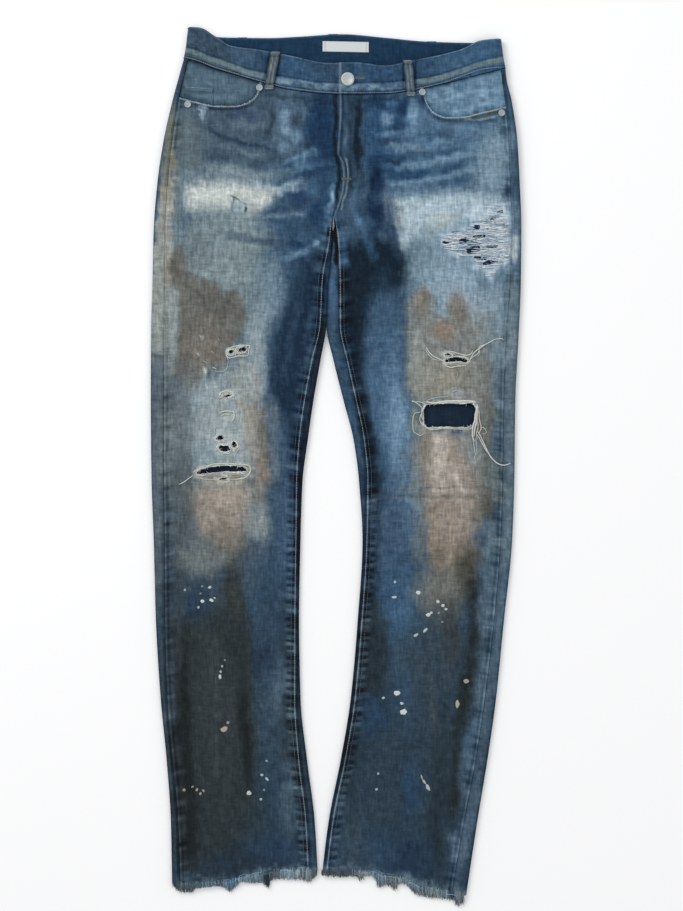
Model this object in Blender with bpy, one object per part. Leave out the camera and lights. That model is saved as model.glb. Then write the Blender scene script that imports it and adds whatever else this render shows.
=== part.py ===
"""Ripped denim jeans laid flat on their back, front up, with raw frayed hems.

Every table below is in millimetres. x runs across the garment, positive to the wearer's left.
"down" is the distance from the highest point of the waist towards the hems.
A leg is one flattened tube of cloth: the front panel lies on top between its two seams, and the
back panel lies on the floor and turns up over both edges to meet it.
"""

import math
from collections import namedtuple

import bpy
import numpy as np

for old in list(bpy.data.objects):
    bpy.data.objects.remove(old, do_unlink=True)

MM = 0.001

SHARP_ANGLE = math.radians(45)

# Overall sizes
LENGTH = 1147.3
TOP_Y = LENGTH / 2
CLOTH = 1.2
BAND_CLOTH = 2.4
SEAM_GAP = 0.3
LAYER_GAP = 0.35
CROTCH_DOWN = 246.0
LEG_PARTS_FROM = CROTCH_DOWN - 6.0
LEG_PARTS_TO = CROTCH_DOWN + 22.0
CENTRE_BACK_X = -3.6
CENTRE_BACK_STRIP = 14.0
CENTRE_BACK_GAP = 1.5
CENTRE_BACK_GAP_FROM = CROTCH_DOWN - 44.0
CENTRE_BACK_GAP_TO = CROTCH_DOWN - 8.0

# Outline of the laid garment and its side seams, from waist to hem
OuterRow = namedtuple("OuterRow", "down right_edge right_seam left_seam left_edge")
OUTER_ROWS = [
    OuterRow(40, -197.0, -192.0, 213.5, 218.4),
    OuterRow(69, -205.0, -199.0, 216.0, 221.5),
    OuterRow(95, -212.0, -204.5, 220.0, 227.8),
    OuterRow(147, -223.6, -213.0, 224.5, 235.3),
    OuterRow(199, -231.4, -218.4, 226.4, 238.2),
    OuterRow(260, -236.4, -222.0, 228.8, 240.5),
    OuterRow(330, -238.2, -222.8, 226.5, 239.9),
    OuterRow(400, -240.2, -223.6, 221.6, 237.0),
    OuterRow(485, -240.5, -224.3, 218.4, 232.8),
    OuterRow(590, -239.4, -224.0, 217.0, 231.4),
    OuterRow(667, -236.6, -223.2, 214.4, 228.6),
    OuterRow(771, -233.8, -222.6, 205.8, 218.0),
    OuterRow(875, -227.4, -219.4, 193.4, 207.4),
    OuterRow(953, -219.8, -212.8, 181.8, 196.4),
    OuterRow(1031, -214.4, -205.6, 167.0, 183.6),
    OuterRow(1130, -212.4, -202.4, 150.0, 168.6),
]

# Inner edges of the two legs and their inseams, from the crotch to the hems
InnerRow = namedtuple("InnerRow", "down right_seam right_edge left_edge left_seam")
INNER_ROWS = [
    InnerRow(246, -4.6, -4.2, -2.8, -2.4),
    InnerRow(277, -7.2, -5.4, -3.2, 1.6),
    InnerRow(330, -16.2, -10.6, -8.4, 3.9),
    InnerRow(387, -19.2, -13.6, -11.2, 4.0),
    InnerRow(433, -29.6, -20.8, -2.6, 13.2),
    InnerRow(485, -39.3, -29.9, 10.4, 24.8),
    InnerRow(537, -46.2, -37.4, 23.6, 35.4),
    InnerRow(589, -49.4, -44.0, 30.4, 39.8),
    InnerRow(667, -50.4, -46.8, 35.0, 38.6),
    InnerRow(771, -51.8, -48.6, 28.8, 32.2),
    InnerRow(875, -52.0, -46.6, 19.4, 23.0),
    InnerRow(953, -46.8, -38.2, 6.6, 10.2),
    InnerRow(1031, -37.8, -28.4, -8.8, -5.4),
    InnerRow(1130, -33.0, -22.8, -21.0, -17.4),
]

# Centre front: the free edge of the fly, then the crotch seam, with how far the other front runs under it
FlyRow = namedtuple("FlyRow", "down edge underlap")
FLY_ROWS = [
    FlyRow(40, 4.4, 28.0),
    FlyRow(113, 4.3, 30.0),
    FlyRow(164, 1.6, 30.0),
    FlyRow(176, 7.0, 26.0),
    FlyRow(190, 9.0, 12.0),
    FlyRow(212, 6.9, 7.0),
    FlyRow(228, 2.6, 4.0),
    FlyRow(246, -3.5, 0.6),
]
UNDERLAP_MARGIN = 20.0
RISE_ENDS = (CROTCH_DOWN - 2.0, CROTCH_DOWN + 14.0)

# Waistband, front half on top and back half on the floor: its free edge and its seam to the panels
BandRow = namedtuple("BandRow", "x free_edge seam")
FRONT_BAND_ROWS = [
    BandRow(-197, 0.0, 41.0),
    BandRow(-182, 0.6, 44.5),
    BandRow(-156, 12.6, 54.0),
    BandRow(-137, 24.0, 59.5),
    BandRow(-98, 29.8, 71.0),
    BandRow(-60, 37.0, 81.0),
    BandRow(-8, 46.6, 86.6),
    BandRow(24, 46.2, 87.4),
    BandRow(62, 50.2, 86.6),
    BandRow(98, 43.4, 82.6),
    BandRow(134, 36.4, 74.8),
    BandRow(162, 29.0, 67.6),
    BandRow(190, 17.2, 60.4),
    BandRow(219, 15.0, 53.4),
]
BACK_BAND_ROWS = [
    BandRow(-197, 0.0, 41.0),
    BandRow(-177, 5.4, 44.0),
    BandRow(-150, 12.4, 47.4),
    BandRow(-86, 13.4, 49.6),
    BandRow(-47, 11.6, 48.6),
    BandRow(8, 8.4, 46.8),
    BandRow(64, 13.0, 49.8),
    BandRow(122, 18.2, 53.4),
    BandRow(182, 19.6, 54.4),
    BandRow(219, 15.0, 53.4),
]

# Height of the top layer above the floor, at mid-cloth, and how much it rises towards the folded edges
LayRow = namedtuple("LayRow", "down middle edge_rise")
LAY_ROWS = [
    LayRow(0, 7.6, 2.6),
    LayRow(90, 7.6, 2.4),
    LayRow(180, 7.2, 2.4),
    LayRow(260, 6.8, 2.4),
    LayRow(420, 5.0, 2.2),
    LayRow(700, 4.4, 1.8),
    LayRow(1130, 4.2, 1.6),
]
EDGE_RISE_REACH = 16.0
EDGE_RADIUS = 4.6
FOLD_CLEAR_OF_OUTER = (2.0, 22.0)
FOLD_CLEAR_OF_INNER = (2.0, 14.0)
FOLD_FADE = 2.2
CROTCH_DIP = 0.30
CROTCH_DIP_LONG = 20.0
CROTCH_DIP_WIDE = 12.0

# Largest folds of the top layer: a soft ridge of this height (a trough where negative) at this angle from x
FoldRow = namedtuple("FoldRow", "x down angle length width height")
FOLD_ROWS = [
    FoldRow(-14, 282, 86, 90, 9, 3.4),
    FoldRow(-40, 268, 22, 90, 8, -1.6),
    FoldRow(-58, 232, 20, 110, 9, 1.8),
    FoldRow(-62, 196, 24, 120, 10, 1.5),
    FoldRow(-78, 160, 18, 110, 9, 1.2),
    FoldRow(-44, 320, 42, 110, 10, 1.8),
    FoldRow(-70, 372, 62, 120, 13, -1.4),
    FoldRow(22, 268, -64, 84, 9, 2.6),
    FoldRow(50, 300, -60, 110, 12, -1.8),
    FoldRow(58, 214, -18, 110, 9, 1.6),
    FoldRow(96, 180, -10, 140, 10, 1.4),
    FoldRow(104, 148, -6, 130, 9, 1.1),
    FoldRow(78, 246, -24, 100, 10, 1.2),
    FoldRow(-136, 596, 3, 150, 7, -1.2),
    FoldRow(-100, 584, 4, 130, 8, 1.5),
    FoldRow(128, 612, 1, 160, 7, -1.2),
    FoldRow(120, 600, 2, 150, 8, 1.4),
    FoldRow(-92, 690, -64, 120, 14, 1.3),
    FoldRow(84, 700, 66, 130, 14, 1.4),
    FoldRow(-150, 820, 84, 190, 16, 1.3),
    FoldRow(-88, 930, -78, 190, 15, 1.5),
    FoldRow(128, 830, 76, 200, 16, 1.4),
    FoldRow(66, 960, 66, 180, 15, 1.3),
    FoldRow(-176, 470, 88, 180, 14, 1.2),
    FoldRow(172, 520, 88, 200, 14, 1.2),
]

# Holes worn through the fronts: half sizes, tilt in degrees, how far the middle bows up, and squareness
RipRow = namedtuple("RipRow", "x down half_width half_height tilt bow squareness")
RIGHT_RIPS = [
    RipRow(-136.0, 421.5, 5.0, 2.2, 14, 0.0, 2.4),
    RipRow(-122.0, 419.0, 6.4, 3.2, 14, 0.0, 2.4),
    RipRow(-141.0, 478.6, 6.0, 2.2, 8, 0.6, 2.4),
    RipRow(-150.6, 533.6, 5.6, 3.0, 12, 0.0, 2.6),
    RipRow(-145.0, 546.6, 8.0, 4.4, -6, -0.6, 2.6),
    RipRow(-132.4, 542.4, 3.6, 4.2, 0, 0.0, 2.6),
    RipRow(-148.6, 577.0, 32.0, 3.8, 4, 3.0, 4.0),
    RipRow(-146.0, 588.6, 6.0, 2.1, 0, 1.0, 2.4),
]
LEFT_RIPS = [
    RipRow(156.8, 434.0, 15.0, 3.0, 0, 2.6, 3.0),
    RipRow(146.0, 425.6, 5.0, 2.1, -8, 0.0, 2.4),
    RipRow(147.8, 504.6, 33.8, 15.6, 1.5, 0.6, 6.0),
]
SHRED_ROWS = [
    RipRow(213.0, 240.6, 5.0, 2.2, 18, 0.0, 2.4),
    RipRow(204.5, 248.4, 4.2, 2.1, 20, 0.0, 2.4),
    RipRow(182.6, 260.4, 4.6, 3.8, 30, 0.0, 2.4),
    RipRow(198.6, 259.6, 4.8, 2.2, 22, 0.0, 2.4),
    RipRow(166.6, 277.0, 7.4, 3.6, 16, 0.0, 2.6),
    RipRow(186.0, 272.0, 9.0, 2.1, 6, 0.0, 3.0),
    RipRow(145.0, 279.6, 7.0, 2.1, 0, 0.0, 3.0),
    RipRow(178.4, 289.4, 9.6, 5.0, 14, 0.0, 2.8),
    RipRow(202.6, 285.0, 8.0, 2.1, 2, 0.0, 3.0),
    RipRow(187.6, 300.0, 8.6, 2.2, -8, 0.0, 2.8),
    RipRow(200.6, 305.6, 10.4, 3.0, 14, 0.6, 2.8),
]
RIP_OUTLINE_STEPS = 14
CUT_BELOW = -6.0
CUT_ABOVE = 30.0

# Cut edge of each hem, and the tufts of its fringe: centre, half width and how much longer they are
HemRow = namedtuple("HemRow", "x down")
RIGHT_HEM = [
    HemRow(-213, 1113.0),
    HemRow(-190, 1116.5),
    HemRow(-139, 1112.0),
    HemRow(-112, 1105.0),
    HemRow(-80, 1100.0),
    HemRow(-47, 1097.5),
    HemRow(-22, 1097.0),
]
LEFT_HEM = [
    HemRow(-22, 1097.5),
    HemRow(12, 1099.5),
    HemRow(46, 1101.0),
    HemRow(70, 1107.0),
    HemRow(90, 1110.0),
    HemRow(110, 1119.0),
    HemRow(142, 1125.0),
    HemRow(170, 1129.0),
]
TuftRow = namedtuple("TuftRow", "x half_width extra")
RIGHT_TUFTS = [
    TuftRow(-196, 12, 5.0),
    TuftRow(-139, 6, 9.0),
    TuftRow(-88, 5, 8.0),
    TuftRow(-36, 8, 5.0),
]
LEFT_TUFTS = [
    TuftRow(31, 4, 4.5),
    TuftRow(56, 7, 6.0),
    TuftRow(77, 5, 7.0),
    TuftRow(124, 24, 3.0),
    TuftRow(159, 6, 11.0),
]
FRINGE_STRIP = 2.2
FRINGE_SHORT = 4.5
FRINGE_SPREAD = 4.0
STRAND_PITCH = 5.4
STRAND_WIDTH = 3.0
STRAND_TIP = 0.8
STRAND_LEAN = 1.6
STRAND_TIP_DROP = 0.5
FRINGE_INSET = 3.0
FRINGE_HEIGHT = 1.1

# Front pocket openings: the curved free edge of each front panel, from the inner rivet to the side seam
PocketRow = namedtuple("PocketRow", "x down")
RIGHT_POCKET_EDGE = [
    PocketRow(-98.5, 66.0),
    PocketRow(-101.0, 82.0),
    PocketRow(-107.5, 92.0),
    PocketRow(-118.0, 99.0),
    PocketRow(-133.0, 102.2),
    PocketRow(-156.0, 102.0),
    PocketRow(-180.0, 97.4),
    PocketRow(-216.0, 88.0),
]
LEFT_POCKET_EDGE = [
    PocketRow(113.0, 74.0),
    PocketRow(116.6, 92.0),
    PocketRow(121.6, 103.6),
    PocketRow(130.6, 112.6),
    PocketRow(144.0, 116.8),
    PocketRow(164.0, 116.2),
    PocketRow(190.0, 110.4),
    PocketRow(232.0, 101.0),
]
FACING_TUCK = 12.0
FACING_DROP = {"right": 2 * (CLOTH + LAYER_GAP), "left": CLOTH + LAYER_GAP}

# Hidden back: the yoke seam, and the two patch pockets on the outside of the back panels
YOKE_DEPTH_SIDE = 84.0
YOKE_DEPTH_CENTRE = 122.0
YOKE_HALF_WIDTH = 220.0
BACK_POCKET_WIDTH = 144.0
BACK_POCKET_SIDE = 116.0
BACK_POCKET_POINT = 24.0
BACK_POCKET_CLOTH = 1.5
BACK_POCKET_CENTRES = {"right": -106.0, "left": 104.0}
BACK_POCKET_TOP = 124.0
LIFT_END_FROM = 26.0
LIFT_END_TO = 76.0

# Belt loops: two seen on the front, three under the back
LoopRow = namedtuple("LoopRow", "name x_free x_seam on_front")
LOOP_ROWS = [
    LoopRow("belt_loop_front_right", -78.5, -87.5, True),
    LoopRow("belt_loop_front_left", 93.0, 97.6, True),
    LoopRow("belt_loop_back_right", -122.0, -124.0, False),
    LoopRow("belt_loop_back_centre", -3.6, -3.6, False),
    LoopRow("belt_loop_back_left", 124.0, 126.0, False),
]
LOOP_WIDTH = 12.5
LOOP_CLOTH = 1.5
LOOP_ARCH = 1.6
LOOP_PAST_EDGE = 1.0
LOOP_PAST_SEAM = 7.0

# Metal and label
BUTTON_PLACE = (15.2, 68.4)
BUTTON_DIAMETER = 17.2
BUTTON_HEIGHT = 4.2
RIVET_DIAMETER = 9.4
RIVET_HEIGHT = 2.0
RIVET_PLACES = {
    "rivet_right_inner": (-99.4, 78.6),
    "rivet_right_outer": (-192.5, 100.5),
    "rivet_left_inner": (112.2, 84.4),
    "rivet_left_outer": (215.2, 111.6),
}
LABEL_X = (-17.4, 42.6)
LABEL_DOWN = (17.6, 31.2)
LABEL_CLOTH = 1.0
COIN_POCKET_X = (-196.0, -160.0)
COIN_POCKET_DOWN = (77.0, 118.0)
COIN_POCKET_SLANT = 0.06

# Grids of the panels: rows that the panels share below the hips, and how many columns each has
SHARED_ROWS = np.concatenate([np.linspace(150.0, CROTCH_DOWN, 4), np.linspace(CROTCH_DOWN, 1082.0, 28)[1:]])
FRONT_COLUMNS = 12
FRONT_UPPER_ROWS = 4
BACK_UPPER_ROWS = 2
YOKE_ROWS = 4
BAND_ROWS = 4
UP_STEPS, TURN_STEPS, FLOOR_STEPS = 3, 2, 6
FLOOR_COLUMNS = slice(UP_STEPS + TURN_STEPS, UP_STEPS + TURN_STEPS + FLOOR_STEPS + 1)
FACING_ROWS, FACING_COLUMNS = 6, 9
PLACING_ROUNDS = 4

# Colours
FADED_BLUE = (0.16, 0.24, 0.32)
MID_BLUE = (0.09, 0.15, 0.23)
SEAM_GREY = (0.20, 0.24, 0.27)
YARN_WHITE = (0.50, 0.55, 0.56)
LABEL_WHITE = (0.75, 0.78, 0.80)
METAL_SILVER = (0.72, 0.73, 0.70)
CUTTER_GREY = (0.5, 0.5, 0.5)
CLOTH_ROUGHNESS = 0.85
METAL_ROUGHNESS = 0.35


def smooth_curve(stations, values, at):
    """Values between the stations, joined by a curve with no overshoot at a station (monotone cubic)."""
    stations = np.asarray(stations, float)
    values = np.asarray(values, float)
    at = np.clip(np.asarray(at, float), stations[0], stations[-1])
    spans = np.diff(stations)
    slopes = np.diff(values) / spans
    tangents = np.zeros_like(values)
    inner = slopes[:-1] * slopes[1:] > 0
    mean = 2 * slopes[:-1] * slopes[1:] / np.where(inner, slopes[:-1] + slopes[1:], 1.0)
    tangents[1:-1] = np.where(inner, mean, 0.0)
    tangents[0], tangents[-1] = slopes[0], slopes[-1]
    i = np.clip(np.searchsorted(stations, at, side="right") - 1, 0, len(spans) - 1)
    t = (at - stations[i]) / spans[i]
    left = values[i] + t * t * (3 - 2 * t) * (values[i + 1] - values[i])
    bend = t * (1 - t) * spans[i] * ((1 - t) * tangents[i] - t * tangents[i + 1])
    return left + bend


def column(rows, name, at, key="down"):
    """One named column of a table, read at these places along its key column."""
    return smooth_curve([getattr(r, key) for r in rows], [getattr(r, name) for r in rows], at)


def ease(low, high, at):
    """0 below low, 1 above high, and an even S-curve between."""
    t = np.clip((np.asarray(at, float) - low) / (high - low), 0.0, 1.0)
    return t * t * (3 - 2 * t)


def fold_relief(x, down):
    """Height that the folds add to the top layer."""
    relief = np.zeros(np.broadcast(x, down).shape)
    for fold in FOLD_ROWS:
        turn = math.radians(fold.angle)
        along = (x - fold.x) * math.cos(turn) - (down - fold.down) * math.sin(turn)
        across = (x - fold.x) * math.sin(turn) + (down - fold.down) * math.cos(turn)
        fade = np.exp(-((FOLD_FADE * along / fold.length) ** 4))
        relief += fold.height * fade * np.exp(-((across / fold.width) ** 2))
    return relief


def silhouette(side, down):
    """Outer edge, inner edge and how much of a separate leg there is (0 above the crotch, 1 below)."""
    outer = column(OUTER_ROWS, side + "_edge", down)
    inner = column(INNER_ROWS, side + "_edge", down)
    return outer, inner, ease(LEG_PARTS_FROM, LEG_PARTS_TO, down)


def top_height(side, x, down):
    """Mid-cloth height of the top layer, rounding down to half height at the garment's edges."""
    outer, inner, leg = silhouette(side, down)
    middle = column(LAY_ROWS, "middle", down)
    rise = column(LAY_ROWS, "edge_rise", down)
    from_outer = np.abs(x - outer)
    from_inner = np.abs(x - inner)
    height = middle + rise * np.exp(-((from_outer / EDGE_RISE_REACH) ** 2))
    height = height + leg * rise * np.exp(-((from_inner / EDGE_RISE_REACH) ** 2))
    inland = ease(*FOLD_CLEAR_OF_OUTER, from_outer) * (1 - leg * (1 - ease(*FOLD_CLEAR_OF_INNER, from_inner)))
    height = height + inland * fold_relief(x, down)
    dip = np.exp(-(((down - CROTCH_DOWN) / CROTCH_DIP_LONG) ** 2) - ((from_inner / CROTCH_DIP_WIDE) ** 2))
    height = height * (1 - CROTCH_DIP * dip)
    floor = CLOTH / 2
    for distance, amount in ((from_outer, 1.0), (from_inner, leg)):
        e = np.clip(distance / EDGE_RADIUS, 0.0, 1.0)
        share = 0.5 + 0.5 * np.sqrt(np.clip(1 - (1 - e) ** 2, 0.0, 1.0))
        height = floor + (height - floor) * (1 - amount * (1 - share))
    return height


def loop_down(loop):
    """Where a belt loop starts and ends."""
    rows = FRONT_BAND_ROWS if loop.on_front else BACK_BAND_ROWS
    start = column(rows, "free_edge", loop.x_free, "x") - LOOP_PAST_EDGE
    end = column(rows, "seam", loop.x_seam, "x") + LOOP_PAST_SEAM
    return float(start), float(end)


def floor_lift(down):
    """How far the back of the hips is raised by the pockets and belt loops that lie under it."""
    pocket_end = BACK_POCKET_TOP + BACK_POCKET_SIDE + BACK_POCKET_POINT
    return (LOOP_CLOTH + LAYER_GAP) * (1 - ease(pocket_end + LIFT_END_FROM, pocket_end + LIFT_END_TO, down))


def grid_points(x, down, z):
    """Stacks the three coordinates of a grid of points, still in millimetres, with y up the garment."""
    x, down, z = np.broadcast_arrays(x, down, z)
    return np.stack([x, TOP_Y - down, z], axis=-1)


def normals_of(points):
    """Unit normals of a grid of points; rows run down the garment and columns across it."""
    across = np.gradient(points, axis=1)
    along = np.gradient(points, axis=0)
    normal = np.cross(along, across)
    return normal / np.linalg.norm(normal, axis=-1, keepdims=True)


def finish_object(name, vertices, faces, colour):
    """Makes a named mesh object with its own cloth material."""
    mesh = bpy.data.meshes.new(name)
    mesh.from_pydata([tuple(v) for v in np.asarray(vertices) * MM], [], faces)
    mesh.validate()
    mesh.update()
    obj = bpy.data.objects.new(name, mesh)
    bpy.context.scene.collection.objects.link(obj)
    paint(obj, colour, CLOTH_ROUGHNESS, 0.0)
    obj.data.shade_smooth()
    obj.data.set_sharp_from_angle(angle=SHARP_ANGLE)
    return obj


def paint(obj, colour, roughness, metallic):
    """One Principled material for this object."""
    material = bpy.data.materials.new(obj.name)
    material.use_nodes = True
    shader = material.node_tree.nodes["Principled BSDF"]
    shader.inputs["Base Color"].default_value = (*colour, 1.0)
    shader.inputs["Roughness"].default_value = roughness
    shader.inputs["Metallic"].default_value = metallic
    obj.data.materials.clear()
    obj.data.materials.append(material)


def cloth_wall(name, points, thickness, colour):
    """A closed wall of cloth with this grid of points at its middle."""
    rows, columns = points.shape[:2]
    half = normals_of(points) * thickness / 2
    vertices = np.concatenate([(points + half).reshape(-1, 3), (points - half).reshape(-1, 3)])
    under = rows * columns

    def at(row, col):
        return row * columns + col

    faces = []
    for r in range(rows - 1):
        for c in range(columns - 1):
            quad = (at(r, c), at(r + 1, c), at(r + 1, c + 1), at(r, c + 1))
            faces.append(quad)
            faces.append(tuple(under + i for i in reversed(quad)))
    rim = [at(r, 0) for r in range(rows)]
    rim += [at(rows - 1, c) for c in range(1, columns)]
    rim += [at(r, columns - 1) for r in range(rows - 2, -1, -1)]
    rim += [at(0, c) for c in range(columns - 2, 0, -1)]
    for a, b in zip(rim, rim[1:] + rim[:1]):
        faces.append((b, a, under + a, under + b))
    return finish_object(name, vertices, faces, colour)


def rip_outline(rip):
    """Closed outline of one hole: a rounded slot, bowed and tilted."""
    turn = math.radians(rip.tilt)
    corners = []
    for step in range(RIP_OUTLINE_STEPS):
        angle = 2 * math.pi * step / RIP_OUTLINE_STEPS
        c, s = math.cos(angle), math.sin(angle)
        u = rip.half_width * math.copysign(abs(c) ** (2 / rip.squareness), c)
        v = rip.half_height * math.copysign(abs(s) ** (2 / rip.squareness), s)
        v += rip.bow * (1 - (u / rip.half_width) ** 2)
        corners.append((rip.x + u * math.cos(turn) - v * math.sin(turn),
                        rip.down - u * math.sin(turn) - v * math.cos(turn)))
    return corners


def cutter(name, outlines):
    """Upright prisms through the top layer, one for each outline of (x, down) points."""
    vertices, faces = [], []
    for outline in outlines:
        first, count = len(vertices), len(outline)
        area = sum(a[0] * b[1] - b[0] * a[1] for a, b in zip(outline, outline[1:] + outline[:1]))
        if area > 0:
            outline = outline[::-1]
        for z in (CUT_BELOW, CUT_ABOVE):
            vertices += [(x, TOP_Y - down, z) for x, down in outline]
        faces.append(tuple(first + i for i in reversed(range(count))))
        faces.append(tuple(first + count + i for i in range(count)))
        for i in range(count):
            j = (i + 1) % count
            faces.append((first + i, first + j, first + count + j, first + count + i))
    obj = finish_object(name, vertices, faces, CUTTER_GREY)
    obj.hide_render = True
    obj.display_type = "WIRE"
    return obj


def cut(obj, tool):
    """Takes the tool's shape out of the object."""
    modifier = obj.modifiers.new("cut", "BOOLEAN")
    modifier.operation = "DIFFERENCE"
    modifier.solver = "EXACT"
    modifier.object = tool


def front_rise(x, down):
    """Extra height of the left front where the right front runs under it at the fly."""
    edge = column(FLY_ROWS, "edge", down)
    underlap = column(FLY_ROWS, "underlap", down)
    over = 1 - ease(UNDERLAP_MARGIN, 2 * UNDERLAP_MARGIN, x - edge - underlap)
    return over * (CLOTH + LAYER_GAP) * (1 - ease(*RISE_ENDS, down))


def panel_rows(start, end, upper_rows):
    """Rows of a panel: a few from its slanted top edge down to the rows that all panels share, then its hem."""
    first = SHARED_ROWS[0]
    upper = [start + (first - start) * i / upper_rows for i in range(upper_rows)]
    shared = [first + 0 * start + (row - first) for row in SHARED_ROWS]
    return np.concatenate(upper + shared + [end], axis=0)


def front_panel(side, hem, rips, pocket_edge, colour):
    """One front: from the waistband seam to the raw hem, ripped, its upper outer corner cut for the pocket.
    Gives back its grid of points, columns running to the wearer's left."""
    u = 0.5 - 0.5 * np.cos(math.pi * np.linspace(0, 1, FRONT_COLUMNS)[None, :])
    down = panel_rows(0 * u, LENGTH + 0 * u, FRONT_UPPER_ROWS)
    for _ in range(PLACING_ROUNDS):
        outseam = column(OUTER_ROWS, side + "_seam", down)
        above = column(FLY_ROWS, "edge", down)
        if side == "right":
            above = above + column(FLY_ROWS, "underlap", down)
        inseam = np.where(down < CROTCH_DOWN, above, column(INNER_ROWS, side + "_seam", down))
        sign = 1 if side == "right" else -1
        x = (outseam + sign * SEAM_GAP / 2) * (1 - u) + (inseam - sign * SEAM_GAP / 2) * u
        start = column(FRONT_BAND_ROWS, "seam", x[:1], "x") + SEAM_GAP
        end = column(hem, "down", x[-1:], "x")
        down = panel_rows(start, end, FRONT_UPPER_ROWS)
    z = top_height(side, x, down)
    if side == "left":
        z = z + front_rise(x, down)
    points = grid_points(x, down, z)
    if side == "left":
        points = points[:, ::-1]
    panel = cloth_wall("front_" + side, points, CLOTH, colour)
    corner = [(row.x, row.down) for row in pocket_edge]
    corner += [(pocket_edge[-1].x, 0.0), (pocket_edge[0].x, 0.0)]
    cut(panel, cutter("cut_front_" + side, [corner] + [rip_outline(rip) for rip in rips]))
    return points


def back_path(side, rows_between, start_of, end_of):
    """Grid of mid-cloth points of a back piece, from the side seam on top, round the outer edge, along the
    floor, and then either to the centre back seam or round the inner edge to the inseam on top.
    start_of and end_of give where a column starts and ends down the garment, from its x and, for the start,
    whether it is on top. rows_between makes the rows from them."""
    floor = CLOTH / 2
    sign = 1 if side == "right" else -1
    columns = 2 * UP_STEPS + 2 * TURN_STEPS + FLOOR_STEPS + 1
    index = np.arange(columns)
    up_out = index <= UP_STEPS
    turn_out = (index > UP_STEPS) & (index <= UP_STEPS + TURN_STEPS)
    turn_in = (index > UP_STEPS + TURN_STEPS + FLOOR_STEPS) & (index < columns - UP_STEPS)
    down = rows_between(np.zeros((1, columns)), np.full((1, columns), LENGTH))
    for _ in range(PLACING_ROUNDS):
        outer, inner, leg = silhouette(side, down)
        outseam = column(OUTER_ROWS, side + "_seam", down)
        inseam = column(INNER_ROWS, side + "_seam", down)
        reach_out = np.abs(outseam - outer) - SEAM_GAP / 2
        reach_in = np.abs(inseam - inner) - SEAM_GAP / 2
        half_out = (top_height(side, outer + sign * EDGE_RADIUS, down) - floor) / 2
        half_in = (top_height(side, inner - sign * EDGE_RADIUS, down) - floor) / 2

        t_up = np.clip(1 - index / UP_STEPS, 0, 1) ** 2
        x_up = outer + sign * reach_out * t_up
        angle = np.clip((index - UP_STEPS) / TURN_STEPS, 0, 1) * math.pi / 2
        x_turn = outer + sign * EDGE_RADIUS * (1 - np.cos(angle))
        z_turn = floor + half_out * (1 - np.sin(angle))

        floor_start = outer + sign * EDGE_RADIUS
        t_floor = np.clip((index - UP_STEPS - TURN_STEPS) / FLOOR_STEPS, 0, 1)
        seam_share = np.clip((index - UP_STEPS - TURN_STEPS - FLOOR_STEPS) / (TURN_STEPS + UP_STEPS), 0, 1)
        opening = CENTRE_BACK_GAP * ease(CENTRE_BACK_GAP_FROM, CENTRE_BACK_GAP_TO, down)
        body_end = CENTRE_BACK_X - sign * (SEAM_GAP + opening) / 2
        body_mid = body_end - sign * CENTRE_BACK_STRIP
        x_body = np.where(seam_share > 0, body_mid + (body_end - body_mid) * seam_share,
                          floor_start + (body_mid - floor_start) * t_floor)
        x_leg = floor_start + (inner - sign * EDGE_RADIUS - floor_start) * t_floor
        z_leg = np.full_like(x_leg, floor)
        back_angle = np.clip((index - UP_STEPS - TURN_STEPS - FLOOR_STEPS) / TURN_STEPS, 0, 1) * math.pi / 2
        x_leg = np.where(turn_in, inner - sign * EDGE_RADIUS * (1 - np.sin(back_angle)), x_leg)
        z_leg = np.where(turn_in, floor + half_in * (1 - np.cos(back_angle)), z_leg)
        t_rise = np.clip((index - (columns - 1 - UP_STEPS)) / UP_STEPS, 0, 1) ** 2
        rising = index >= columns - UP_STEPS
        x_rise = inner - sign * reach_in * t_rise
        x_leg = np.where(rising, x_rise, x_leg)
        z_leg = np.where(rising, top_height(side, x_rise, down), z_leg)

        x = np.where(up_out, x_up, np.where(turn_out, x_turn, x_body * (1 - leg) + x_leg * leg))
        z_low = floor * (1 - leg) + z_leg * leg
        z = np.where(up_out, top_height(side, x_up, down), np.where(turn_out, z_turn, z_low))
        on_floor = np.clip((index - UP_STEPS) / TURN_STEPS, 0, 1)
        past_floor = np.clip((index - UP_STEPS - TURN_STEPS - FLOOR_STEPS) / TURN_STEPS, 0, 1)
        z = z + floor_lift(down) * on_floor * (1 - leg * past_floor)
        down = rows_between(start_of(x[:1], up_out), end_of(x[-1:]))
    return grid_points(x, down, z)


def band_seam(x, on_top):
    """Where the panels start under the waistband, on the top layer and on the floor."""
    on_top = np.broadcast_to(on_top, np.shape(x))
    front = column(FRONT_BAND_ROWS, "seam", x, "x")
    back = column(BACK_BAND_ROWS, "seam", x, "x")
    return np.where(on_top, front, back) + SEAM_GAP


def yoke_seam(x):
    """The yoke's lower seam, deeper towards the centre back."""
    side = np.clip(np.abs(x - CENTRE_BACK_X) / YOKE_HALF_WIDTH, 0, 1)
    return YOKE_DEPTH_CENTRE + side * (YOKE_DEPTH_SIDE - YOKE_DEPTH_CENTRE)


def yoke_rows(start, end):
    """Evenly spaced rows of the yoke."""
    return start + np.linspace(0, 1, YOKE_ROWS)[:, None] * (end - start)


def back_panels(side, hem, colour):
    """The yoke and the long back panel of one side. Gives back the grids of points of both, columns
    running from the side seam on top round to the centre back."""
    def facing_up(points):
        return points[:, ::-1] if side == "right" else points

    yoke = back_path(side, yoke_rows, band_seam, lambda x: yoke_seam(x) - SEAM_GAP / 2)
    cloth_wall("yoke_" + side, facing_up(yoke), CLOTH, colour)
    panel = back_path(side, lambda start, end: panel_rows(start, end, BACK_UPPER_ROWS),
                      lambda x, on_top: yoke_seam(x) + SEAM_GAP / 2, lambda x: column(hem, "down", x, "x"))
    cloth_wall("back_" + side, facing_up(panel), CLOTH, colour)
    return yoke, panel


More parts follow.
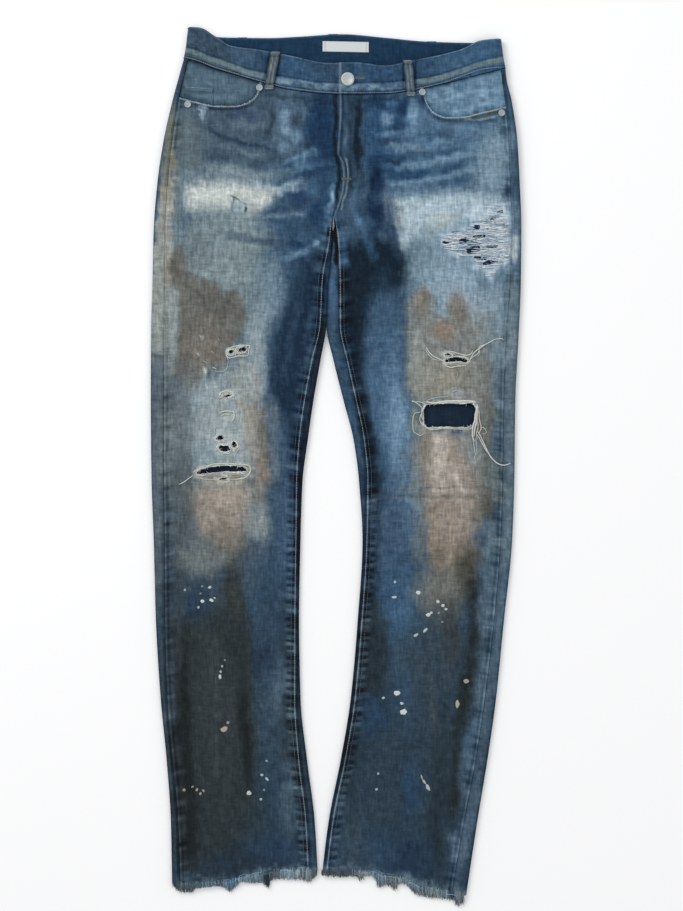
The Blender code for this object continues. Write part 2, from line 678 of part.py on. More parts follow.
def waistband(fronts, yokes, colour):
    """One strip made from the panels' top edges: from the buttonhole end, round the left side, across the
    back, round the right side, and under the buttonhole end."""
    left_front, right_front = fronts["left"][0], fronts["right"][0]
    left_yoke, right_yoke = yokes["left"][0], yokes["right"][0]
    last_back = len(left_yoke) - 1
    seam = np.concatenate([left_front, left_yoke[1:last_back], right_yoke[last_back:0:-1], right_front])
    index = np.arange(len(seam))
    on_back = (index >= len(left_front)) & (index < len(seam) - len(right_front))
    turned = np.minimum(index - len(left_front) + 1, len(seam) - len(right_front) - index)
    front = 1 - np.clip((turned - (UP_STEPS - 1)) / TURN_STEPS, 0, 1) * on_back
    x = seam[:, 0]
    free_front = column(FRONT_BAND_ROWS, "free_edge", x, "x")
    free_back = column(BACK_BAND_ROWS, "free_edge", x, "x")
    seam_down = TOP_Y - seam[:, 1] - SEAM_GAP
    free_down = front * free_front + (1 - front) * free_back
    thicker = BAND_CLOTH - CLOTH
    lapping = index < len(left_front)
    lap_rise = lapping * front_rise(x, seam_down) * thicker / (CLOTH + LAYER_GAP)
    z = seam[:, 2] + thicker / 2 + lap_rise
    down = free_down + np.linspace(0, 1, BAND_ROWS)[:, None] * (seam_down - free_down)
    return cloth_wall("waistband", grid_points(x[None, :], down, z[None, :]), BAND_CLOTH, colour)


def pocket_facing(side, pocket_edge, colour):
    """Cloth seen inside a front pocket opening. It runs under the front panel and joins the side seam."""
    sign = 1 if side == "right" else -1
    v = np.linspace(0, 1, FACING_ROWS)[:, None]
    u = np.linspace(0, 1, FACING_COLUMNS)[None, :]
    inner_x = pocket_edge[0].x + sign * FACING_TUCK
    down = 0 * v + 0 * u
    edge = sorted(pocket_edge, key=lambda row: row.x)
    for _ in range(PLACING_ROUNDS):
        outseam = column(OUTER_ROWS, side + "_seam", down) + sign * SEAM_GAP / 2
        x = outseam * (1 - u) + inner_x * u
        start = column(FRONT_BAND_ROWS, "seam", x, "x") + SEAM_GAP
        end = smooth_curve([row.x for row in edge], [row.down for row in edge], x) + FACING_TUCK
        end = np.maximum(end, start + 2 * FACING_TUCK)
        down = start + v * (end - start)
    z = top_height(side, x, down) - FACING_DROP[side]
    points = grid_points(x, down, z)
    if side == "left":
        points = points[:, ::-1]
    return cloth_wall("pocket_facing_" + side, points, CLOTH, colour)


def coin_pocket(colour):
    """Small patch pocket on the right facing. Its top shows in the pocket opening, the rest is under the front."""
    x = np.linspace(*COIN_POCKET_X, 5)[None, :]
    down = np.linspace(*COIN_POCKET_DOWN, 6)[:, None] + COIN_POCKET_SLANT * (x - COIN_POCKET_X[0])
    z = top_height("right", x, down) - FACING_DROP["right"] / 2
    return cloth_wall("coin_pocket", grid_points(x, down, z), CLOTH, colour)


def back_pocket(side, colour):
    """Five-sided patch pocket on the outside of the back panel, flat on the floor."""
    centre = BACK_POCKET_CENTRES[side]
    x = centre + np.linspace(-0.5, 0.5, 7)[None, :] * BACK_POCKET_WIDTH
    depth = BACK_POCKET_SIDE + BACK_POCKET_POINT * (1 - np.abs(x - centre) / (BACK_POCKET_WIDTH / 2))
    down = BACK_POCKET_TOP + np.linspace(0, 1, 4)[:, None] * depth
    middle = BACK_POCKET_CLOTH / 2
    return cloth_wall("back_pocket_" + side, grid_points(x, down, middle), BACK_POCKET_CLOTH, colour)


def belt_loop(loop, colour):
    """A narrow strip sewn down past both edges of the waistband."""
    start, end = loop_down(loop)
    v = np.linspace(0, 1, 9)[:, None]
    u = np.linspace(-0.5, 0.5, 3)[None, :]
    down = start + v * (end - start)
    x = loop.x_free + v * (loop.x_seam - loop.x_free) + u * LOOP_WIDTH
    if loop.on_front:
        side = "right" if loop.x_free < 0 else "left"
        band_top = top_height(side, x, down) + BAND_CLOTH - CLOTH / 2
        z = band_top + LAYER_GAP + LOOP_CLOTH / 2 + LOOP_ARCH * np.sin(math.pi * v) ** 2
    else:
        z = LOOP_CLOTH / 2 + 0 * x * v
    return cloth_wall(loop.name, grid_points(x, down, z), LOOP_CLOTH, colour)


def stud(name, place, diameter, height, base_z, steps):
    """A round domed metal head standing on the cloth."""
    x, down = place
    bpy.ops.mesh.primitive_cylinder_add(vertices=steps, radius=diameter / 2 * MM, depth=height * MM,
                                        location=(x * MM, (TOP_Y - down) * MM, (base_z + height / 2) * MM))
    obj = bpy.context.object
    obj.name = name
    dome = obj.modifiers.new("dome", "BEVEL")
    dome.width = height * 0.45 * MM
    dome.segments = 2
    dome.limit_method = "ANGLE"
    obj.data.shade_smooth()
    obj.data.set_sharp_from_angle(angle=SHARP_ANGLE)
    paint(obj, METAL_SILVER, METAL_ROUGHNESS, 1.0)
    return obj


def label(colour):
    """Blank woven label on the inside of the back waistband."""
    x = np.linspace(*LABEL_X, 6)[None, :]
    down = np.linspace(*LABEL_DOWN, 2)[:, None] + 0.02 * (x - LABEL_X[0])
    z = BAND_CLOTH + LAYER_GAP + LABEL_CLOTH / 2 + floor_lift(down)
    return cloth_wall("label", grid_points(x, down, z), LABEL_CLOTH, colour)


def strand_length(x, tufts, number):
    """Length of one strand of the fringe: longer in the tufts, and uneven."""
    length = FRINGE_SHORT + FRINGE_SPREAD * (0.5 + 0.5 * math.sin(number * 2.4) * math.cos(number * 0.9))
    for tuft in tufts:
        length += tuft.extra * math.exp(-(((x - tuft.x) / tuft.half_width) ** 2))
    return length


def hem_fringe(name, hem_edge, tufts, strip_height, colour):
    """Frayed yarns below a raw hem: a narrow strip along the cut edge with tapering strands at its lower side."""
    edge = hem_edge[np.argsort(hem_edge[:, 0])]
    low, high = edge[0, 0] + FRINGE_INSET, edge[-1, 0] - FRINGE_INSET
    count = int((high - low) / STRAND_PITCH)
    stations = []
    for i in range(count):
        middle = low + (high - low) * (i + 0.5) / count
        stations += [middle - STRAND_WIDTH / 2, middle + STRAND_WIDTH / 2]
    vertices, faces = [], []
    half = strip_height / 2
    for x in stations:
        y = float(np.interp(x, edge[:, 0], edge[:, 1])) - SEAM_GAP
        z = float(np.interp(x, edge[:, 0], edge[:, 2]))
        vertices += [(x, y, z + half), (x, y, z - half),
                     (x, y - FRINGE_STRIP, z - half * 0.7), (x, y - FRINGE_STRIP, z + half * 0.7)]
    for i in range(len(stations) - 1):
        a, b = 4 * i, 4 * i + 4
        faces += [(a, a + 3, b + 3, b), (a + 1, b + 1, b + 2, a + 2), (a, b, b + 1, a + 1)]
        if i % 2 == 1:
            faces.append((a + 3, a + 2, b + 2, b + 3))
            continue
        x = (stations[i] + stations[i + 1]) / 2
        tip_y = vertices[a + 3][1] - strand_length(x, tufts, i // 2)
        tip_z = CLOTH / 2 + STRAND_TIP_DROP * (vertices[a + 3][2] - CLOTH / 2)
        tip_x = x + STRAND_LEAN * math.sin(i * 1.7)
        tip = len(vertices)
        vertices += [(tip_x - STRAND_TIP / 2, tip_y, tip_z), (tip_x + STRAND_TIP / 2, tip_y, tip_z)]
        faces += [(a + 3, tip, tip + 1, b + 3), (a + 2, b + 2, tip + 1, tip),
                  (a + 3, a + 2, tip), (b + 3, tip + 1, b + 2)]
    faces += [(0, 1, 2, 3), tuple(len(stations) * 4 - 4 + i for i in (3, 2, 1, 0))]
    return finish_object(name, vertices, faces, colour)


front_grids = {
    "right": front_panel("right", RIGHT_HEM, RIGHT_RIPS, RIGHT_POCKET_EDGE, FADED_BLUE),
    "left": front_panel("left", LEFT_HEM, LEFT_RIPS + SHRED_ROWS, LEFT_POCKET_EDGE, FADED_BLUE),
}
yoke_grids, back_grids = {}, {}
for panel_side, panel_hem in (("right", RIGHT_HEM), ("left", LEFT_HEM)):
    yoke_grids[panel_side], back_grids[panel_side] = back_panels(panel_side, panel_hem, MID_BLUE)
waistband(front_grids, yoke_grids, MID_BLUE)
pocket_facing("right", RIGHT_POCKET_EDGE, MID_BLUE)
pocket_facing("left", LEFT_POCKET_EDGE, MID_BLUE)
coin_pocket(MID_BLUE)
for pocket_side in BACK_POCKET_CENTRES:
    back_pocket(pocket_side, MID_BLUE)
for loop_row in LOOP_ROWS:
    belt_loop(loop_row, SEAM_GREY)
button_base = float(top_height("left", *BUTTON_PLACE)) - CLOTH / 2 + 2 * BAND_CLOTH + 2 * LAYER_GAP
stud("button", BUTTON_PLACE, BUTTON_DIAMETER, BUTTON_HEIGHT, button_base, 20)
for rivet_name, rivet_place in RIVET_PLACES.items():
    rivet_side = "right" if rivet_place[0] < 0 else "left"
    rivet_base = float(top_height(rivet_side, rivet_place[0], rivet_place[1])) + CLOTH / 2 + 2 * LAYER_GAP
    stud(rivet_name, rivet_place, RIVET_DIAMETER, RIVET_HEIGHT, rivet_base, 12)
label(LABEL_WHITE)
for fringe_side, tuft_rows in (("right", RIGHT_TUFTS), ("left", LEFT_TUFTS)):
    top_edge, floor_edge = front_grids[fringe_side][-1], back_grids[fringe_side][-1, FLOOR_COLUMNS]
    hem_fringe("fringe_front_" + fringe_side, top_edge, tuft_rows, FRINGE_HEIGHT, YARN_WHITE)
    hem_fringe("fringe_back_" + fringe_side, floor_edge, tuft_rows, FRINGE_HEIGHT, YARN_WHITE)
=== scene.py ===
"""Ripped, faded and splashed denim jeans, laid flat on their back with the front up.

Sizes are in millimetres of the laid garment: x runs to the wearer's left, and "down" is the distance from
the top of the waist towards the hems. Places of the fading and of the painted shade are counted in chart squares of 1.3
mm.
"""
import math
from collections import namedtuple

import bpy
import numpy as np
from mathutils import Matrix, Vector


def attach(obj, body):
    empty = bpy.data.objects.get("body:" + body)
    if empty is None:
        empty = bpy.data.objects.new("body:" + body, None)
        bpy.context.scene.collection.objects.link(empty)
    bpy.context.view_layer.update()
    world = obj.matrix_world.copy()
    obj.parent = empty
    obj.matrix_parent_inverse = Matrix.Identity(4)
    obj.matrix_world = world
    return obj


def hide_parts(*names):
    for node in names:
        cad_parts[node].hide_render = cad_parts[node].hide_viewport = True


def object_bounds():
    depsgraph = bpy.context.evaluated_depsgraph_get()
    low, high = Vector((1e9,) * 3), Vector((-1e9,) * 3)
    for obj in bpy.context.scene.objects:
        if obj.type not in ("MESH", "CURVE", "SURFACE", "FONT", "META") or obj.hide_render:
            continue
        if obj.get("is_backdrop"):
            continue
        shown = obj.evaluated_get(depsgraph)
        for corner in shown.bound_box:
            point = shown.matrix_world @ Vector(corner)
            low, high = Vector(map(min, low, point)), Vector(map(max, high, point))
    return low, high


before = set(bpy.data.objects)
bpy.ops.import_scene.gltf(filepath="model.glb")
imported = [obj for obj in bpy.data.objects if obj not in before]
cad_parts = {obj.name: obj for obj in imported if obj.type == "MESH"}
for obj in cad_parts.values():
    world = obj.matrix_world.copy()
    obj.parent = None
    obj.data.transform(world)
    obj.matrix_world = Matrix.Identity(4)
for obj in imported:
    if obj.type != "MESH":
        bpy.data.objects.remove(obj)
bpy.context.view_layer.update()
bpy.ops.object.select_all(action="DESELECT")

# Studio: a plain pale floor that the jeans lie on, wide soft lamps above it, and the camera that looks
# straight down. None of it is part of the jeans.
bpy.ops.object.camera_add(location=(0.00715, 0.0171, 3.006), rotation=(0.0, 0.0, 0.0))
camera = bpy.context.object
camera.name = "camera_overhead"
camera.data.lens = 91.19
camera.data.sensor_width = 36.0
camera.data.clip_end = 30.0
bpy.context.scene.camera = camera
bpy.context.scene.view_settings.view_transform = "Standard"
bpy.context.scene.view_settings.look = "None"

bpy.ops.mesh.primitive_plane_add(size=9.0, location=(0.0, 0.0, -0.0004))
floor = bpy.context.object
floor.name = "studio_floor"
floor_paint = bpy.data.materials.new("pale_floor")
floor_paint.use_nodes = True
floor_shader = floor_paint.node_tree.nodes["Principled BSDF"]
floor_shader.inputs["Base Color"].default_value = (0.95, 0.95, 0.95, 1.0)
floor_shader.inputs["Emission Color"].default_value = (1.0, 1.0, 1.0, 1.0)
floor_shader.inputs["Emission Strength"].default_value = 0.12
floor_shader.inputs["Roughness"].default_value = 0.95
floor_shader.inputs["Specular IOR Level"].default_value = 0.1
floor.data.materials.append(floor_paint)
floor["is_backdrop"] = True

world = bpy.data.worlds.new("soft_room")
bpy.context.scene.world = world
world.use_nodes = True
world.node_tree.nodes["Background"].inputs["Color"].default_value = (0.98, 0.99, 1.0, 1.0)
world.node_tree.nodes["Background"].inputs["Strength"].default_value = 0.62

Lamp = namedtuple("Lamp", "name place size power")
for lamp in (Lamp("lamp_upper_left", (-1.5, 1.7, 1.9), 1.4, 34.0), Lamp("lamp_lower_right", (1.9, -1.2, 2.6), 2.2, 12.0)):
    bpy.ops.object.light_add(type="AREA", location=lamp.place)
    light = bpy.context.object
    light.name = lamp.name
    light.data.shape = "SQUARE"
    light.data.size = lamp.size
    light.data.energy = lamp.power
    aim = -light.location
    light.rotation_euler = aim.to_track_quat("-Z", "Y").to_euler()

# Back panels and yokes: indigo twill, cut whole for each side. Each lies on the floor and turns up over the
# outer edge, and below the crotch over the inner edge too, to the seams where it meets the front.
MM = 0.001
LENGTH = 1147.3
TOP_Y = LENGTH / 2
CLOTH = 1.2
BAND_CLOTH = 2.4
SEAM_GAP = 0.3
LAYER_GAP = 0.35
CROTCH_DOWN = 246.0
LEG_PARTS = (CROTCH_DOWN - 6.0, CROTCH_DOWN + 22.0)
CENTRE_BACK_X = -3.6
CENTRE_BACK_STRIP = 14.0
CENTRE_BACK_GAP = 0.5
CENTRE_BACK_GAP_ROWS = (CROTCH_DOWN - 44.0, CROTCH_DOWN - 8.0)
EDGE_RISE_REACH = 16.0
EDGE_RADIUS = 4.6
FOLD_CLEAR_OF_OUTER = (2.0, 22.0)
FOLD_CLEAR_OF_INNER = (2.0, 14.0)
CROTCH_DIP, CROTCH_DIP_LONG, CROTCH_DIP_WIDE = 0.30, 20.0, 12.0
YOKE_DEPTH_SIDE, YOKE_DEPTH_CENTRE, YOKE_HALF_WIDTH = 84.0, 122.0, 220.0
BACK_POCKET_TOP, BACK_POCKET_SIDE, BACK_POCKET_POINT = 124.0, 116.0, 24.0
LIFT_END_FROM, LIFT_END_TO = 26.0, 76.0
LOOP_CLOTH = 1.5

OuterRow = namedtuple("OuterRow", "down right_edge right_seam left_seam left_edge")
OUTER_ROWS = [
    OuterRow(40, -197.0, -192.0, 213.5, 218.4),
    OuterRow(69, -205.0, -199.0, 216.0, 221.5),
    OuterRow(95, -212.0, -204.5, 220.0, 227.8),
    OuterRow(147, -223.6, -213.0, 224.5, 235.3),
    OuterRow(199, -231.4, -218.4, 226.4, 238.2),
    OuterRow(260, -236.4, -222.0, 228.8, 240.5),
    OuterRow(330, -238.2, -222.8, 226.5, 239.9),
    OuterRow(400, -240.2, -223.6, 221.6, 237.0),
    OuterRow(485, -240.5, -224.3, 218.4, 232.8),
    OuterRow(590, -239.4, -224.0, 217.0, 231.4),
    OuterRow(667, -236.6, -223.2, 214.4, 228.6),
    OuterRow(771, -233.8, -222.6, 205.8, 218.0),
    OuterRow(875, -227.4, -219.4, 193.4, 207.4),
    OuterRow(953, -219.8, -212.8, 181.8, 196.4),
    OuterRow(1031, -214.4, -205.6, 167.0, 183.6),
    OuterRow(1130, -212.4, -202.4, 150.0, 168.6),
]
InnerRow = namedtuple("InnerRow", "down right_seam right_edge left_edge left_seam")
INNER_ROWS = [
    InnerRow(246, -4.1, -3.8, -3.2, -2.9),
    InnerRow(277, -7.2, -4.6, -4.0, 1.6),
    InnerRow(330, -16.2, -9.8, -9.2, 3.9),
    InnerRow(387, -19.2, -12.9, -11.9, 4.0),
    InnerRow(433, -29.6, -20.8, -2.6, 13.2),
    InnerRow(485, -39.3, -29.9, 10.4, 24.8),
    InnerRow(537, -46.2, -37.4, 23.6, 35.4),
    InnerRow(589, -49.4, -44.0, 30.4, 39.8),
    InnerRow(667, -50.4, -46.8, 35.0, 38.6),
    InnerRow(771, -51.8, -48.6, 28.8, 32.2),
    InnerRow(875, -52.0, -46.6, 19.4, 23.0),
    InnerRow(953, -46.8, -38.2, 6.6, 10.2),
    InnerRow(1031, -37.8, -28.4, -8.8, -5.4),
    InnerRow(1130, -33.0, -22.8, -21.0, -17.4),
]
LayRow = namedtuple("LayRow", "down middle edge_rise")
LAY_ROWS = [
    LayRow(0, 7.6, 2.6),
    LayRow(90, 7.6, 2.4),
    LayRow(180, 7.2, 2.4),
    LayRow(260, 6.8, 2.4),
    LayRow(420, 5.0, 2.2),
    LayRow(700, 4.4, 1.8),
    LayRow(1130, 4.2, 1.6),
]
BandRow = namedtuple("BandRow", "x free_edge seam")
FRONT_BAND_ROWS = [
    BandRow(-197, 0.0, 41.0),
    BandRow(-182, 0.6, 44.5),
    BandRow(-156, 12.6, 54.0),
    BandRow(-137, 24.0, 59.5),
    BandRow(-98, 29.8, 71.0),
    BandRow(-60, 37.0, 81.0),
    BandRow(-8, 46.6, 86.6),
    BandRow(24, 46.2, 87.4),
    BandRow(62, 50.2, 86.6),
    BandRow(98, 43.4, 82.6),
    BandRow(134, 36.4, 74.8),
    BandRow(162, 29.0, 67.6),
    BandRow(190, 17.2, 60.4),
    BandRow(219, 15.0, 53.4),
]
BACK_BAND_ROWS = [
    BandRow(-197, 0.0, 41.0),
    BandRow(-177, 5.4, 44.0),
    BandRow(-150, 12.4, 47.4),
    BandRow(-86, 13.4, 49.6),
    BandRow(-47, 11.6, 48.6),
    BandRow(8, 8.4, 46.8),
    BandRow(64, 13.0, 49.8),
    BandRow(122, 18.2, 53.4),
    BandRow(182, 19.6, 54.4),
    BandRow(219, 15.0, 53.4),
]
HemRow = namedtuple("HemRow", "x down")
HEMS = {
    "right": [
        HemRow(-213, 1113.0),
        HemRow(-190, 1116.5),
        HemRow(-139, 1112.0),
        HemRow(-112, 1105.0),
        HemRow(-80, 1100.0),
        HemRow(-47, 1097.5),
        HemRow(-22, 1097.0),
    ],
    "left": [
        HemRow(-22, 1097.5),
        HemRow(12, 1099.5),
        HemRow(46, 1101.0),
        HemRow(70, 1107.0),
        HemRow(90, 1110.0),
        HemRow(110, 1119.0),
        HemRow(142, 1125.0),
        HemRow(170, 1129.0),
    ],
}
FoldRow = namedtuple("FoldRow", "x down angle length width height")
FOLD_ROWS = [
    FoldRow(-14, 282, 86, 90, 9, 3.4),
    FoldRow(-40, 268, 22, 90, 8, -1.6),
    FoldRow(-58, 232, 20, 110, 9, 1.8),
    FoldRow(-62, 196, 24, 120, 10, 1.5),
    FoldRow(-78, 160, 18, 110, 9, 1.2),
    FoldRow(-44, 320, 42, 110, 10, 1.8),
    FoldRow(-70, 372, 62, 120, 13, -1.4),
    FoldRow(22, 268, -64, 84, 9, 2.6),
    FoldRow(50, 300, -60, 110, 12, -1.8),
    FoldRow(58, 214, -18, 110, 9, 1.6),
    FoldRow(96, 180, -10, 140, 10, 1.4),
    FoldRow(104, 148, -6, 130, 9, 1.1),
    FoldRow(78, 246, -24, 100, 10, 1.2),
    FoldRow(-136, 596, 3, 150, 7, -1.2),
    FoldRow(-100, 584, 4, 130, 8, 1.5),
    FoldRow(128, 612, 1, 160, 7, -1.2),
    FoldRow(120, 600, 2, 150, 8, 1.4),
    FoldRow(-92, 690, -64, 120, 14, 1.3),
    FoldRow(84, 700, 66, 130, 14, 1.4),
    FoldRow(-150, 820, 84, 190, 16, 1.3),
    FoldRow(-88, 930, -78, 190, 15, 1.5),
    FoldRow(128, 830, 76, 200, 16, 1.4),
    FoldRow(66, 960, 66, 180, 15, 1.3),
    FoldRow(-176, 470, 88, 180, 14, 1.2),
    FoldRow(172, 520, 88, 200, 14, 1.2),
]


def smooth_curve(stations, values, at):
    """Values between the stations, on a curve with no overshoot."""
    stations = np.asarray(stations, float)
    values = np.asarray(values, float)
    at = np.clip(np.asarray(at, float), stations[0], stations[-1])
    spans = np.diff(stations)
    slopes = np.diff(values) / spans
    tangents = np.zeros_like(values)
    inner = slopes[:-1] * slopes[1:] > 0
    mean = 2 * slopes[:-1] * slopes[1:] / np.where(inner, slopes[:-1] + slopes[1:], 1.0)
    tangents[1:-1] = np.where(inner, mean, 0.0)
    tangents[0], tangents[-1] = slopes[0], slopes[-1]
    i = np.clip(np.searchsorted(stations, at, side="right") - 1, 0, len(spans) - 1)
    t = (at - stations[i]) / spans[i]
    left = values[i] + t * t * (3 - 2 * t) * (values[i + 1] - values[i])
    return left + t * (1 - t) * spans[i] * ((1 - t) * tangents[i] - t * tangents[i + 1])


def column(rows, name, at, key="down"):
    """One named column of a table, read at these places."""
    return smooth_curve([getattr(r, key) for r in rows], [getattr(r, name) for r in rows], at)


def ease(low, high, at):
    """0 below low, 1 above high, and an even S-curve between."""
    t = np.clip((np.asarray(at, float) - low) / (high - low), 0.0, 1.0)
    return t * t * (3 - 2 * t)


def lattice(ix, iy, seed):
    """A fixed number from -1 to 1 for each crossing of a grid."""
    h = (ix * 374761393 + iy * 668265263 + seed * 69069 + 12345) & 0xFFFFFFFF
    h = ((h ^ (h >> 13)) * 1274126177) & 0xFFFFFFFF
    return ((h ^ (h >> 16)) & 0xFFFF) / 32767.5 - 1.0


def uneven(x, y, cell_x, cell_y, seed, layers=2):
    """Soft unevenness of dye and cloth, about -1 to 1, in cells of this size."""
    x, y = np.broadcast_arrays(np.asarray(x, float), np.asarray(y, float))
    total, weight, sum_of_weights = np.zeros(x.shape), 1.0, 0.0
    for layer in range(layers):
        gx, gy = x / cell_x * 2**layer, y / cell_y * 2**layer
        ix, iy = np.floor(gx).astype(np.int64), np.floor(gy).astype(np.int64)
        fx, fy = gx - ix, gy - iy
        u, v = fx * fx * (3 - 2 * fx), fy * fy * (3 - 2 * fy)
        top = lattice(ix, iy, seed + layer) * (1 - u) + lattice(ix + 1, iy, seed + layer) * u
        low = lattice(ix, iy + 1, seed + layer) * (1 - u) + lattice(ix + 1, iy + 1, seed + layer) * u
        total += weight * (top * (1 - v) + low * v)
        sum_of_weights += weight
        weight *= 0.55
    return total / sum_of_weights * 1.5


def line_reach(x, y, points):
    """Distance of each place from a bent line."""
    best = np.full(np.broadcast(x, y).shape, 1e9)
    for (ax, ay), (bx, by) in zip(points, points[1:]):
        dx, dy = bx - ax, by - ay
        t = np.clip(((x - ax) * dx + (y - ay) * dy) / (dx * dx + dy * dy), 0, 1)
        best = np.minimum(best, np.hypot(x - ax - t * dx, y - ay - t * dy))
    return best


# Places of the fading, the painted shade and the small creases are counted in squares of a chart of the jeans as they
# lie.
SQUARE = 1.30
SQUARE_ZERO = (336.0, 27.4)
Crease = namedtuple("Crease", "points width height")
CREASES = [
    Crease([(206, 128), (230, 139.7), (257, 146), (276, 151)], 3.0, -0.6),
    Crease([(212, 147), (236, 155), (258, 161)], 3.4, 0.6),
    Crease([(206, 158), (232, 165), (262, 170), (280, 168)], 3.0, -0.5),
    Crease([(282, 148), (300, 136)], 3.4, 0.5),
    Crease([(287, 165), (300, 158.5), (313, 152.6)], 3.2, 0.6),
    Crease([(272, 192.4), (289, 184.8), (302, 180)], 3.2, 0.6),
    Crease([(262, 169.5), (287, 166.5), (318, 155)], 2.8, -0.6),
    Crease([(276, 185.6), (297, 177.4), (328, 170.4)], 2.8, -0.6),
    Crease([(268, 209), (318, 210)], 3.0, -0.6),
    Crease([(262, 219), (312, 222)], 3.4, 0.6),
    Crease([(225, 234), (262, 241), (302, 247)], 4.0, -0.45),
    Crease([(281, 262), (297, 253), (311, 249)], 3.6, 0.5),
    Crease([(262, 256), (296, 246)], 2.8, -0.5),
    Crease([(318, 262), (316, 300), (306, 340)], 3.6, 0.6),
    Crease([(300, 300), (290, 340), (284, 380)], 4.0, 0.5),
    Crease([(378, 142), (392, 142), (406, 141)], 3.4, -0.5),
    Crease([(382, 150), (400, 149.4), (440, 145)], 3.6, 0.5),
    Crease([(370, 159), (400, 158.6), (436, 152), (460, 149)], 3.4, -0.6),
    Crease([(374, 167.6), (400, 166.6), (427, 162.7), (451, 158), (473, 154)], 3.2, 0.7),
    Crease([(386, 175), (410, 176.4), (447, 170), (469, 162)], 3.6, -0.6),
    Crease([(379, 184.6), (412, 183.3), (432, 179.7), (456, 173.6)], 3.2, 0.6),
    Crease([(430, 189), (451, 185.5), (476, 178)], 3.2, -0.5),
    Crease([(357, 214), (364, 235), (373, 256)], 5.0, 0.6),
    Crease([(376, 222), (392, 236)], 3.0, -0.5),
    Crease([(346, 262), (372, 246), (396, 250)], 4.0, -0.6),
    Crease([(344, 300), (360, 270), (384, 262)], 4.0, 0.6),
    Crease([(166, 507), (186, 506), (212, 502)], 2.4, -0.3),
    Crease([(196, 489), (240, 486), (274, 490)], 3.4, 0.4),
    Crease([(186, 520), (222, 528), (250, 522)], 3.4, 0.5),
    Crease([(200, 548), (232, 556), (262, 546)], 3.4, -0.4),
    Crease([(402, 488), (430, 487), (464, 487), (480, 487)], 2.4, -0.25),
    Crease([(390, 497), (414, 496), (432, 498), (474, 498)], 2.4, -0.25),
    Crease([(396, 492), (440, 492), (480, 493)], 2.4, 0.6),
    Crease([(446, 500), (434, 508), (420, 518)], 3.0, -0.5),
    Crease([(452, 502), (462, 520), (464, 545)], 3.4, 0.5),
    Crease([(392, 560), (430, 552), (462, 562)], 4.0, 0.4),
]


def fold_relief(x, down):
    """Height that the folds add to the top layer."""
    relief = np.zeros(np.broadcast(x, down).shape)
    for fold in FOLD_ROWS:
        turn = math.radians(fold.angle)
        along = (x - fold.x) * math.cos(turn) - (down - fold.down) * math.sin(turn)
        across = (x - fold.x) * math.sin(turn) + (down - fold.down) * math.cos(turn)
        relief += fold.height * np.exp(-((2.2 * along / fold.length) ** 4)) * np.exp(-((across / fold.width) ** 2))
    for crease in CREASES:
        places = [((x1 - SQUARE_ZERO[0]) * SQUARE, (y1 - SQUARE_ZERO[1]) * SQUARE) for x1, y1 in crease.points]
        away = line_reach(x + 1.2 * uneven(x, down, 16, 16, 3), down + 1.6 * uneven(x, down, 18, 14, 5), places)
        relief += crease.height * np.exp(-((away / crease.width) ** 2))
    relief += 0.30 * uneven(x, down, 30, 44, 7) + 0.12 * uneven(x, down, 9, 15, 9)
    return relief


def silhouette(side, down):
    """Outer edge, inner edge and how much of a separate leg there is."""
    outer = column(OUTER_ROWS, side + "_edge", down)
    inner = column(INNER_ROWS, side + "_edge", down)
    return outer, inner, ease(*LEG_PARTS, down)


def top_height(side, x, down):
    """Mid-cloth height of the top layer, rounding down to half height at the garment's edges."""
    outer, inner, leg = silhouette(side, down)
    middle = column(LAY_ROWS, "middle", down)
    rise = column(LAY_ROWS, "edge_rise", down)
    from_outer = np.abs(x - outer)
    from_inner = np.abs(x - inner)
    height = middle + rise * np.exp(-((from_outer / EDGE_RISE_REACH) ** 2))
    height = height + leg * rise * np.exp(-((from_inner / EDGE_RISE_REACH) ** 2))
    inland = ease(*FOLD_CLEAR_OF_OUTER, from_outer) * (1 - leg * (1 - ease(*FOLD_CLEAR_OF_INNER, from_inner)))
    height = height + inland * fold_relief(x, down)
    dip = np.exp(-(((down - CROTCH_DOWN) / CROTCH_DIP_LONG) ** 2) - ((from_inner / CROTCH_DIP_WIDE) ** 2))
    height = height * (1 - CROTCH_DIP * dip)
    on_floor = CLOTH / 2
    for distance, amount in ((from_outer, 1.0), (from_inner, leg)):
        e = np.clip(distance / EDGE_RADIUS, 0.0, 1.0)
        share = 0.5 + 0.5 * np.sqrt(np.clip(1 - (1 - e) ** 2, 0.0, 1.0))
        height = on_floor + (height - on_floor) * (1 - amount * (1 - share))
    return height


def floor_lift(down):
    """How far the back of the hips is raised by the pockets and loops that lie under it."""
    pocket_end = BACK_POCKET_TOP + BACK_POCKET_SIDE + BACK_POCKET_POINT
    return (LOOP_CLOTH + LAYER_GAP) * (1 - ease(pocket_end + LIFT_END_FROM, pocket_end + LIFT_END_TO, down))


def seam_puckers(side, which, down):
    """Uneven drawing-up of the cloth along a seam, about -1 to 1, every 10 to 15 mm."""
    seed = {"outer": 11, "inner": 23}[which] + (5 if side == "left" else 0)
    return uneven(0 * down, down, 50.0, 6.6, seed, 2)


def pucker_height(side, x, down):
    """Small relief beside the inseam and the side seam."""
    outer, inner, leg = silhouette(side, down)
    outseam = column(OUTER_ROWS, side + "_seam", down)
    inseam = column(INNER_ROWS, side + "_seam", down)
    clear = ease(2.0, 6.0, np.abs(x - outer)) * (1 - leg * (1 - ease(1.0, 4.0, np.abs(x - inner))))
    relief = 0.52 * seam_puckers(side, "outer", down) * np.exp(-(((x - outseam) / 7.0) ** 2))
    relief = relief + leg * 0.60 * seam_puckers(side, "inner", down) * np.exp(-(((x - inseam) / 8.0) ** 2))
    return relief * clear


def grid_points(x, down, z):
    """Stacks the three coordinates of a grid of points, in millimetres, with y up the garment."""
    x, down, z = np.broadcast_arrays(x, down, z)
    return np.stack([x, TOP_Y - down, z], axis=-1)


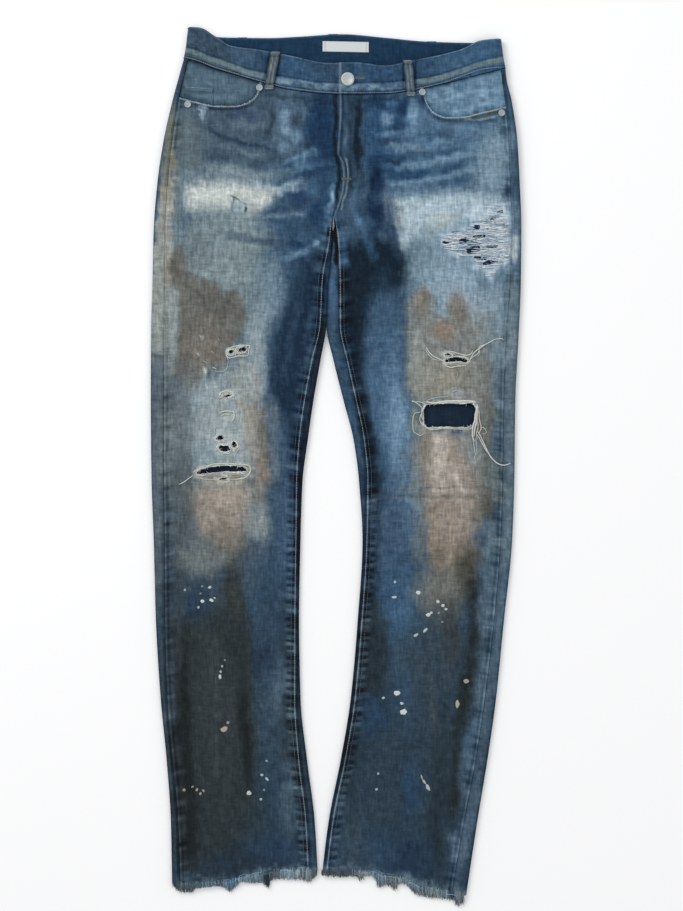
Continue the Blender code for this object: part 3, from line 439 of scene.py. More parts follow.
def normals_of(points):
    """Unit normals of a grid of points; rows run down the garment and columns across it."""
    normal = np.cross(np.gradient(points, axis=0), np.gradient(points, axis=1))
    return normal / np.linalg.norm(normal, axis=-1, keepdims=True)


def back_path(side, v, start_of, end_of, up, turn, across):
    """Grid of mid-cloth points of a back piece, from the side seam on top, round the outer edge, along the
    floor, and then to the centre back seam or round the inner edge to the inseam on top."""
    on_floor = CLOTH / 2
    sign = 1 if side == "right" else -1
    columns = 2 * up + 2 * turn + across + 1
    index = np.arange(columns)
    up_out = index <= up
    turn_out = (index > up) & (index <= up + turn)
    turn_in = (index > up + turn + across) & (index < columns - up)
    down = v * LENGTH + np.zeros((1, columns))
    for _ in range(4):
        outer, inner, leg = silhouette(side, down)
        outseam = column(OUTER_ROWS, side + "_seam", down)
        inseam = column(INNER_ROWS, side + "_seam", down)
        reach_out = np.abs(outseam - outer) - SEAM_GAP / 2
        reach_in = np.abs(inseam - inner) - SEAM_GAP / 2
        half_out = (top_height(side, outer + sign * EDGE_RADIUS, down) - on_floor) / 2
        half_in = (top_height(side, inner - sign * EDGE_RADIUS, down) - on_floor) / 2
        t_up = np.clip(1 - index / up, 0, 1) ** 2
        x_up = outer + sign * reach_out * t_up
        angle = np.clip((index - up) / turn, 0, 1) * math.pi / 2
        x_turn = outer + sign * EDGE_RADIUS * (1 - np.cos(angle))
        z_turn = on_floor + half_out * (1 - np.sin(angle))
        floor_start = outer + sign * EDGE_RADIUS
        t_floor = np.clip((index - up - turn) / across, 0, 1)
        seam_share = np.clip((index - up - turn - across) / (turn + up), 0, 1)
        opening = CENTRE_BACK_GAP * ease(*CENTRE_BACK_GAP_ROWS, down)
        body_end = CENTRE_BACK_X - sign * (SEAM_GAP + opening) / 2
        body_mid = body_end - sign * CENTRE_BACK_STRIP
        x_body = np.where(seam_share > 0, body_mid + (body_end - body_mid) * seam_share,
                          floor_start + (body_mid - floor_start) * t_floor)
        x_leg = floor_start + (inner - sign * EDGE_RADIUS - floor_start) * t_floor
        z_leg = np.full_like(x_leg, on_floor)
        back_angle = np.clip((index - up - turn - across) / turn, 0, 1) * math.pi / 2
        x_leg = np.where(turn_in, inner - sign * EDGE_RADIUS * (1 - np.sin(back_angle)), x_leg)
        z_leg = np.where(turn_in, on_floor + half_in * (1 - np.cos(back_angle)), z_leg)
        t_rise = np.clip((index - (columns - 1 - up)) / up, 0, 1) ** 2
        rising = index >= columns - up
        x_rise = inner - sign * reach_in * t_rise
        x_leg = np.where(rising, x_rise, x_leg)
        z_leg = np.where(rising, top_height(side, x_rise, down) + pucker_height(side, x_rise, down), z_leg)
        x = np.where(up_out, x_up, np.where(turn_out, x_turn, x_body * (1 - leg) + x_leg * leg))
        z_low = on_floor * (1 - leg) + z_leg * leg
        z_top = top_height(side, x_up, down) + pucker_height(side, x_up, down)
        z = np.where(up_out, z_top, np.where(turn_out, z_turn, z_low))
        past_edge = np.clip((index - up) / turn, 0, 1)
        past_floor = np.clip((index - up - turn - across) / turn, 0, 1)
        z = z + floor_lift(down) * past_edge * (1 - leg * past_floor)
        start, end = start_of(x[:1], up_out), end_of(x[-1:])
        down = start + v * (end - start)
    points = grid_points(x, down, z)
    return points[:, ::-1] if side == "right" else points


def srgb_to_light(colour):
    """Linear light of a colour given as 0 to 255."""
    c = np.clip(np.asarray(colour, float) / 255.0, 0.0, 1.0)
    return np.where(c <= 0.04045, c / 12.92, ((c + 0.055) / 1.055) ** 2.4)


def make_piece(name, vertices, faces, dye, grease=None):
    """A smooth mesh piece with its dye, and where needed its greasiness, kept at each point."""
    mesh = bpy.data.meshes.new(name)
    vertices = np.asarray(vertices, float) * MM
    mesh.from_pydata(vertices.tolist(), [], [tuple(f) for f in faces])
    mesh.validate()
    mesh.update()
    piece = bpy.data.objects.new(name, mesh)
    bpy.context.scene.collection.objects.link(piece)
    colours = np.ones((len(vertices), 4))
    colours[:, :3] = srgb_to_light(dye)
    mesh.attributes.new("dye", "FLOAT_COLOR", "POINT").data.foreach_set("color", colours.ravel())
    if grease is not None:
        mesh.attributes.new("grease", "FLOAT", "POINT").data.foreach_set("value", np.asarray(grease, float).ravel())
    mesh.shade_smooth()
    return piece


def grid_quads(rows, columns):
    """Quads of a grid of points, as rows of four point numbers, facing the same way as normals_of."""
    at = np.arange(rows * columns).reshape(rows, columns)
    return np.stack([at[:-1, :-1], at[1:, :-1], at[1:, 1:], at[:-1, 1:]], -1).reshape(-1, 4)


def open_edges(quads):
    """Edges that only one quad uses, in that quad's direction."""
    edges = np.concatenate([quads[:, [0, 1]], quads[:, [1, 2]], quads[:, [2, 3]], quads[:, [3, 0]]])
    edges = edges[edges[:, 0] != edges[:, 1]]
    size = int(quads.max()) + 1
    forward = edges[:, 0].astype(np.int64) * size + edges[:, 1]
    backward = edges[:, 1].astype(np.int64) * size + edges[:, 0]
    return edges[~np.isin(forward, backward)]


def closed_cloth(name, points, thickness, outer_dye, inner_dye):
    """A closed wall of cloth with this grid at its middle, dyed on its outer and inner faces."""
    rows, columns = points.shape[:2]
    half = normals_of(points) * thickness / 2
    outer, inner = (points + half).reshape(-1, 3), (points - half).reshape(-1, 3)
    quads = grid_quads(rows, columns)
    under = rows * columns
    edges = open_edges(quads)
    rim = np.stack([edges[:, 1], edges[:, 0], edges[:, 0] + under, edges[:, 1] + under], -1)
    faces = np.concatenate([quads, quads[:, ::-1] + under, rim])
    return make_piece(name, np.concatenate([outer, inner]), faces, np.concatenate([outer_dye, inner_dye]))


def add_node(tree, kind, settings=None, **inputs):
    """A shader node with its settings, and its inputs set or wired by name."""
    node = tree.nodes.new(kind)
    for key, value in (settings or {}).items():
        setattr(node, key, value)
    for key, value in inputs.items():
        socket = node.inputs[int(key[1:])] if key[0] == "i" and key[1:].isdigit() else node.inputs[key]
        if isinstance(value, bpy.types.NodeSocket):
            tree.links.new(value, socket)
        else:
            socket.default_value = value
    return node


def weave_group():
    """Denim weave: uneven warp streaks, weft slubs, mottled dye and fine twill lines."""
    group = bpy.data.node_groups.new("denim weave", "ShaderNodeTree")
    for name, kind in (("Dye", "NodeSocketColor"), ("Grease", "NodeSocketFloat"), ("Warp streaks", "NodeSocketFloat"),
                       ("Weft slubs", "NodeSocketFloat"), ("Mottle", "NodeSocketFloat"), ("Twill", "NodeSocketFloat")):
        group.interface.new_socket(name, in_out="INPUT", socket_type=kind)
    for name, kind in (("Colour", "NodeSocketColor"), ("Roughness", "NodeSocketFloat"), ("Height", "NodeSocketFloat")):
        group.interface.new_socket(name, in_out="OUTPUT", socket_type=kind)
    given = group.nodes.new("NodeGroupInput")
    result = group.nodes.new("NodeGroupOutput")
    place = group.nodes.new("ShaderNodeTexCoord").outputs["Object"]

    def threads(stretch, detail):
        stretched = add_node(group, "ShaderNodeVectorMath", {"operation": "MULTIPLY"}, i0=place, i1=stretch)
        noise = add_node(group, "ShaderNodeTexNoise", None, Vector=stretched.outputs[0], Scale=1.0, Detail=detail,
                         Roughness=0.6)
        return add_node(group, "ShaderNodeMath", {"operation": "MULTIPLY_ADD"}, i0=noise.outputs["Fac"], i1=2.0,
                        i2=-1.0).outputs[0]

    def times(a, b):
        return add_node(group, "ShaderNodeMath", {"operation": "MULTIPLY"}, i0=a, i1=b).outputs[0]

    def plus(a, b):
        return add_node(group, "ShaderNodeMath", {"operation": "ADD"}, i0=a, i1=b).outputs[0]

    warp = threads((400.0, 60.0, 200.0), 4.0)
    weft = threads((70.0, 420.0, 200.0), 4.0)
    mottle = threads((150.0, 150.0, 150.0), 4.0)
    phase = add_node(group, "ShaderNodeVectorMath", {"operation": "DOT_PRODUCT"}, i0=place, i1=(-4080.0, 2350.0, 0.0))
    twill = add_node(group, "ShaderNodeMath", {"operation": "SINE"}, i0=phase.outputs["Value"]).outputs[0]
    shade = plus(times(warp, given.outputs["Warp streaks"]), times(weft, given.outputs["Weft slubs"]))
    shade = plus(shade, times(mottle, given.outputs["Mottle"]))
    shade = plus(shade, times(twill, given.outputs["Twill"]))
    shade = add_node(group, "ShaderNodeMath", {"operation": "MAXIMUM"}, i0=plus(shade, 1.0), i1=0.25).outputs[0]
    colour = add_node(group, "ShaderNodeVectorMath", {"operation": "SCALE"}, i0=given.outputs["Dye"], Scale=shade)
    group.links.new(colour.outputs[0], result.inputs["Colour"])
    dry = plus(times(weft, 0.05), 0.88)
    rough = add_node(group, "ShaderNodeMath", {"operation": "SUBTRACT"}, i0=dry, i1=times(given.outputs["Grease"], 0.36))
    group.links.new(rough.outputs[0], result.inputs["Roughness"])
    height = plus(plus(times(warp, 0.5), times(weft, 0.4)), times(twill, 0.28))
    group.links.new(height, result.inputs["Height"])
    return group


denim_weave = weave_group()


def denim_material(name, warp, weft, mottle, twill, bump):
    """Dyed twill whose colour comes from the piece's own dye."""
    material = bpy.data.materials.new(name)
    material.use_nodes = True
    tree = material.node_tree
    shader = tree.nodes["Principled BSDF"]
    dye = add_node(tree, "ShaderNodeAttribute", {"attribute_name": "dye"})
    grease = add_node(tree, "ShaderNodeAttribute", {"attribute_name": "grease"})
    weave = add_node(tree, "ShaderNodeGroup", {"node_tree": denim_weave})
    tree.links.new(dye.outputs["Color"], weave.inputs["Dye"])
    tree.links.new(grease.outputs["Fac"], weave.inputs["Grease"])
    for key, value in (("Warp streaks", warp), ("Weft slubs", weft), ("Mottle", mottle), ("Twill", twill)):
        weave.inputs[key].default_value = value
    lift = add_node(tree, "ShaderNodeBump", None, Strength=bump, Distance=0.0005, Height=weave.outputs["Height"])
    tree.links.new(weave.outputs["Colour"], shader.inputs["Base Color"])
    tree.links.new(weave.outputs["Roughness"], shader.inputs["Roughness"])
    tree.links.new(lift.outputs["Normal"], shader.inputs["Normal"])
    shader.inputs["Specular IOR Level"].default_value = 0.14
    shader.inputs["Sheen Weight"].default_value = 0.04
    shader.inputs["Sheen Roughness"].default_value = 0.6
    return material


# Colours are 0 to 255 as the eye sees them. Clouds are soft ovals of fading, streaks follow a line, and stains
# have a drawn outline; each is laid over what is before it. A few streaks are painted shade and painted shadow,
# at the crotch, beside the fly and under the front pockets.
Cloud = namedtuple("Cloud", "x y half_wide half_long turn soft colour strength")
Streak = namedtuple("Streak", "points half_width soft colour strength")
Stain = namedtuple("Stain", "outline soft tide colour strength")
INDIGO = (58, 82, 104)
FADING_AND_SHADE = {}
FADING_AND_SHADE["right hip"] = [
    Cloud(222, 120, 62, 62, 0, 0.5, (72, 92, 107), 0.95),
    Cloud(290, 124, 16, 30, 0, 0.5, (82, 107, 129), 0.8),
    Cloud(298, 200, 34, 30, 0, 0.6, (56, 84, 110), 0.9),
    Cloud(322, 130, 15, 46, 3, 0.45, (28, 57, 87), 0.95),
    Cloud(312, 160, 12, 22, 0, 0.6, (42, 68, 94), 0.7),
    Cloud(328, 196, 8, 34, 0, 0.5, (44, 74, 104), 0.7),
    Cloud(186, 150, 18, 36, 0, 0.6, (108, 120, 122), 0.6),
    Cloud(172, 166, 4, 14, 0, 0.6, (148, 138, 120), 0.5),
    Cloud(250, 125, 14, 6, 0, 0.7, (98, 116, 130), 0.65),
    Cloud(245, 115, 16, 5, 0, 0.7, (54, 74, 102), 0.6),
    Streak([(206, 128), (216, 134), (230, 139.7), (257, 146), (276, 151)], 1.2, 2.4, (40, 60, 80), 0.85),
    Streak([(210, 142), (236, 149), (266, 158)], 1.4, 4, (102, 120, 132), 0.55),
    Streak([(206, 154), (232, 161), (262, 166)], 1.2, 4, (58, 78, 94), 0.6),
    Streak([(206, 164), (236, 170), (262, 176)], 1.6, 5, (108, 126, 134), 0.5),
    Streak([(271, 108), (273, 118), (270, 128), (268, 138)], 1.8, 4, (40, 52, 62), 0.7),
    Cloud(284.5, 116, 4.2, 6.5, 0, 0.5, (124, 149, 168), 0.75),
    Cloud(286, 129.5, 6.0, 6.4, 0, 0.6, (122, 147, 168), 0.8),
    Cloud(296.5, 137, 5.6, 5, -30, 0.6, (108, 137, 160), 0.85),
    Cloud(284, 147, 6, 4, -20, 0.6, (106, 133, 154), 0.75),
    Cloud(298, 121, 5, 5.5, 0, 0.6, (52, 66, 84), 0.8),
    Cloud(305, 113, 3, 6, 0, 0.6, (84, 109, 134), 0.6),
    Streak([(287, 165), (300, 158.5), (313, 152.6)], 3.2, 4, (112, 145, 170), 0.9),
    Streak([(262, 169.5), (287, 166.5), (305, 159.8), (318, 155)], 1.5, 3.4, (44, 72, 100), 0.85),
    Streak([(294, 173), (306, 169), (320, 163)], 2.2, 3.5, (78, 111, 142), 0.75),
    Streak([(276, 185.6), (297, 177.4), (312, 173.4), (328, 170.4)], 1.5, 3.4, (40, 68, 98), 0.85),
    Streak([(272, 192.4), (289, 184.8), (302, 180)], 1.8, 3.6, (138, 162, 180), 0.85),
    Cloud(298, 196, 10, 9, 0, 0.6, (38, 62, 92), 0.85),
    Cloud(314, 186, 8, 8, 0, 0.6, (72, 104, 134), 0.5),
    Streak([(266, 211.4), (286, 208.6), (305, 208)], 1.7, 3, (54, 74, 98), 0.8),
    Streak([(260, 218), (280, 216), (305, 213)], 1.6, 3, (114, 137, 154), 0.75),
    Streak([(262, 226), (286, 226), (304, 222)], 1.6, 4, (60, 90, 120), 0.5),
    Cloud(318, 216, 7, 13, 0, 0.6, (28, 56, 88), 0.85),
    Streak([(333, 188), (332.4, 198), (329.6, 209)], 2.4, 3, (130, 164, 189), 0.85),
    Streak([(329, 213), (329.6, 224), (325, 238)], 1.8, 4, (98, 136, 166), 0.8),
    Streak([(224, 92), (226, 120), (222, 150)], 2.0, 6, (62, 82, 98), 0.35),
]
FADING_AND_SHADE["left hip"] = [
    Cloud(430, 128, 66, 58, 0, 0.5, (78, 109, 136), 0.95),
    Cloud(384, 130, 22, 42, 0, 0.6, (44, 77, 109), 0.9),
    Cloud(402, 102, 44, 7, -4, 0.6, (34, 62, 90), 0.8),
    Cloud(352, 135, 12, 50, 0, 0.35, (48, 71, 92), 0.96),
    Cloud(359.4, 134, 4, 36, 0, 0.5, (18, 34, 46), 0.85),
    Cloud(375, 194, 8, 34, 0, 0.5, (20, 46, 72), 0.95),
    Cloud(391, 103, 7, 6, 0, 0.6, (72, 107, 142), 0.7),
    Cloud(404, 111, 5.5, 8, 0, 0.6, (24, 51, 80), 0.85),
    Cloud(387, 119.5, 6.5, 6.5, 0, 0.6, (108, 135, 158), 0.85),
    Cloud(413.4, 113, 6, 12, -8, 0.6, (112, 141, 166), 0.85),
    Cloud(398, 127, 6.5, 4.4, 0, 0.6, (36, 62, 88), 0.9),
    Cloud(388, 134.6, 9, 4, 0, 0.6, (104, 134, 158), 0.8),
    Cloud(411, 132, 7, 4.4, 0, 0.6, (102, 132, 158), 0.7),
    Streak([(378, 142), (392, 142), (406, 141)], 2.6, 3, (46, 68, 92), 0.85),
    Streak([(424, 138), (439, 135), (452, 131)], 2.8, 4, (54, 82, 108), 0.75),
    Cloud(406, 149.6, 19, 3.5, -3, 0.5, (108, 133, 153), 0.9),
    Cloud(440, 145, 15, 4, -5, 0.7, (104, 134, 158), 0.7),
    Streak([(370, 158.4), (395, 159), (412, 156.5)], 3.4, 3, (26, 55, 84), 0.92),
    Streak([(412, 157), (436, 153.6), (460, 150.4)], 1.5, 3.2, (50, 78, 106), 0.8),
    Cloud(395, 161.5, 10, 3, 0, 0.6, (20, 44, 70), 0.75),
    Streak([(400, 168.6), (410, 167.2), (427, 163.2), (451, 157.9), (473, 154)], 1.6, 3.6, (110, 141, 165), 0.85),
    Streak([(386, 174), (410, 176.2), (430, 173)], 3.6, 3, (38, 70, 101), 0.9),
    Cloud(447, 170, 7, 5, -10, 0.6, (40, 68, 96), 0.85),
    Streak([(446, 170), (456, 166), (469, 161.6)], 2.8, 4, (52, 82, 110), 0.8),
    Streak([(386, 185), (412, 183.3), (432, 179.7), (456, 173.6), (471, 168)], 1.8, 4, (108, 138, 162), 0.85),
    Streak([(430, 188.8), (451, 185.5), (466, 181), (476, 178)], 2.4, 3.5, (54, 82, 110), 0.82),
    Streak([(386, 194), (406, 192), (424, 189)], 2.0, 4, (66, 94, 120), 0.6),
    Cloud(493, 162, 20, 36, 0, 0.6, (122, 146, 162), 0.88),
    Cloud(470, 126, 15, 8, 0, 0.7, (98, 129, 152), 0.6),
    Cloud(503.4, 132.4, 4, 6, 0, 0.6, (66, 92, 110), 0.6),
    Streak([(345.8, 123), (346, 138), (345.4, 150)], 1.4, 3, (92, 114, 132), 0.6),
    Streak([(353, 186), (352, 214)], 1.6, 4, (84, 114, 140), 0.5),
    Streak([(345.6, 160), (347.4, 172), (347.2, 184), (345.4, 195), (340.6, 208)], 0.7, 1.0, (146, 162, 168), 0.65),
    Streak([(349.4, 158), (351, 176), (350, 192)], 1.2, 2, (26, 42, 54), 0.7),
    # Painted shadow: a dark line on the right front beside the lapped edge of the fly.
    Streak([(335.4, 66), (335.4, 130), (334.4, 152), (338.4, 166), (339.2, 186), (334, 205)], 1.4, 2.2, (14, 30, 44), 0.85),
]
FADING_AND_SHADE["bleached bands"] = [
    Cloud(232, 176, 50, 9, 2, 0.8, (124, 142, 150), 0.8),
    Streak([(262, 188), (282, 191), (302, 186)], 2.4, 4, (136, 158, 174), 0.75),
    Stain([(184, 185), (200, 182.6), (224, 182), (244, 183), (262, 187), (280, 191), (272, 202), (262, 210),
           (251, 221), (243, 232), (235, 228), (228, 222), (222, 216.6), (204, 214.6), (188, 213), (183, 200)],
          8, 0, (184, 191, 188), 0.97),
    Cloud(222, 199, 30, 9, 0, 0.8, (192, 198, 192), 0.6),
    Cloud(170, 200, 9, 26, 0, 0.7, (156, 160, 152), 0.75),
    Cloud(166, 240, 6, 44, 0, 0.7, (160, 160, 150), 0.7),
    Cloud(239, 214, 6, 11, 8, 0.5, (152, 171, 184), 0.75),
    Streak([(234.6, 198), (232.6, 205), (230.2, 214), (229.6, 227)], 0.9, 1.3, (82, 102, 120), 0.85),
    Streak([(232.6, 196.6), (238, 198.4)], 0.7, 1.1, (66, 82, 88), 0.85),
    Streak([(239, 199.6), (246, 203.6)], 0.6, 1.1, (104, 122, 134), 0.7),
    Cloud(236, 211, 2, 3, 0, 0.5, (178, 194, 202), 0.8),
    Cloud(241, 219, 2.4, 3, 0, 0.5, (176, 194, 204), 0.8),
    Cloud(245.2, 208.8, 1.8, 3.0, 0, 0.4, (36, 46, 48), 0.97),
    Streak([(225, 234), (236, 236), (246, 233)], 1.4, 2.4, (88, 102, 112), 0.65),
    Cloud(248.4, 221, 3, 8, 0, 0.6, (170, 194, 208), 0.7),
    Cloud(431, 195, 46, 8, -3, 0.8, (114, 140, 158), 0.65),
    Stain([(393, 200), (410, 197), (430, 194), (456, 192), (482, 193), (499, 197), (503, 208), (490, 216),
           (476, 223), (462, 230), (446, 236), (432, 243), (418, 239), (409, 245), (403, 250), (399.6, 240),
           (398, 226)], 6, 0, (166, 186, 196), 0.95),
    Cloud(444, 221, 14, 7, -14, 0.7, (194, 198, 186), 0.75),
    Streak([(434, 222), (419, 228), (408, 236), (403, 246)], 3.4, 5, (182, 200, 208), 0.75),
    Cloud(430, 237, 5, 10, 0, 0.7, (176, 184, 176), 0.65),
    Cloud(399, 216, 6, 14, 0, 0.7, (122, 132, 138), 0.6),
    Cloud(388, 206, 6, 12, 0, 0.7, (92, 106, 126), 0.6),
    Cloud(494, 210, 18, 12, 0, 0.7, (166, 184, 196), 0.7),
    Cloud(480, 212, 13, 8, -20, 0.7, (180, 195, 204), 0.6),
    Streak([(167, 186), (165, 214), (162, 240), (160, 266)], 6, 3, (166, 164, 154), 0.85),
    Streak([(391, 222), (396, 240), (401, 257)], 1.8, 4, (42, 68, 94), 0.7),
]
FADING_AND_SHADE["right thigh"] = [
    Cloud(220, 250, 50, 44, 0, 0.4, (115, 132, 139), 0.97),
    Cloud(199, 250, 15, 18, 0, 0.7, (92, 106, 115), 0.6),
    Cloud(238, 234, 30, 14, 6, 0.8, (124, 141, 147), 0.6),
    Cloud(300, 242, 24, 24, 0, 0.6, (54, 82, 106), 0.9),
    Cloud(272, 272, 12, 24, 16, 0.7, (100, 122, 138), 0.75),
    Cloud(271, 304, 13, 30, 8, 0.6, (107, 130, 148), 0.9),
    Stain([(298, 262), (316, 256), (327, 272), (325, 300), (320, 322), (312, 345), (304, 372), (299, 402),
           (297, 440), (286, 446), (283, 420), (274, 404), (271, 372), (275, 338), (284, 313), (293, 290)],
          9, 0, (30, 51, 72), 0.93),
    Streak([(224, 235), (240, 238.4), (262, 242), (302, 247)], 2.6, 4, (64, 82, 102), 0.72),
    Cloud(295, 246, 9, 4.4, 4, 0.6, (22, 52, 86), 0.85),
    Cloud(316.6, 243, 4.4, 3.6, 0, 0.6, (116, 150, 174), 0.8),
    Streak([(281, 261.6), (297, 253), (311, 249)], 1.6, 4, (104, 135, 160), 0.7),
    Streak([(262, 256), (296, 246)], 1.5, 5, (66, 92, 116), 0.5),
    Streak([(300, 300), (290, 340), (284, 380)], 2.0, 5, (58, 82, 106), 0.5),
    Streak([(318, 262), (316, 300), (306, 340)], 1.4, 4, (60, 84, 106), 0.6),
    Cloud(163, 300, 13, 76, 0, 0.5, (128, 138, 138), 0.9),
    Cloud(167, 148, 6, 56, 2, 0.6, (128, 126, 112), 0.65),
    Cloud(167, 400, 12, 60, 0, 0.6, (106, 118, 122), 0.75),
    Cloud(176, 470, 18, 90, 0, 0.6, (88, 100, 106), 0.8),
    Cloud(168, 318, 12, 46, 0, 0.6, (138, 145, 142), 0.6),
    Streak([(158, 270), (155, 320), (154, 364)], 7, 6, (144, 150, 145), 0.75),
    Streak([(154, 362), (154, 450), (157, 540), (160, 610)], 8, 6, (90, 104, 112), 0.85),
    Cloud(167, 450, 9, 42, 0, 0.6, (110, 121, 124), 0.85),
    Cloud(300, 280, 8, 12, 0, 0.7, (54, 80, 104), 0.4),
    Streak([(323, 318), (314, 384), (307, 432), (302, 470), (300, 520), (298, 580)], 3.4, 3, (26, 38, 50), 0.8),
]
FADING_AND_SHADE["left thigh"] = [
    Cloud(424, 262, 24, 32, 0, 0.6, (112, 134, 147), 0.9),
    Cloud(452, 280, 34, 22, 0, 0.6, (136, 160, 176), 0.85),
    Cloud(500, 290, 14, 40, 0, 0.7, (112, 136, 152), 0.8),
    Cloud(500, 380, 16, 70, 0, 0.6, (100, 120, 132), 0.85),
    Stain([(345, 250), (366, 236), (390, 243), (406, 260), (404, 282), (388, 296), (376, 312), (366, 336),
           (366, 372), (374, 410), (366, 430), (356, 400), (350, 360), (342, 326), (338, 290), (338, 264)],
          9, 0, (21, 39, 53), 0.96),
    Cloud(350, 296, 8, 22, 0, 0.6, (22, 38, 50), 0.8),
    Cloud(384, 340, 17, 54, 0, 0.55, (66, 94, 120), 0.95),
    Cloud(388, 410, 22, 62, -3, 0.55, (72, 102, 130), 0.95),
    Cloud(398, 428, 10, 50, -2, 0.7, (106, 136, 162), 0.8),
    Cloud(392, 372, 6, 30, 0, 0.8, (92, 120, 146), 0.5),
    Streak([(357, 214), (364, 235), (373, 256)], 3.2, 5, (58, 92, 124), 0.75),
    Cloud(358.4, 221, 4, 7, -16, 0.6, (84, 119, 150), 0.75),
    Streak([(376, 222), (392, 236)], 1.4, 4, (40, 66, 92), 0.5),
    Streak([(340, 232), (343, 252), (345, 268)], 2.8, 4, (66, 100, 133), 0.8),
    Streak([(356, 384), (368, 430), (376, 480), (377, 530), (372, 585), (366, 640)], 4.5, 7, (32, 46, 58), 0.85),
    Cloud(334, 296, 6, 26, 0, 0.5, (72, 104, 134), 0.95),
    Cloud(350, 420, 5, 60, 0, 0.6, (58, 86, 112), 0.8),
    Streak([(359, 470), (363, 500), (364, 560)], 3, 3, (44, 64, 86), 0.7),
    Streak([(518, 285), (516, 340), (514, 420), (512, 500), (508, 570)], 9, 6, (96, 114, 125), 0.85),
    Cloud(370, 225, 5, 8, 0, 0.6, (60, 92, 122), 0.4),
    Cloud(420, 260, 10, 10, 0, 0.7, (96, 118, 132), 0.4),
    Cloud(455, 280, 14, 10, 0, 0.7, (152, 176, 192), 0.4),
    Cloud(400, 418, 8, 24, 0, 0.7, (124, 154, 180), 0.4),
    Cloud(385, 464, 8, 16, 0, 0.7, (58, 88, 116), 0.4),
    Cloud(370, 520, 7, 20, 0, 0.7, (62, 80, 96), 0.75),
]
FADING_AND_SHADE["mud"] = [
    Cloud(222, 300, 42, 60, 0, 0.6, (126, 140, 142), 0.7),
    Cloud(176, 305, 8, 56, 0, 0.6, (142, 150, 148), 0.75),
    Cloud(256, 330, 12, 30, 0, 0.6, (134, 151, 160), 0.7),
    Stain([(170, 255), (181, 246), (186, 258), (188.6, 270), (200, 282), (204.7, 278), (214.7, 282), (224.6, 297),
           (229.6, 292), (237, 291), (243, 301), (246, 317), (242, 333), (234.6, 342), (227, 360.5), (219.6, 367),
           (209.7, 364), (203.5, 379), (199.7, 394), (182, 395), (175, 367), (178.6, 329), (180, 292), (171, 285),
           (168.7, 270)], 4, 9, (103, 103, 98), 0.93),
    Cloud(208, 345, 20, 26, 12, 0.7, (120, 114, 106), 0.7),
    Cloud(216, 306, 22, 14, 30, 0.7, (96, 97, 94), 0.6),
    Streak([(169, 256), (168, 284)], 1.4, 3, (150, 134, 114), 0.6),
    Stain([(255.7, 314), (262, 330), (268, 360), (266, 392), (252, 402), (246, 380), (246, 340)], 5, 0,
          (136, 151, 158), 0.85),
    Streak([(240, 352), (242, 392)], 2.5, 5, (150, 145, 136), 0.5),
    Streak([(254, 368), (257, 404)], 2.0, 5, (150, 142, 130), 0.55),
    Cloud(462, 310, 44, 24, 0, 0.5, (142, 162, 175), 0.85),
    Cloud(452, 332, 42, 18, 0, 0.6, (128, 136, 136), 0.8),
    Stain([(408, 301), (411, 293), (416, 292), (422, 291), (426.4, 288), (432, 298), (434.5, 311), (438, 319),
           (444.5, 320.6), (449, 314), (447, 303), (451, 297), (459.4, 297), (465.6, 304.5), (469, 317), (478, 322),
           (486, 345), (486, 400), (470, 404), (420, 404), (407, 384), (406, 330)], 5, 8, (124, 128, 126), 0.93),
    Cloud(444, 332, 12, 9, 0, 0.8, (136, 124, 110), 0.55),
    Cloud(421, 303, 7, 15, 0, 0.7, (118, 108, 97), 0.6),
    Cloud(458, 308, 9, 15, 0, 0.7, (122, 112, 102), 0.6),
    Cloud(443, 330, 9, 9, 0, 0.7, (134, 117, 102), 0.55),
    Cloud(480, 324, 10, 14, 0, 0.7, (140, 156, 164), 0.55),
    Cloud(490, 340, 9, 22, 0, 0.7, (118, 140, 156), 0.75),
    Cloud(420, 366, 9, 30, 0, 0.7, (150, 158, 154), 0.5),
    Cloud(446, 378, 6, 8, 0, 0.7, (148, 124, 104), 0.55),
    Cloud(466, 381, 8, 6, -10, 0.7, (156, 138, 120), 0.45),
    Cloud(456, 372, 5, 5, 0, 0.7, (112, 104, 96), 0.5),
    Cloud(457, 394, 11, 4.6, 0, 0.6, (166, 178, 184), 0.7),
    Cloud(418, 421, 6, 15, 0, 0.6, (118, 121, 116), 0.85),
    Cloud(468, 442, 8, 15, 0, 0.6, (142, 152, 154), 0.8),
    Cloud(432, 380, 22, 20, 0, 0.7, (138, 138, 128), 0.8),
    Cloud(462, 378, 18, 16, 0, 0.7, (150, 146, 134), 0.5),
    Streak([(478, 330), (480, 380)], 4, 8, (118, 132, 138), 0.5),
]
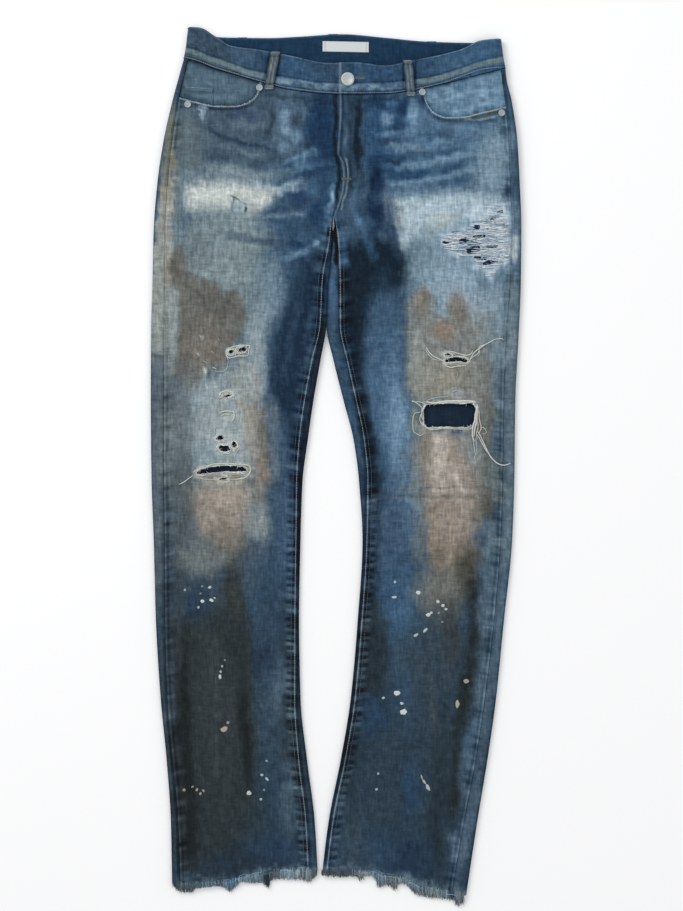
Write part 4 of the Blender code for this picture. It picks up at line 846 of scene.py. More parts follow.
FADING_AND_SHADE["right knee"] = [
    Cloud(222, 430, 42, 56, 0, 0.35, (150, 161, 163), 0.93),
    Cloud(190, 425, 14, 46, 0, 0.6, (118, 132, 138), 0.75),
    Cloud(198, 400, 10, 10, 0, 0.7, (140, 156, 164), 0.6),
    Cloud(242, 376, 13, 20, 0, 0.7, (154, 163, 161), 0.7),
    Cloud(205, 430, 12, 14, 0, 0.7, (160, 172, 176), 0.4),
    Cloud(226, 394, 8, 3.4, 0, 0.6, (190, 199, 196), 0.75),
    Cloud(227, 416, 7, 4.4, 0, 0.6, (182, 192, 190), 0.65),
    Cloud(226, 442, 13, 11, 0, 0.7, (170, 180, 180), 0.5),
    Cloud(224, 477.4, 27, 4.0, 0, 0.5, (196, 184, 170), 0.85),
    Cloud(248, 471, 4, 7, 0, 0.5, (186, 180, 170), 0.7),
    Cloud(204.6, 371, 1.6, 3, -20, 0.6, (190, 198, 196), 0.7),
    Cloud(207.4, 387.6, 1.5, 2.6, 0, 0.6, (182, 192, 190), 0.6),
    Cloud(200.8, 336.6, 1.8, 2.2, 0, 0.6, (168, 176, 174), 0.6),
    Cloud(198.6, 354.6, 1.5, 2.2, 0, 0.6, (168, 178, 178), 0.6),
    Cloud(194, 409, 2, 2.6, 0, 0.6, (178, 190, 192), 0.6),
    Cloud(180, 420, 10, 40, 0, 0.7, (98, 110, 116), 0.7),
    Cloud(208, 452, 14, 14, 0, 0.7, (120, 140, 152), 0.5),
    Streak([(246, 402), (252, 436), (260, 474)], 5, 9, (148, 142, 132), 0.7),
    Streak([(258, 408), (264, 446), (266, 480)], 3.5, 7, (118, 112, 102), 0.75),
    Streak([(272, 400), (276, 440), (276, 480)], 3.5, 6, (112, 124, 130), 0.6),
    Streak([(283, 432), (288, 470), (284, 530), (278, 580)], 5.5, 8, (66, 90, 114), 0.85),
    Streak([(292, 420), (294, 470), (294, 520)], 3.0, 5, (44, 62, 82), 0.7),
    Cloud(222, 486, 34, 10, 0, 0.6, (120, 128, 126), 0.7),
    Stain([(188, 490), (214, 484), (240, 482), (252, 488), (254, 506), (249, 524), (246, 546), (237, 562),
           (222, 566), (208, 554), (197, 536), (190, 512)], 12, 0, (152, 142, 130), 0.93),
    Cloud(222, 497, 18, 7, -4, 0.7, (168, 158, 148), 0.75),
    Cloud(226, 541, 16, 22, 0, 0.7, (124, 116, 104), 0.75),
    Cloud(262, 483, 8, 22, 6, 0.7, (138, 126, 114), 0.7),
    Cloud(258, 524, 10, 30, 0, 0.7, (126, 137, 139), 0.8),
    Cloud(248, 500, 3, 12, 0, 0.8, (172, 172, 164), 0.5),
    Cloud(255, 520, 7, 16, 0, 0.7, (144, 152, 150), 0.5),
    Cloud(200, 560, 24, 24, 0, 0.7, (102, 111, 113), 0.8),
    Cloud(183, 520, 9, 60, 0, 0.7, (84, 92, 95), 0.7),
    Streak([(166, 507), (186, 506), (206, 503)], 0.6, 1.6, (90, 90, 84), 0.4),
    Streak([(240, 499), (258, 498), (268, 499)], 0.6, 1.8, (104, 100, 94), 0.3),
]
FADING_AND_SHADE["left knee"] = [
    Cloud(480, 400, 15, 76, 0, 0.6, (122, 124, 120), 0.85),
    Cloud(490, 430, 5, 44, 0, 0.7, (100, 100, 94), 0.6),
    Cloud(416, 470, 8, 60, 0, 0.6, (120, 132, 132), 0.85),
    Cloud(434, 440, 14, 10, 0, 0.7, (150, 156, 150), 0.7),
    Stain([(424, 434), (446, 430), (459, 440), (468, 456), (477, 470), (483, 494), (481, 520), (475, 538),
           (468, 562), (452, 578), (438, 570), (428, 546), (420, 520), (423, 490), (420, 460)], 11, 0,
          (152, 141, 130), 0.93),
    Cloud(440, 446, 13, 17, 0, 0.6, (176, 170, 163), 0.8),
    Cloud(454, 448, 5, 16, 0, 0.7, (142, 128, 114), 0.7),
    Cloud(424, 452, 5, 22, 0, 0.7, (122, 112, 102), 0.6),
    Streak([(452, 470), (458, 482), (464, 494)], 2.0, 3, (190, 184, 176), 0.7),
    Cloud(441, 490, 12, 4, 0, 0.7, (174, 166, 158), 0.5),
    Cloud(476, 458, 6, 14, 0, 0.7, (146, 154, 150), 0.7),
    Cloud(489, 504, 7, 16, 0, 0.6, (84, 82, 74), 0.85),
    Cloud(477, 514, 6, 10, 0, 0.6, (96, 94, 86), 0.6),
    Cloud(482, 478, 12, 20, 0, 0.7, (124, 122, 114), 0.6),
    Cloud(452, 560, 24, 24, 0, 0.7, (116, 108, 96), 0.85),
    Cloud(444, 585, 18, 22, 0, 0.7, (112, 110, 104), 0.8),
    Cloud(465, 578, 12, 26, 0, 0.7, (74, 73, 66), 0.9),
    Cloud(434, 540, 5, 26, 0, 0.7, (136, 122, 106), 0.6),
    Cloud(450, 540, 5, 26, 0, 0.7, (148, 136, 122), 0.6),
    Cloud(405, 505, 14, 36, 0, 0.7, (98, 122, 142), 0.8),
    Cloud(489, 544, 8, 24, 0, 0.7, (116, 132, 140), 0.7),
    Cloud(392, 540, 18, 44, 0, 0.7, (66, 90, 116), 0.8),
    Cloud(420, 550, 8, 30, 0, 0.7, (96, 110, 116), 0.7),
    Streak([(402, 488), (430, 487), (464, 487), (480, 487)], 0.6, 1.6, (98, 96, 90), 0.4),
    Streak([(390, 497), (414, 496), (432, 498), (462, 497), (474, 498)], 0.6, 1.6, (84, 88, 88), 0.35),
    Cloud(440, 470, 12, 14, 0, 0.7, (188, 180, 170), 0.45),
    Cloud(499, 480, 8, 26, 0, 0.6, (114, 124, 124), 0.75),
    Streak([(446, 500), (434, 508), (420, 516)], 1.0, 2.5, (118, 108, 98), 0.55),
]
FADING_AND_SHADE["lower right leg"] = [
    Cloud(230, 740, 90, 170, 0, 0.35, (45, 60, 70), 0.97),
    Cloud(198, 590, 34, 20, 0, 0.6, (62, 80, 94), 0.85),
    Cloud(202, 560, 22, 16, 0, 0.6, (112, 120, 120), 0.75),
    Cloud(200, 800, 10, 30, 0, 0.7, (38, 48, 52), 0.4),
    Cloud(190, 604, 16, 14, 0, 0.7, (40, 62, 84), 0.7),
    Cloud(262, 600, 20, 44, 0, 0.6, (58, 82, 106), 0.85),
    Cloud(246, 570, 14, 20, 0, 0.7, (84, 96, 104), 0.5),
    Stain([(174, 634), (184, 620), (206, 624), (222, 602), (231, 570), (240, 572), (242, 600), (252, 628),
           (254, 652), (248, 690), (256, 720), (260, 764), (256, 800), (240, 826), (226, 852), (206, 868),
           (186, 870), (178, 850), (174, 800), (172, 740), (170, 680)], 9, 0, (48, 57, 60), 0.93),
    Cloud(233, 590, 9, 26, 0, 0.7, (62, 66, 66), 0.7),
    Cloud(213, 700, 22, 74, 0, 0.7, (56, 64, 67), 0.7),
    Streak([(180, 632), (183, 690), (186, 760), (190, 830), (188, 860)], 4.5, 8, (28, 37, 39), 0.93),
    Streak([(246, 692), (241, 714), (247, 744), (251, 790)], 2.6, 6, (28, 36, 38), 0.9),
    Streak([(226, 630), (240, 660), (244, 690)], 5, 10, (40, 50, 52), 0.6),
    Streak([(213, 640), (216, 700), (214, 770)], 1.8, 5, (66, 74, 78), 0.5),
    Streak([(232, 690), (230, 740), (228, 790)], 1.5, 5, (64, 71, 74), 0.45),
    Cloud(270, 640, 14, 54, 0, 0.6, (50, 70, 90), 0.9),
    Cloud(264, 664, 9, 16, 0, 0.7, (32, 48, 68), 0.8),
    Cloud(270, 720, 14, 50, 0, 0.6, (58, 79, 96), 0.9),
    Cloud(280, 690, 7, 30, 0, 0.7, (86, 106, 122), 0.6),
    Cloud(270, 780, 16, 30, 0, 0.7, (50, 70, 88), 0.8),
    Cloud(280, 820, 14, 40, 0, 0.6, (48, 70, 88), 0.85),
    Cloud(272, 855, 24, 18, 0, 0.6, (40, 64, 88), 0.85),
    Cloud(240, 868, 44, 14, 4, 0.6, (38, 54, 70), 0.85),
    Cloud(288, 800, 8, 44, 0, 0.6, (80, 100, 114), 0.65),
    Cloud(166, 700, 7, 200, 0, 0.5, (66, 80, 92), 0.85),
    Cloud(178, 620, 5, 60, 0, 0.6, (66, 74, 78), 0.6),
    Cloud(180, 810, 5, 70, 0, 0.6, (56, 64, 70), 0.6),
]
FADING_AND_SHADE["lower left leg"] = [
    Cloud(420, 760, 90, 160, 0, 0.35, (48, 66, 80), 0.97),
    Cloud(398, 600, 24, 34, 0, 0.6, (60, 90, 118), 0.92),
    Cloud(404, 622, 12, 26, 0, 0.7, (72, 104, 132), 0.7),
    Cloud(402, 680, 13, 44, 0, 0.7, (56, 84, 110), 0.75),
    Cloud(372, 660, 14, 70, 0, 0.6, (36, 50, 58), 0.85),
    Cloud(438, 592, 24, 18, 0, 0.7, (118, 120, 114), 0.8),
    Cloud(446, 612, 16, 20, 0, 0.7, (84, 88, 86), 0.75),
    Cloud(430, 660, 26, 36, 0, 0.7, (58, 74, 86), 0.85),
    Streak([(474, 586), (477, 620), (474, 650), (466, 690), (460, 730), (458, 770), (454, 810)], 4.5, 8,
           (34, 43, 45), 0.92),
    Cloud(452, 640, 10, 30, 0, 0.7, (60, 64, 66), 0.6),
    Cloud(432, 710, 5, 24, 0, 0.7, (76, 84, 88), 0.6),
    Cloud(492, 610, 12, 60, 0, 0.5, (86, 108, 124), 0.9),
    Cloud(484, 700, 11, 50, 0, 0.5, (80, 102, 118), 0.9),
    Cloud(470, 780, 11, 60, 8, 0.5, (76, 98, 116), 0.9),
    Cloud(458, 850, 9, 40, 8, 0.6, (66, 90, 112), 0.85),
    Cloud(374, 716, 14, 22, 0, 0.6, (42, 68, 94), 0.85),
    Cloud(350, 760, 9, 60, 0, 0.6, (38, 56, 68), 0.8),
    Cloud(352, 850, 14, 40, 0, 0.6, (56, 74, 86), 0.7),
    Cloud(410, 790, 10, 26, 0, 0.7, (44, 72, 102), 0.75),
    Cloud(404, 860, 26, 26, 0, 0.6, (34, 58, 80), 0.85),
    Cloud(438, 830, 7, 50, 4, 0.7, (32, 48, 60), 0.75),
    Cloud(378, 850, 16, 20, 0, 0.7, (48, 74, 100), 0.6),
    Cloud(440, 760, 8, 40, 6, 0.7, (40, 54, 60), 0.6),
    Cloud(460, 838, 9, 24, 8, 0.6, (92, 114, 132), 0.75),
    Cloud(467, 740, 7, 24, 6, 0.7, (72, 102, 128), 0.45),
]
FADING_AND_SHADE["pockets and fly"] = [
    # Painted shade: dark lines just below both front pocket mouths.
    Streak([(188, 101), (205, 106.6), (225, 109), (242, 107.4), (251, 102)], 1.2, 2.4, (40, 56, 70), 0.75),
    Streak([(430, 113), (438, 119), (456, 121.6), (466, 121.6), (500, 120)], 1.4, 3, (48, 74, 98), 0.6),
    Streak([(462, 118), (480, 115), (503, 109.6)], 2.4, 2, (88, 98, 98), 0.85),
    Streak([(464, 121), (482, 119.4), (502, 115)], 0.6, 1.0, (140, 158, 164), 0.7),
    Stain([(196.4, 104), (206.6, 105), (207.6, 109), (204, 117.6), (201, 121), (198.6, 114)], 1.2, 0, (130, 154, 171), 0.9),
    Cloud(197.6, 105.4, 1.4, 1.2, 0, 0.4, (40, 52, 60), 0.85),
    Cloud(200.6, 108, 1.2, 1.2, 0, 0.4, (52, 66, 78), 0.8),
    Cloud(198, 112, 1.2, 1.6, 0, 0.4, (58, 74, 88), 0.75),
    Streak([(351, 98), (352, 120), (352, 158)], 1.2, 3, (30, 48, 64), 0.3),
    Streak([(263, 92), (272, 96), (296, 99), (332, 101)], 1.0, 3.5, (42, 60, 76), 0.6),
    Streak([(356, 101), (380, 100), (400, 98)], 1.0, 3.5, (28, 46, 64), 0.6),
]
SHRED = [(440.7, 233.5), (459, 231), (474, 222), (488, 214), (488, 205), (501.7, 203.7), (509, 217), (509, 262),
         (500, 264.6), (494, 274.6), (490, 282), (483, 272), (475.5, 266), (472, 257), (458, 256), (447, 252),
         (442, 243.5)]
FADING_AND_SHADE["shredded patch"] = [
    Cloud(474, 243, 46, 34, -30, 0.6, (128, 152, 168), 0.8),
    Stain(SHRED, 4, 0, (180, 199, 212), 0.94),
    Cloud(470, 243, 10, 7, -12, 0.5, (78, 106, 134), 0.85),
    Cloud(456, 243, 8, 4, 0, 0.5, (88, 116, 142), 0.7),
    Cloud(480, 258, 8, 5, 10, 0.6, (96, 124, 148), 0.6),
    Cloud(479, 212, 12, 7, -20, 0.7, (186, 202, 211), 0.65),
    Cloud(514, 249, 4, 12, 0, 0.6, (196, 202, 200), 0.7),
]
FADING_AND_SHADE["crotch and outer edges"] = [
    # Painted shadow: black in the deep gap between the legs below the crotch, and a darker line beside it on the right
    # leg.
    Streak([(334.4, 224), (336, 244), (337, 262)], 1.8, 1.8, (14, 22, 30), 0.85),
    Streak([(331, 222), (330.4, 244), (328, 262)], 0.8, 2.0, (40, 56, 72), 0.6),
    Cloud(300, 160, 8, 10, 0, 0.6, (90, 122, 148), 0.6),
    Cloud(408, 150, 24, 15, 0, 0.8, (78, 108, 134), 0.45),
    Cloud(420, 190, 15, 8, 0, 0.8, (92, 119, 142), 0.5),
    Cloud(163, 250, 5, 24, 0, 0.5, (158, 159, 150), 0.75),
    Cloud(509, 350, 5, 18, 0, 0.5, (120, 138, 148), 0.7),
]


def outline_reach(x, y, outline):
    """Distance of each place from a closed outline, negative inside."""
    inside = np.zeros(x.shape, bool)
    for (ax, ay), (bx, by) in zip(outline, outline[1:] + outline[:1]):
        crosses = (ay > y) != (by > y)
        where = ax + (y - ay) * (bx - ax) / (by - ay if by != ay else 1e-9)
        inside ^= crosses & (x < where)
    reach = line_reach(x, y, outline + outline[:1])
    return np.where(inside, -reach, reach)


def lay_fading_and_shade(dye, x, y, rows):
    """Lays clouds, streaks and stains of fading and painted shade over the dye, in their order. x and y are in chart
    squares.
    """
    soft_x, soft_y = x + 4.2 * uneven(x, y, 19, 19, 31), y + 4.8 * uneven(x, y, 17, 21, 37)
    soft_x, soft_y = soft_x + 1.4 * uneven(x, y, 4, 5, 41), soft_y + 2.6 * uneven(x, y, 3, 9, 43)
    fine_x, fine_y = x + 1.5 * uneven(x, y, 8, 8, 47), y + 1.7 * uneven(x, y, 6, 8, 53)
    threads = uneven(x, y, 1.1, 8.0, 59) * 0.6 + uneven(x, y, 5.0, 1.0, 61) * 0.4
    for row in rows:
        if isinstance(row, Cloud):
            reach = max(row.half_wide, row.half_long) * (1 + row.soft) + 12
            near = (np.abs(x - row.x) < reach) & (np.abs(y - row.y) < reach)
            small = max(row.half_wide, row.half_long) < 15
            u = (fine_x if small else soft_x)[near] - row.x
            v = (fine_y if small else soft_y)[near] - row.y
            c, s = math.cos(math.radians(row.turn)), math.sin(math.radians(row.turn))
            r = np.hypot((u * c + v * s) / row.half_wide, (v * c - u * s) / row.half_long)
            mask = 1 - ease(1 - row.soft, 1 + row.soft, r)
        elif isinstance(row, Streak):
            places = np.array(row.points)
            reach = row.half_width + row.soft + 8
            near = (x > places[:, 0].min() - reach) & (x < places[:, 0].max() + reach)
            near &= (y > places[:, 1].min() - reach) & (y < places[:, 1].max() + reach)
            d = line_reach(fine_x[near], fine_y[near], row.points)
            mask = 1 - ease(max(0.0, row.half_width - row.soft / 2), row.half_width + row.soft, d)
            if row.soft >= 2:
                (ax, ay), (bx, by) = row.points[0], row.points[-1]
                from_end = np.minimum(np.hypot(x[near] - ax, y[near] - ay), np.hypot(x[near] - bx, y[near] - by))
                mask *= 0.3 + 0.7 * ease(-1.0, 8.0, from_end)
        else:
            places = np.array(row.outline)
            reach = row.soft + 10
            near = (x > places[:, 0].min() - reach) & (x < places[:, 0].max() + reach)
            near &= (y > places[:, 1].min() - reach) & (y < places[:, 1].max() + reach)
            d = outline_reach(fine_x[near], fine_y[near], row.outline)
            mask = 1 - ease(-row.soft, row.soft, d)
            dye[near] -= (row.tide * np.exp(-((d / 1.6) ** 2)) * (0.6 + 0.6 * uneven(x[near], y[near], 9, 9, 67)))[:, None]
        mask = np.clip(mask * (1 + 0.35 * threads[near] * (mask < 0.98)), 0, 1) * row.strength
        dye[near] += mask[:, None] * (np.array(row.colour) - dye[near])
    return dye


ROPING_PITCH = 10.4


def face_up_dye(side, x, down):
    """Dye of the side of the jeans that faces up, with painted shade along the seams and the edges of the legs, and how
    greasy it is.
    """
    cx, cy = x / SQUARE + SQUARE_ZERO[0], down / SQUARE + SQUARE_ZERO[1]
    dye = np.tile(np.array(INDIGO, float), (x.size, 1))
    for rows in FADING_AND_SHADE.values():
        lay_fading_and_shade(dye, cx, cy, rows)
    dye += (0.15 * (dye.mean(axis=1) - 106.0))[:, None]
    outer, inner, leg = silhouette(side, down)
    outseam = column(OUTER_ROWS, side + "_seam", down)
    inseam = column(INNER_ROWS, side + "_seam", down)
    # shade gathers the fine grain of the threads, the wear of the seams and, below, the painted shade of the seams and
    # edges.
    threads = 9.0 * uneven(cx, cy, 1.0, 7.0, 71) + 6.0 * uneven(cx, cy, 6.0, 0.9, 73) + 8.0 * uneven(cx, cy, 4, 4, 79)
    light = dye.mean(axis=1) / 110.0
    shade = threads * (0.45 + 0.55 * np.clip(light, 0, 1.4))
    sign = 1 if side == "right" else -1
    shown = np.clip((162.0 - dye.mean(axis=1)) / 56.0, 0.2, 1.0)
    for seam, which, wide, bars, rim, share in (
        (outseam, "outer", 9.0, 22.0 * shown, 15.0, shown),
        (inseam, "inner", 9.5, 38.0, 62.0 if side == "left" else 40.0, leg),
    ):
        inward = (x - seam) * (sign if which == "outer" else -sign)
        puckers = seam_puckers(side, which, down + 0.25 * inward)
        reach = np.exp(-(((inward - 4.0) / wide) ** 2)) * np.where(inward > 0, 1.0, 0.45)
        shade += share * bars * (puckers - 0.25) * reach
        shade += share * rim * (0.85 + 0.35 * puckers) * np.exp(-(((inward - 1.5) / 1.1) ** 2))
        # Painted shade: a dark line behind each felled seam, and a darker one on the far side of the seam where the
        # cloth dips.
        shade -= share * 22.0 * np.exp(-(((inward - 4.4) / 1.6) ** 2))
        shade -= share * 30.0 * np.exp(-(((inward + 1.4) / 1.4) ** 2))
        if which == "inner":
            rungs = ease(-0.4, 0.4, np.sin(2 * np.pi * (down + 2.2 * puckers) / ROPING_PITCH)) - 0.45
            rungs *= ease(520.0, 720.0, down) * (0.8 + 0.5 * uneven(cx, cy, 40, 9, 113))
            shade += share * 46.0 * rungs * np.exp(-(((inward - 7.8) / 5.8) ** 4))
    # Painted shade along the outer edges, and the inner edges below the crotch, where the cloth rolls under.
    shade -= 24.0 * shown * np.exp(-((x - outer) / 1.8) ** 2) + 24.0 * leg * np.exp(-((x - inner) / 1.8) ** 2)
    hem = column(HEMS[side], "down", x, "x")
    frayed = ease(15.0, 2.0, hem - down - 5.0 * uneven(cx, cy, 5, 5, 83)) * (0.65 + 0.35 * uneven(cx, cy, 1.0, 5, 89))
    frayed = np.clip(frayed * (0.75 + 0.5 * uneven(cx, cy, 16, 40, 97)), 0, 1)
    dye += frayed[:, None] * 0.8 * (np.array((128, 148, 160)) - dye)
    dye += shade[:, None]
    grease = np.clip((78.0 - dye.mean(axis=1)) / 30.0, 0, 1) * ease(540.0, 640.0, cy * 1.0) * 0.8
    return np.clip(dye, 6, 245), grease


def face_down_dye(x, down):
    """Dye of the back of the jeans, which the photograph hides: faded seat, thighs and calves."""
    cx, cy = x / SQUARE + SQUARE_ZERO[0], down / SQUARE + SQUARE_ZERO[1]
    dye = np.tile(np.array((56, 80, 104), float), (x.size, 1))
    rows = [
        Cloud(262, 190, 56, 56, 0, 0.6, (104, 128, 146), 0.8),
        Cloud(414, 190, 56, 56, 0, 0.6, (104, 128, 146), 0.8),
        Cloud(230, 350, 40, 90, 0, 0.7, (92, 114, 130), 0.7),
        Cloud(440, 350, 40, 90, 0, 0.7, (92, 114, 130), 0.7),
        Cloud(225, 640, 44, 80, 0, 0.7, (72, 92, 108), 0.7),
        Cloud(440, 640, 44, 80, 0, 0.7, (72, 92, 108), 0.7),
        Cloud(225, 850, 60, 40, 0, 0.6, (50, 62, 70), 0.8),
        Cloud(410, 850, 70, 40, 0, 0.6, (48, 62, 74), 0.8),
        Cloud(336, 250, 30, 40, 0, 0.7, (44, 66, 90), 0.7),
    ]
    for knee_x in (226, 428):
        for step, knee_y in enumerate((462, 478, 493, 508, 522)):
            lean = 6 * math.sin(step * 2.1)
            rows.append(Streak([(knee_x - 46, knee_y + lean), (knee_x, knee_y - 3), (knee_x + 46, knee_y - lean)], 1.6, 4,
                               (112, 134, 150), 0.6))
            rows.append(Streak([(knee_x - 44, knee_y + 7 + lean), (knee_x + 44, knee_y + 6 - lean)], 1.4, 4,
                               (42, 62, 84), 0.6))
    lay_fading_and_shade(dye, cx, cy, rows)
    dye += (6.0 * uneven(cx, cy, 1.6, 8.0, 101) + 5.0 * uneven(cx, cy, 5, 5, 103))[:, None]
    return np.clip(dye, 8, 240)


def inside_dye(x, down):
    """The dark wrong side of the cloth."""
    dye = np.tile(np.array((24, 40, 58), float), (x.size, 1))
    return np.clip(dye + (4.0 * uneven(x, down, 2.0, 9.0, 107) + 3.0 * uneven(x, down, 14, 14, 109))[:, None], 5, 200)


def round_dye(side, points):
    """Dye of cloth that turns from the face-up side of the garment to its back."""
    x, down = points[..., 0].ravel(), TOP_Y - points[..., 1].ravel()
    over = np.clip(ease(-0.35, 0.25, normals_of(points)[..., 2].ravel()), 0, 1)[:, None]
    up, _ = face_up_dye(side, x, down)
    return up * over + face_down_dye(x, down) * (1 - over)


def band_seam(x, on_top):
    """Where the panels start under the waistband, on the top layer and on the floor."""
    on_top = np.broadcast_to(on_top, np.shape(x))
    front = column(FRONT_BAND_ROWS, "seam", x, "x")
    back = column(BACK_BAND_ROWS, "seam", x, "x")
    return np.where(on_top, front, back) + SEAM_GAP


def yoke_seam(x):
    """The yoke's lower seam, deeper towards the centre back."""
    away = np.clip(np.abs(x - CENTRE_BACK_X) / YOKE_HALF_WIDTH, 0, 1)
    return YOKE_DEPTH_CENTRE + away * (YOKE_DEPTH_SIDE - YOKE_DEPTH_CENTRE)


back_denim = denim_material("faded_denim_back", 0.55, 0.42, 0.30, 0.07, 0.45)
yoke_grids, back_grids = {}, {}
BACK_CUTS = {
    "right": ((0.30, 0.98), 0.26),
    "left": ((0.30, 0.98), 0.26),
}
for side in ("right", "left"):
    yoke_grid = back_path(side, np.linspace(0, 1, 40)[:, None], band_seam,
                          lambda x: yoke_seam(x) - SEAM_GAP / 2, 8, 5, 56)
    back_grid = back_path(side, np.linspace(0, 1, 430)[:, None], lambda x, on_top: yoke_seam(x) + SEAM_GAP / 2,
                          lambda x: column(HEMS[side], "down", x, "x"), 9, 5, 36)
    yoke_grids[side], back_grids[side] = yoke_grid, back_grid
    for part, grid, flat, area in (("yoke", yoke_grid, (0.27, 0.075), 0.0135), ("back", back_grid, *BACK_CUTS[side])):
        places = (grid[..., 0].ravel(), TOP_Y - grid[..., 1].ravel())
        piece = closed_cloth(f"{part}_{side}_cloth", grid, CLOTH, round_dye(side, grid), inside_dye(*places))
        piece.data.materials.append(back_denim)
        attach(piece, "root")
        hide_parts(f"{part}_{side}")

# Front pocket facings and the coin pocket: the cloth seen inside each curved pocket opening. It runs under the
# front panel and is sewn into the side seam; the coin pocket is a small patch on the wearer's right one.
FlyRow = namedtuple("FlyRow", "down edge underlap")
FLY_ROWS = [
    FlyRow(40, 4.4, 28.0),
    FlyRow(113, 4.3, 30.0),
    FlyRow(164, 1.6, 30.0),
    FlyRow(176, 7.0, 26.0),
    FlyRow(190, 9.0, 12.0),
    FlyRow(212, 6.9, 7.0),
    FlyRow(228, 2.6, 4.0),
    FlyRow(246, -3.5, 0.6),
]
UNDERLAP_MARGIN = 20.0
RISE_ENDS = (CROTCH_DOWN - 2.0, CROTCH_DOWN + 14.0)
PocketRow = namedtuple("PocketRow", "x down")
POCKET_EDGES = {
    "right": [
        PocketRow(-98.5, 66.0),
        PocketRow(-101.0, 82.0),
        PocketRow(-107.5, 92.0),
        PocketRow(-118.0, 99.0),
        PocketRow(-133.0, 102.2),
        PocketRow(-156.0, 102.0),
        PocketRow(-180.0, 97.4),
        PocketRow(-216.0, 88.0),
    ],
    "left": [
        PocketRow(113.0, 74.0),
        PocketRow(116.6, 92.0),
        PocketRow(121.6, 103.6),
        PocketRow(130.6, 112.6),
        PocketRow(144.0, 116.8),
        PocketRow(164.0, 116.2),
        PocketRow(190.0, 110.4),
        PocketRow(232.0, 101.0),
    ],
}
FACING_TUCK = 12.0
FACING_DROP = {"right": 2 * (CLOTH + LAYER_GAP), "left": CLOTH + LAYER_GAP}
COIN_POCKET_X = (-196.0, -160.0)
COIN_POCKET_DOWN = (77.0, 118.0)


def open_cloth(name, points, drop, dye, grease=None, keep=None):
    """One layer of cloth with this grid as its top face, and every free edge rounded over and turned down, with painted
    shade on the turned-down rim.
    """
    rows, columns = points.shape[:2]
    flat = points.reshape(-1, 3).copy()
    normal = normals_of(points).reshape(-1, 3)
    quads = grid_quads(rows, columns)
    if keep is not None:
        quads = quads[keep.ravel()]
    edges = open_edges(quads)
    step = flat[edges[:, 1]] - flat[edges[:, 0]]
    outward = np.stack([step[:, 1], -step[:, 0], 0 * step[:, 0]], -1)
    outward /= np.maximum(np.linalg.norm(outward, axis=1, keepdims=True), 1e-6)
    push = np.zeros_like(flat)
    np.add.at(push, edges[:, 0], outward)
    np.add.at(push, edges[:, 1], outward)
    push /= np.maximum(np.linalg.norm(push, axis=1, keepdims=True), 1e-6)
    rim = np.unique(edges)
    place = np.full(len(flat), -1)
    place[rim] = np.arange(len(rim))
    count = len(flat)
    shoulder = flat[rim] - normal[rim] * 0.35
    low = flat[rim] - normal[rim] * drop
    flat[rim] -= push[rim] * 0.3
    a, b = edges[:, 0], edges[:, 1]
    sa, sb = place[a] + count, place[b] + count
    la, lb = sa + len(rim), sb + len(rim)
    faces = np.concatenate([quads, np.stack([b, a, sa, sb], -1), np.stack([sb, sa, la, lb], -1)])
    vertices = np.concatenate([flat, shoulder, low])
    # Painted shade: the lowest ring of the turned-down rim is darkened.
    dye = np.concatenate([dye, dye[rim], dye[rim] * 0.8])
    if grease is not None:
        grease = np.concatenate([grease, grease[rim], grease[rim]])
    used = np.unique(faces)
    renumber = np.full(len(vertices), -1)
    renumber[used] = np.arange(len(used))
    return make_piece(name, vertices[used], renumber[faces], dye[used], None if grease is None else grease[used])


pocket_denim = denim_material("faded_denim_pocket", 0.55, 0.42, 0.30, 0.07, 0.45)


def facing_dye(side, x, down):
    """Dye of a pocket facing: slate on the wearer's right, paler and mottled on the left, with painted shade towards
    the pocket mouth and under the waistband.
    """
    cx, cy = x / SQUARE + SQUARE_ZERO[0], down / SQUARE + SQUARE_ZERO[1]
    base = (82, 105, 121) if side == "right" else (108, 139, 163)
    dye = np.tile(np.array(base, float), (x.size, 1))
    mottle = uneven(cx, cy, 7, 4, 127) * (11.0 if side == "right" else 22.0)
    dye += mottle[:, None] + (6.0 * uneven(cx, cy, 1.4, 6, 131))[:, None]
    edge = column(sorted(POCKET_EDGES[side], key=lambda row: row.x), "down", x, "x")
    # Painted shade: darker towards the pocket mouth, where the front panel's edge shades the facing, and close under
    # the waistband.
    dye -= (34.0 * ease(-9.0, 1.0, down - edge))[:, None]
    seam = column(FRONT_BAND_ROWS, "seam", x, "x")
    dye -= (26.0 * ease(8.0, 0.0, down - seam))[:, None]
    return np.clip(dye, 8, 235)


for side in ("right", "left"):
    sign = 1 if side == "right" else -1
    v, u = np.linspace(0, 1, 46)[:, None], np.linspace(0, 1, 84)[None, :]
    inner_x = POCKET_EDGES[side][0].x + sign * FACING_TUCK
    edge_rows = sorted(POCKET_EDGES[side], key=lambda row: row.x)
    down = 0 * v + 0 * u
    for _ in range(4):
        outseam = column(OUTER_ROWS, side + "_seam", down) + sign * SEAM_GAP / 2
        x = outseam * (1 - u) + inner_x * u
        start = column(FRONT_BAND_ROWS, "seam", x, "x") + SEAM_GAP
        end = np.maximum(column(edge_rows, "down", x, "x") + FACING_TUCK, start + 2 * FACING_TUCK)
        down = start + v * (end - start)
    z = top_height(side, x, down) + pucker_height(side, x, down) - FACING_DROP[side] + CLOTH / 2
    points = grid_points(x, down, z)
    points = points[:, ::-1] if side == "left" else points
    places = (points[..., 0].ravel(), TOP_Y - points[..., 1].ravel())
    facing = open_cloth(f"pocket_facing_{side}_cloth", points, 1.1, facing_dye(side, *places))
    facing.data.materials.append(pocket_denim)
    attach(facing, "root")
    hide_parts("pocket_facing_" + side)

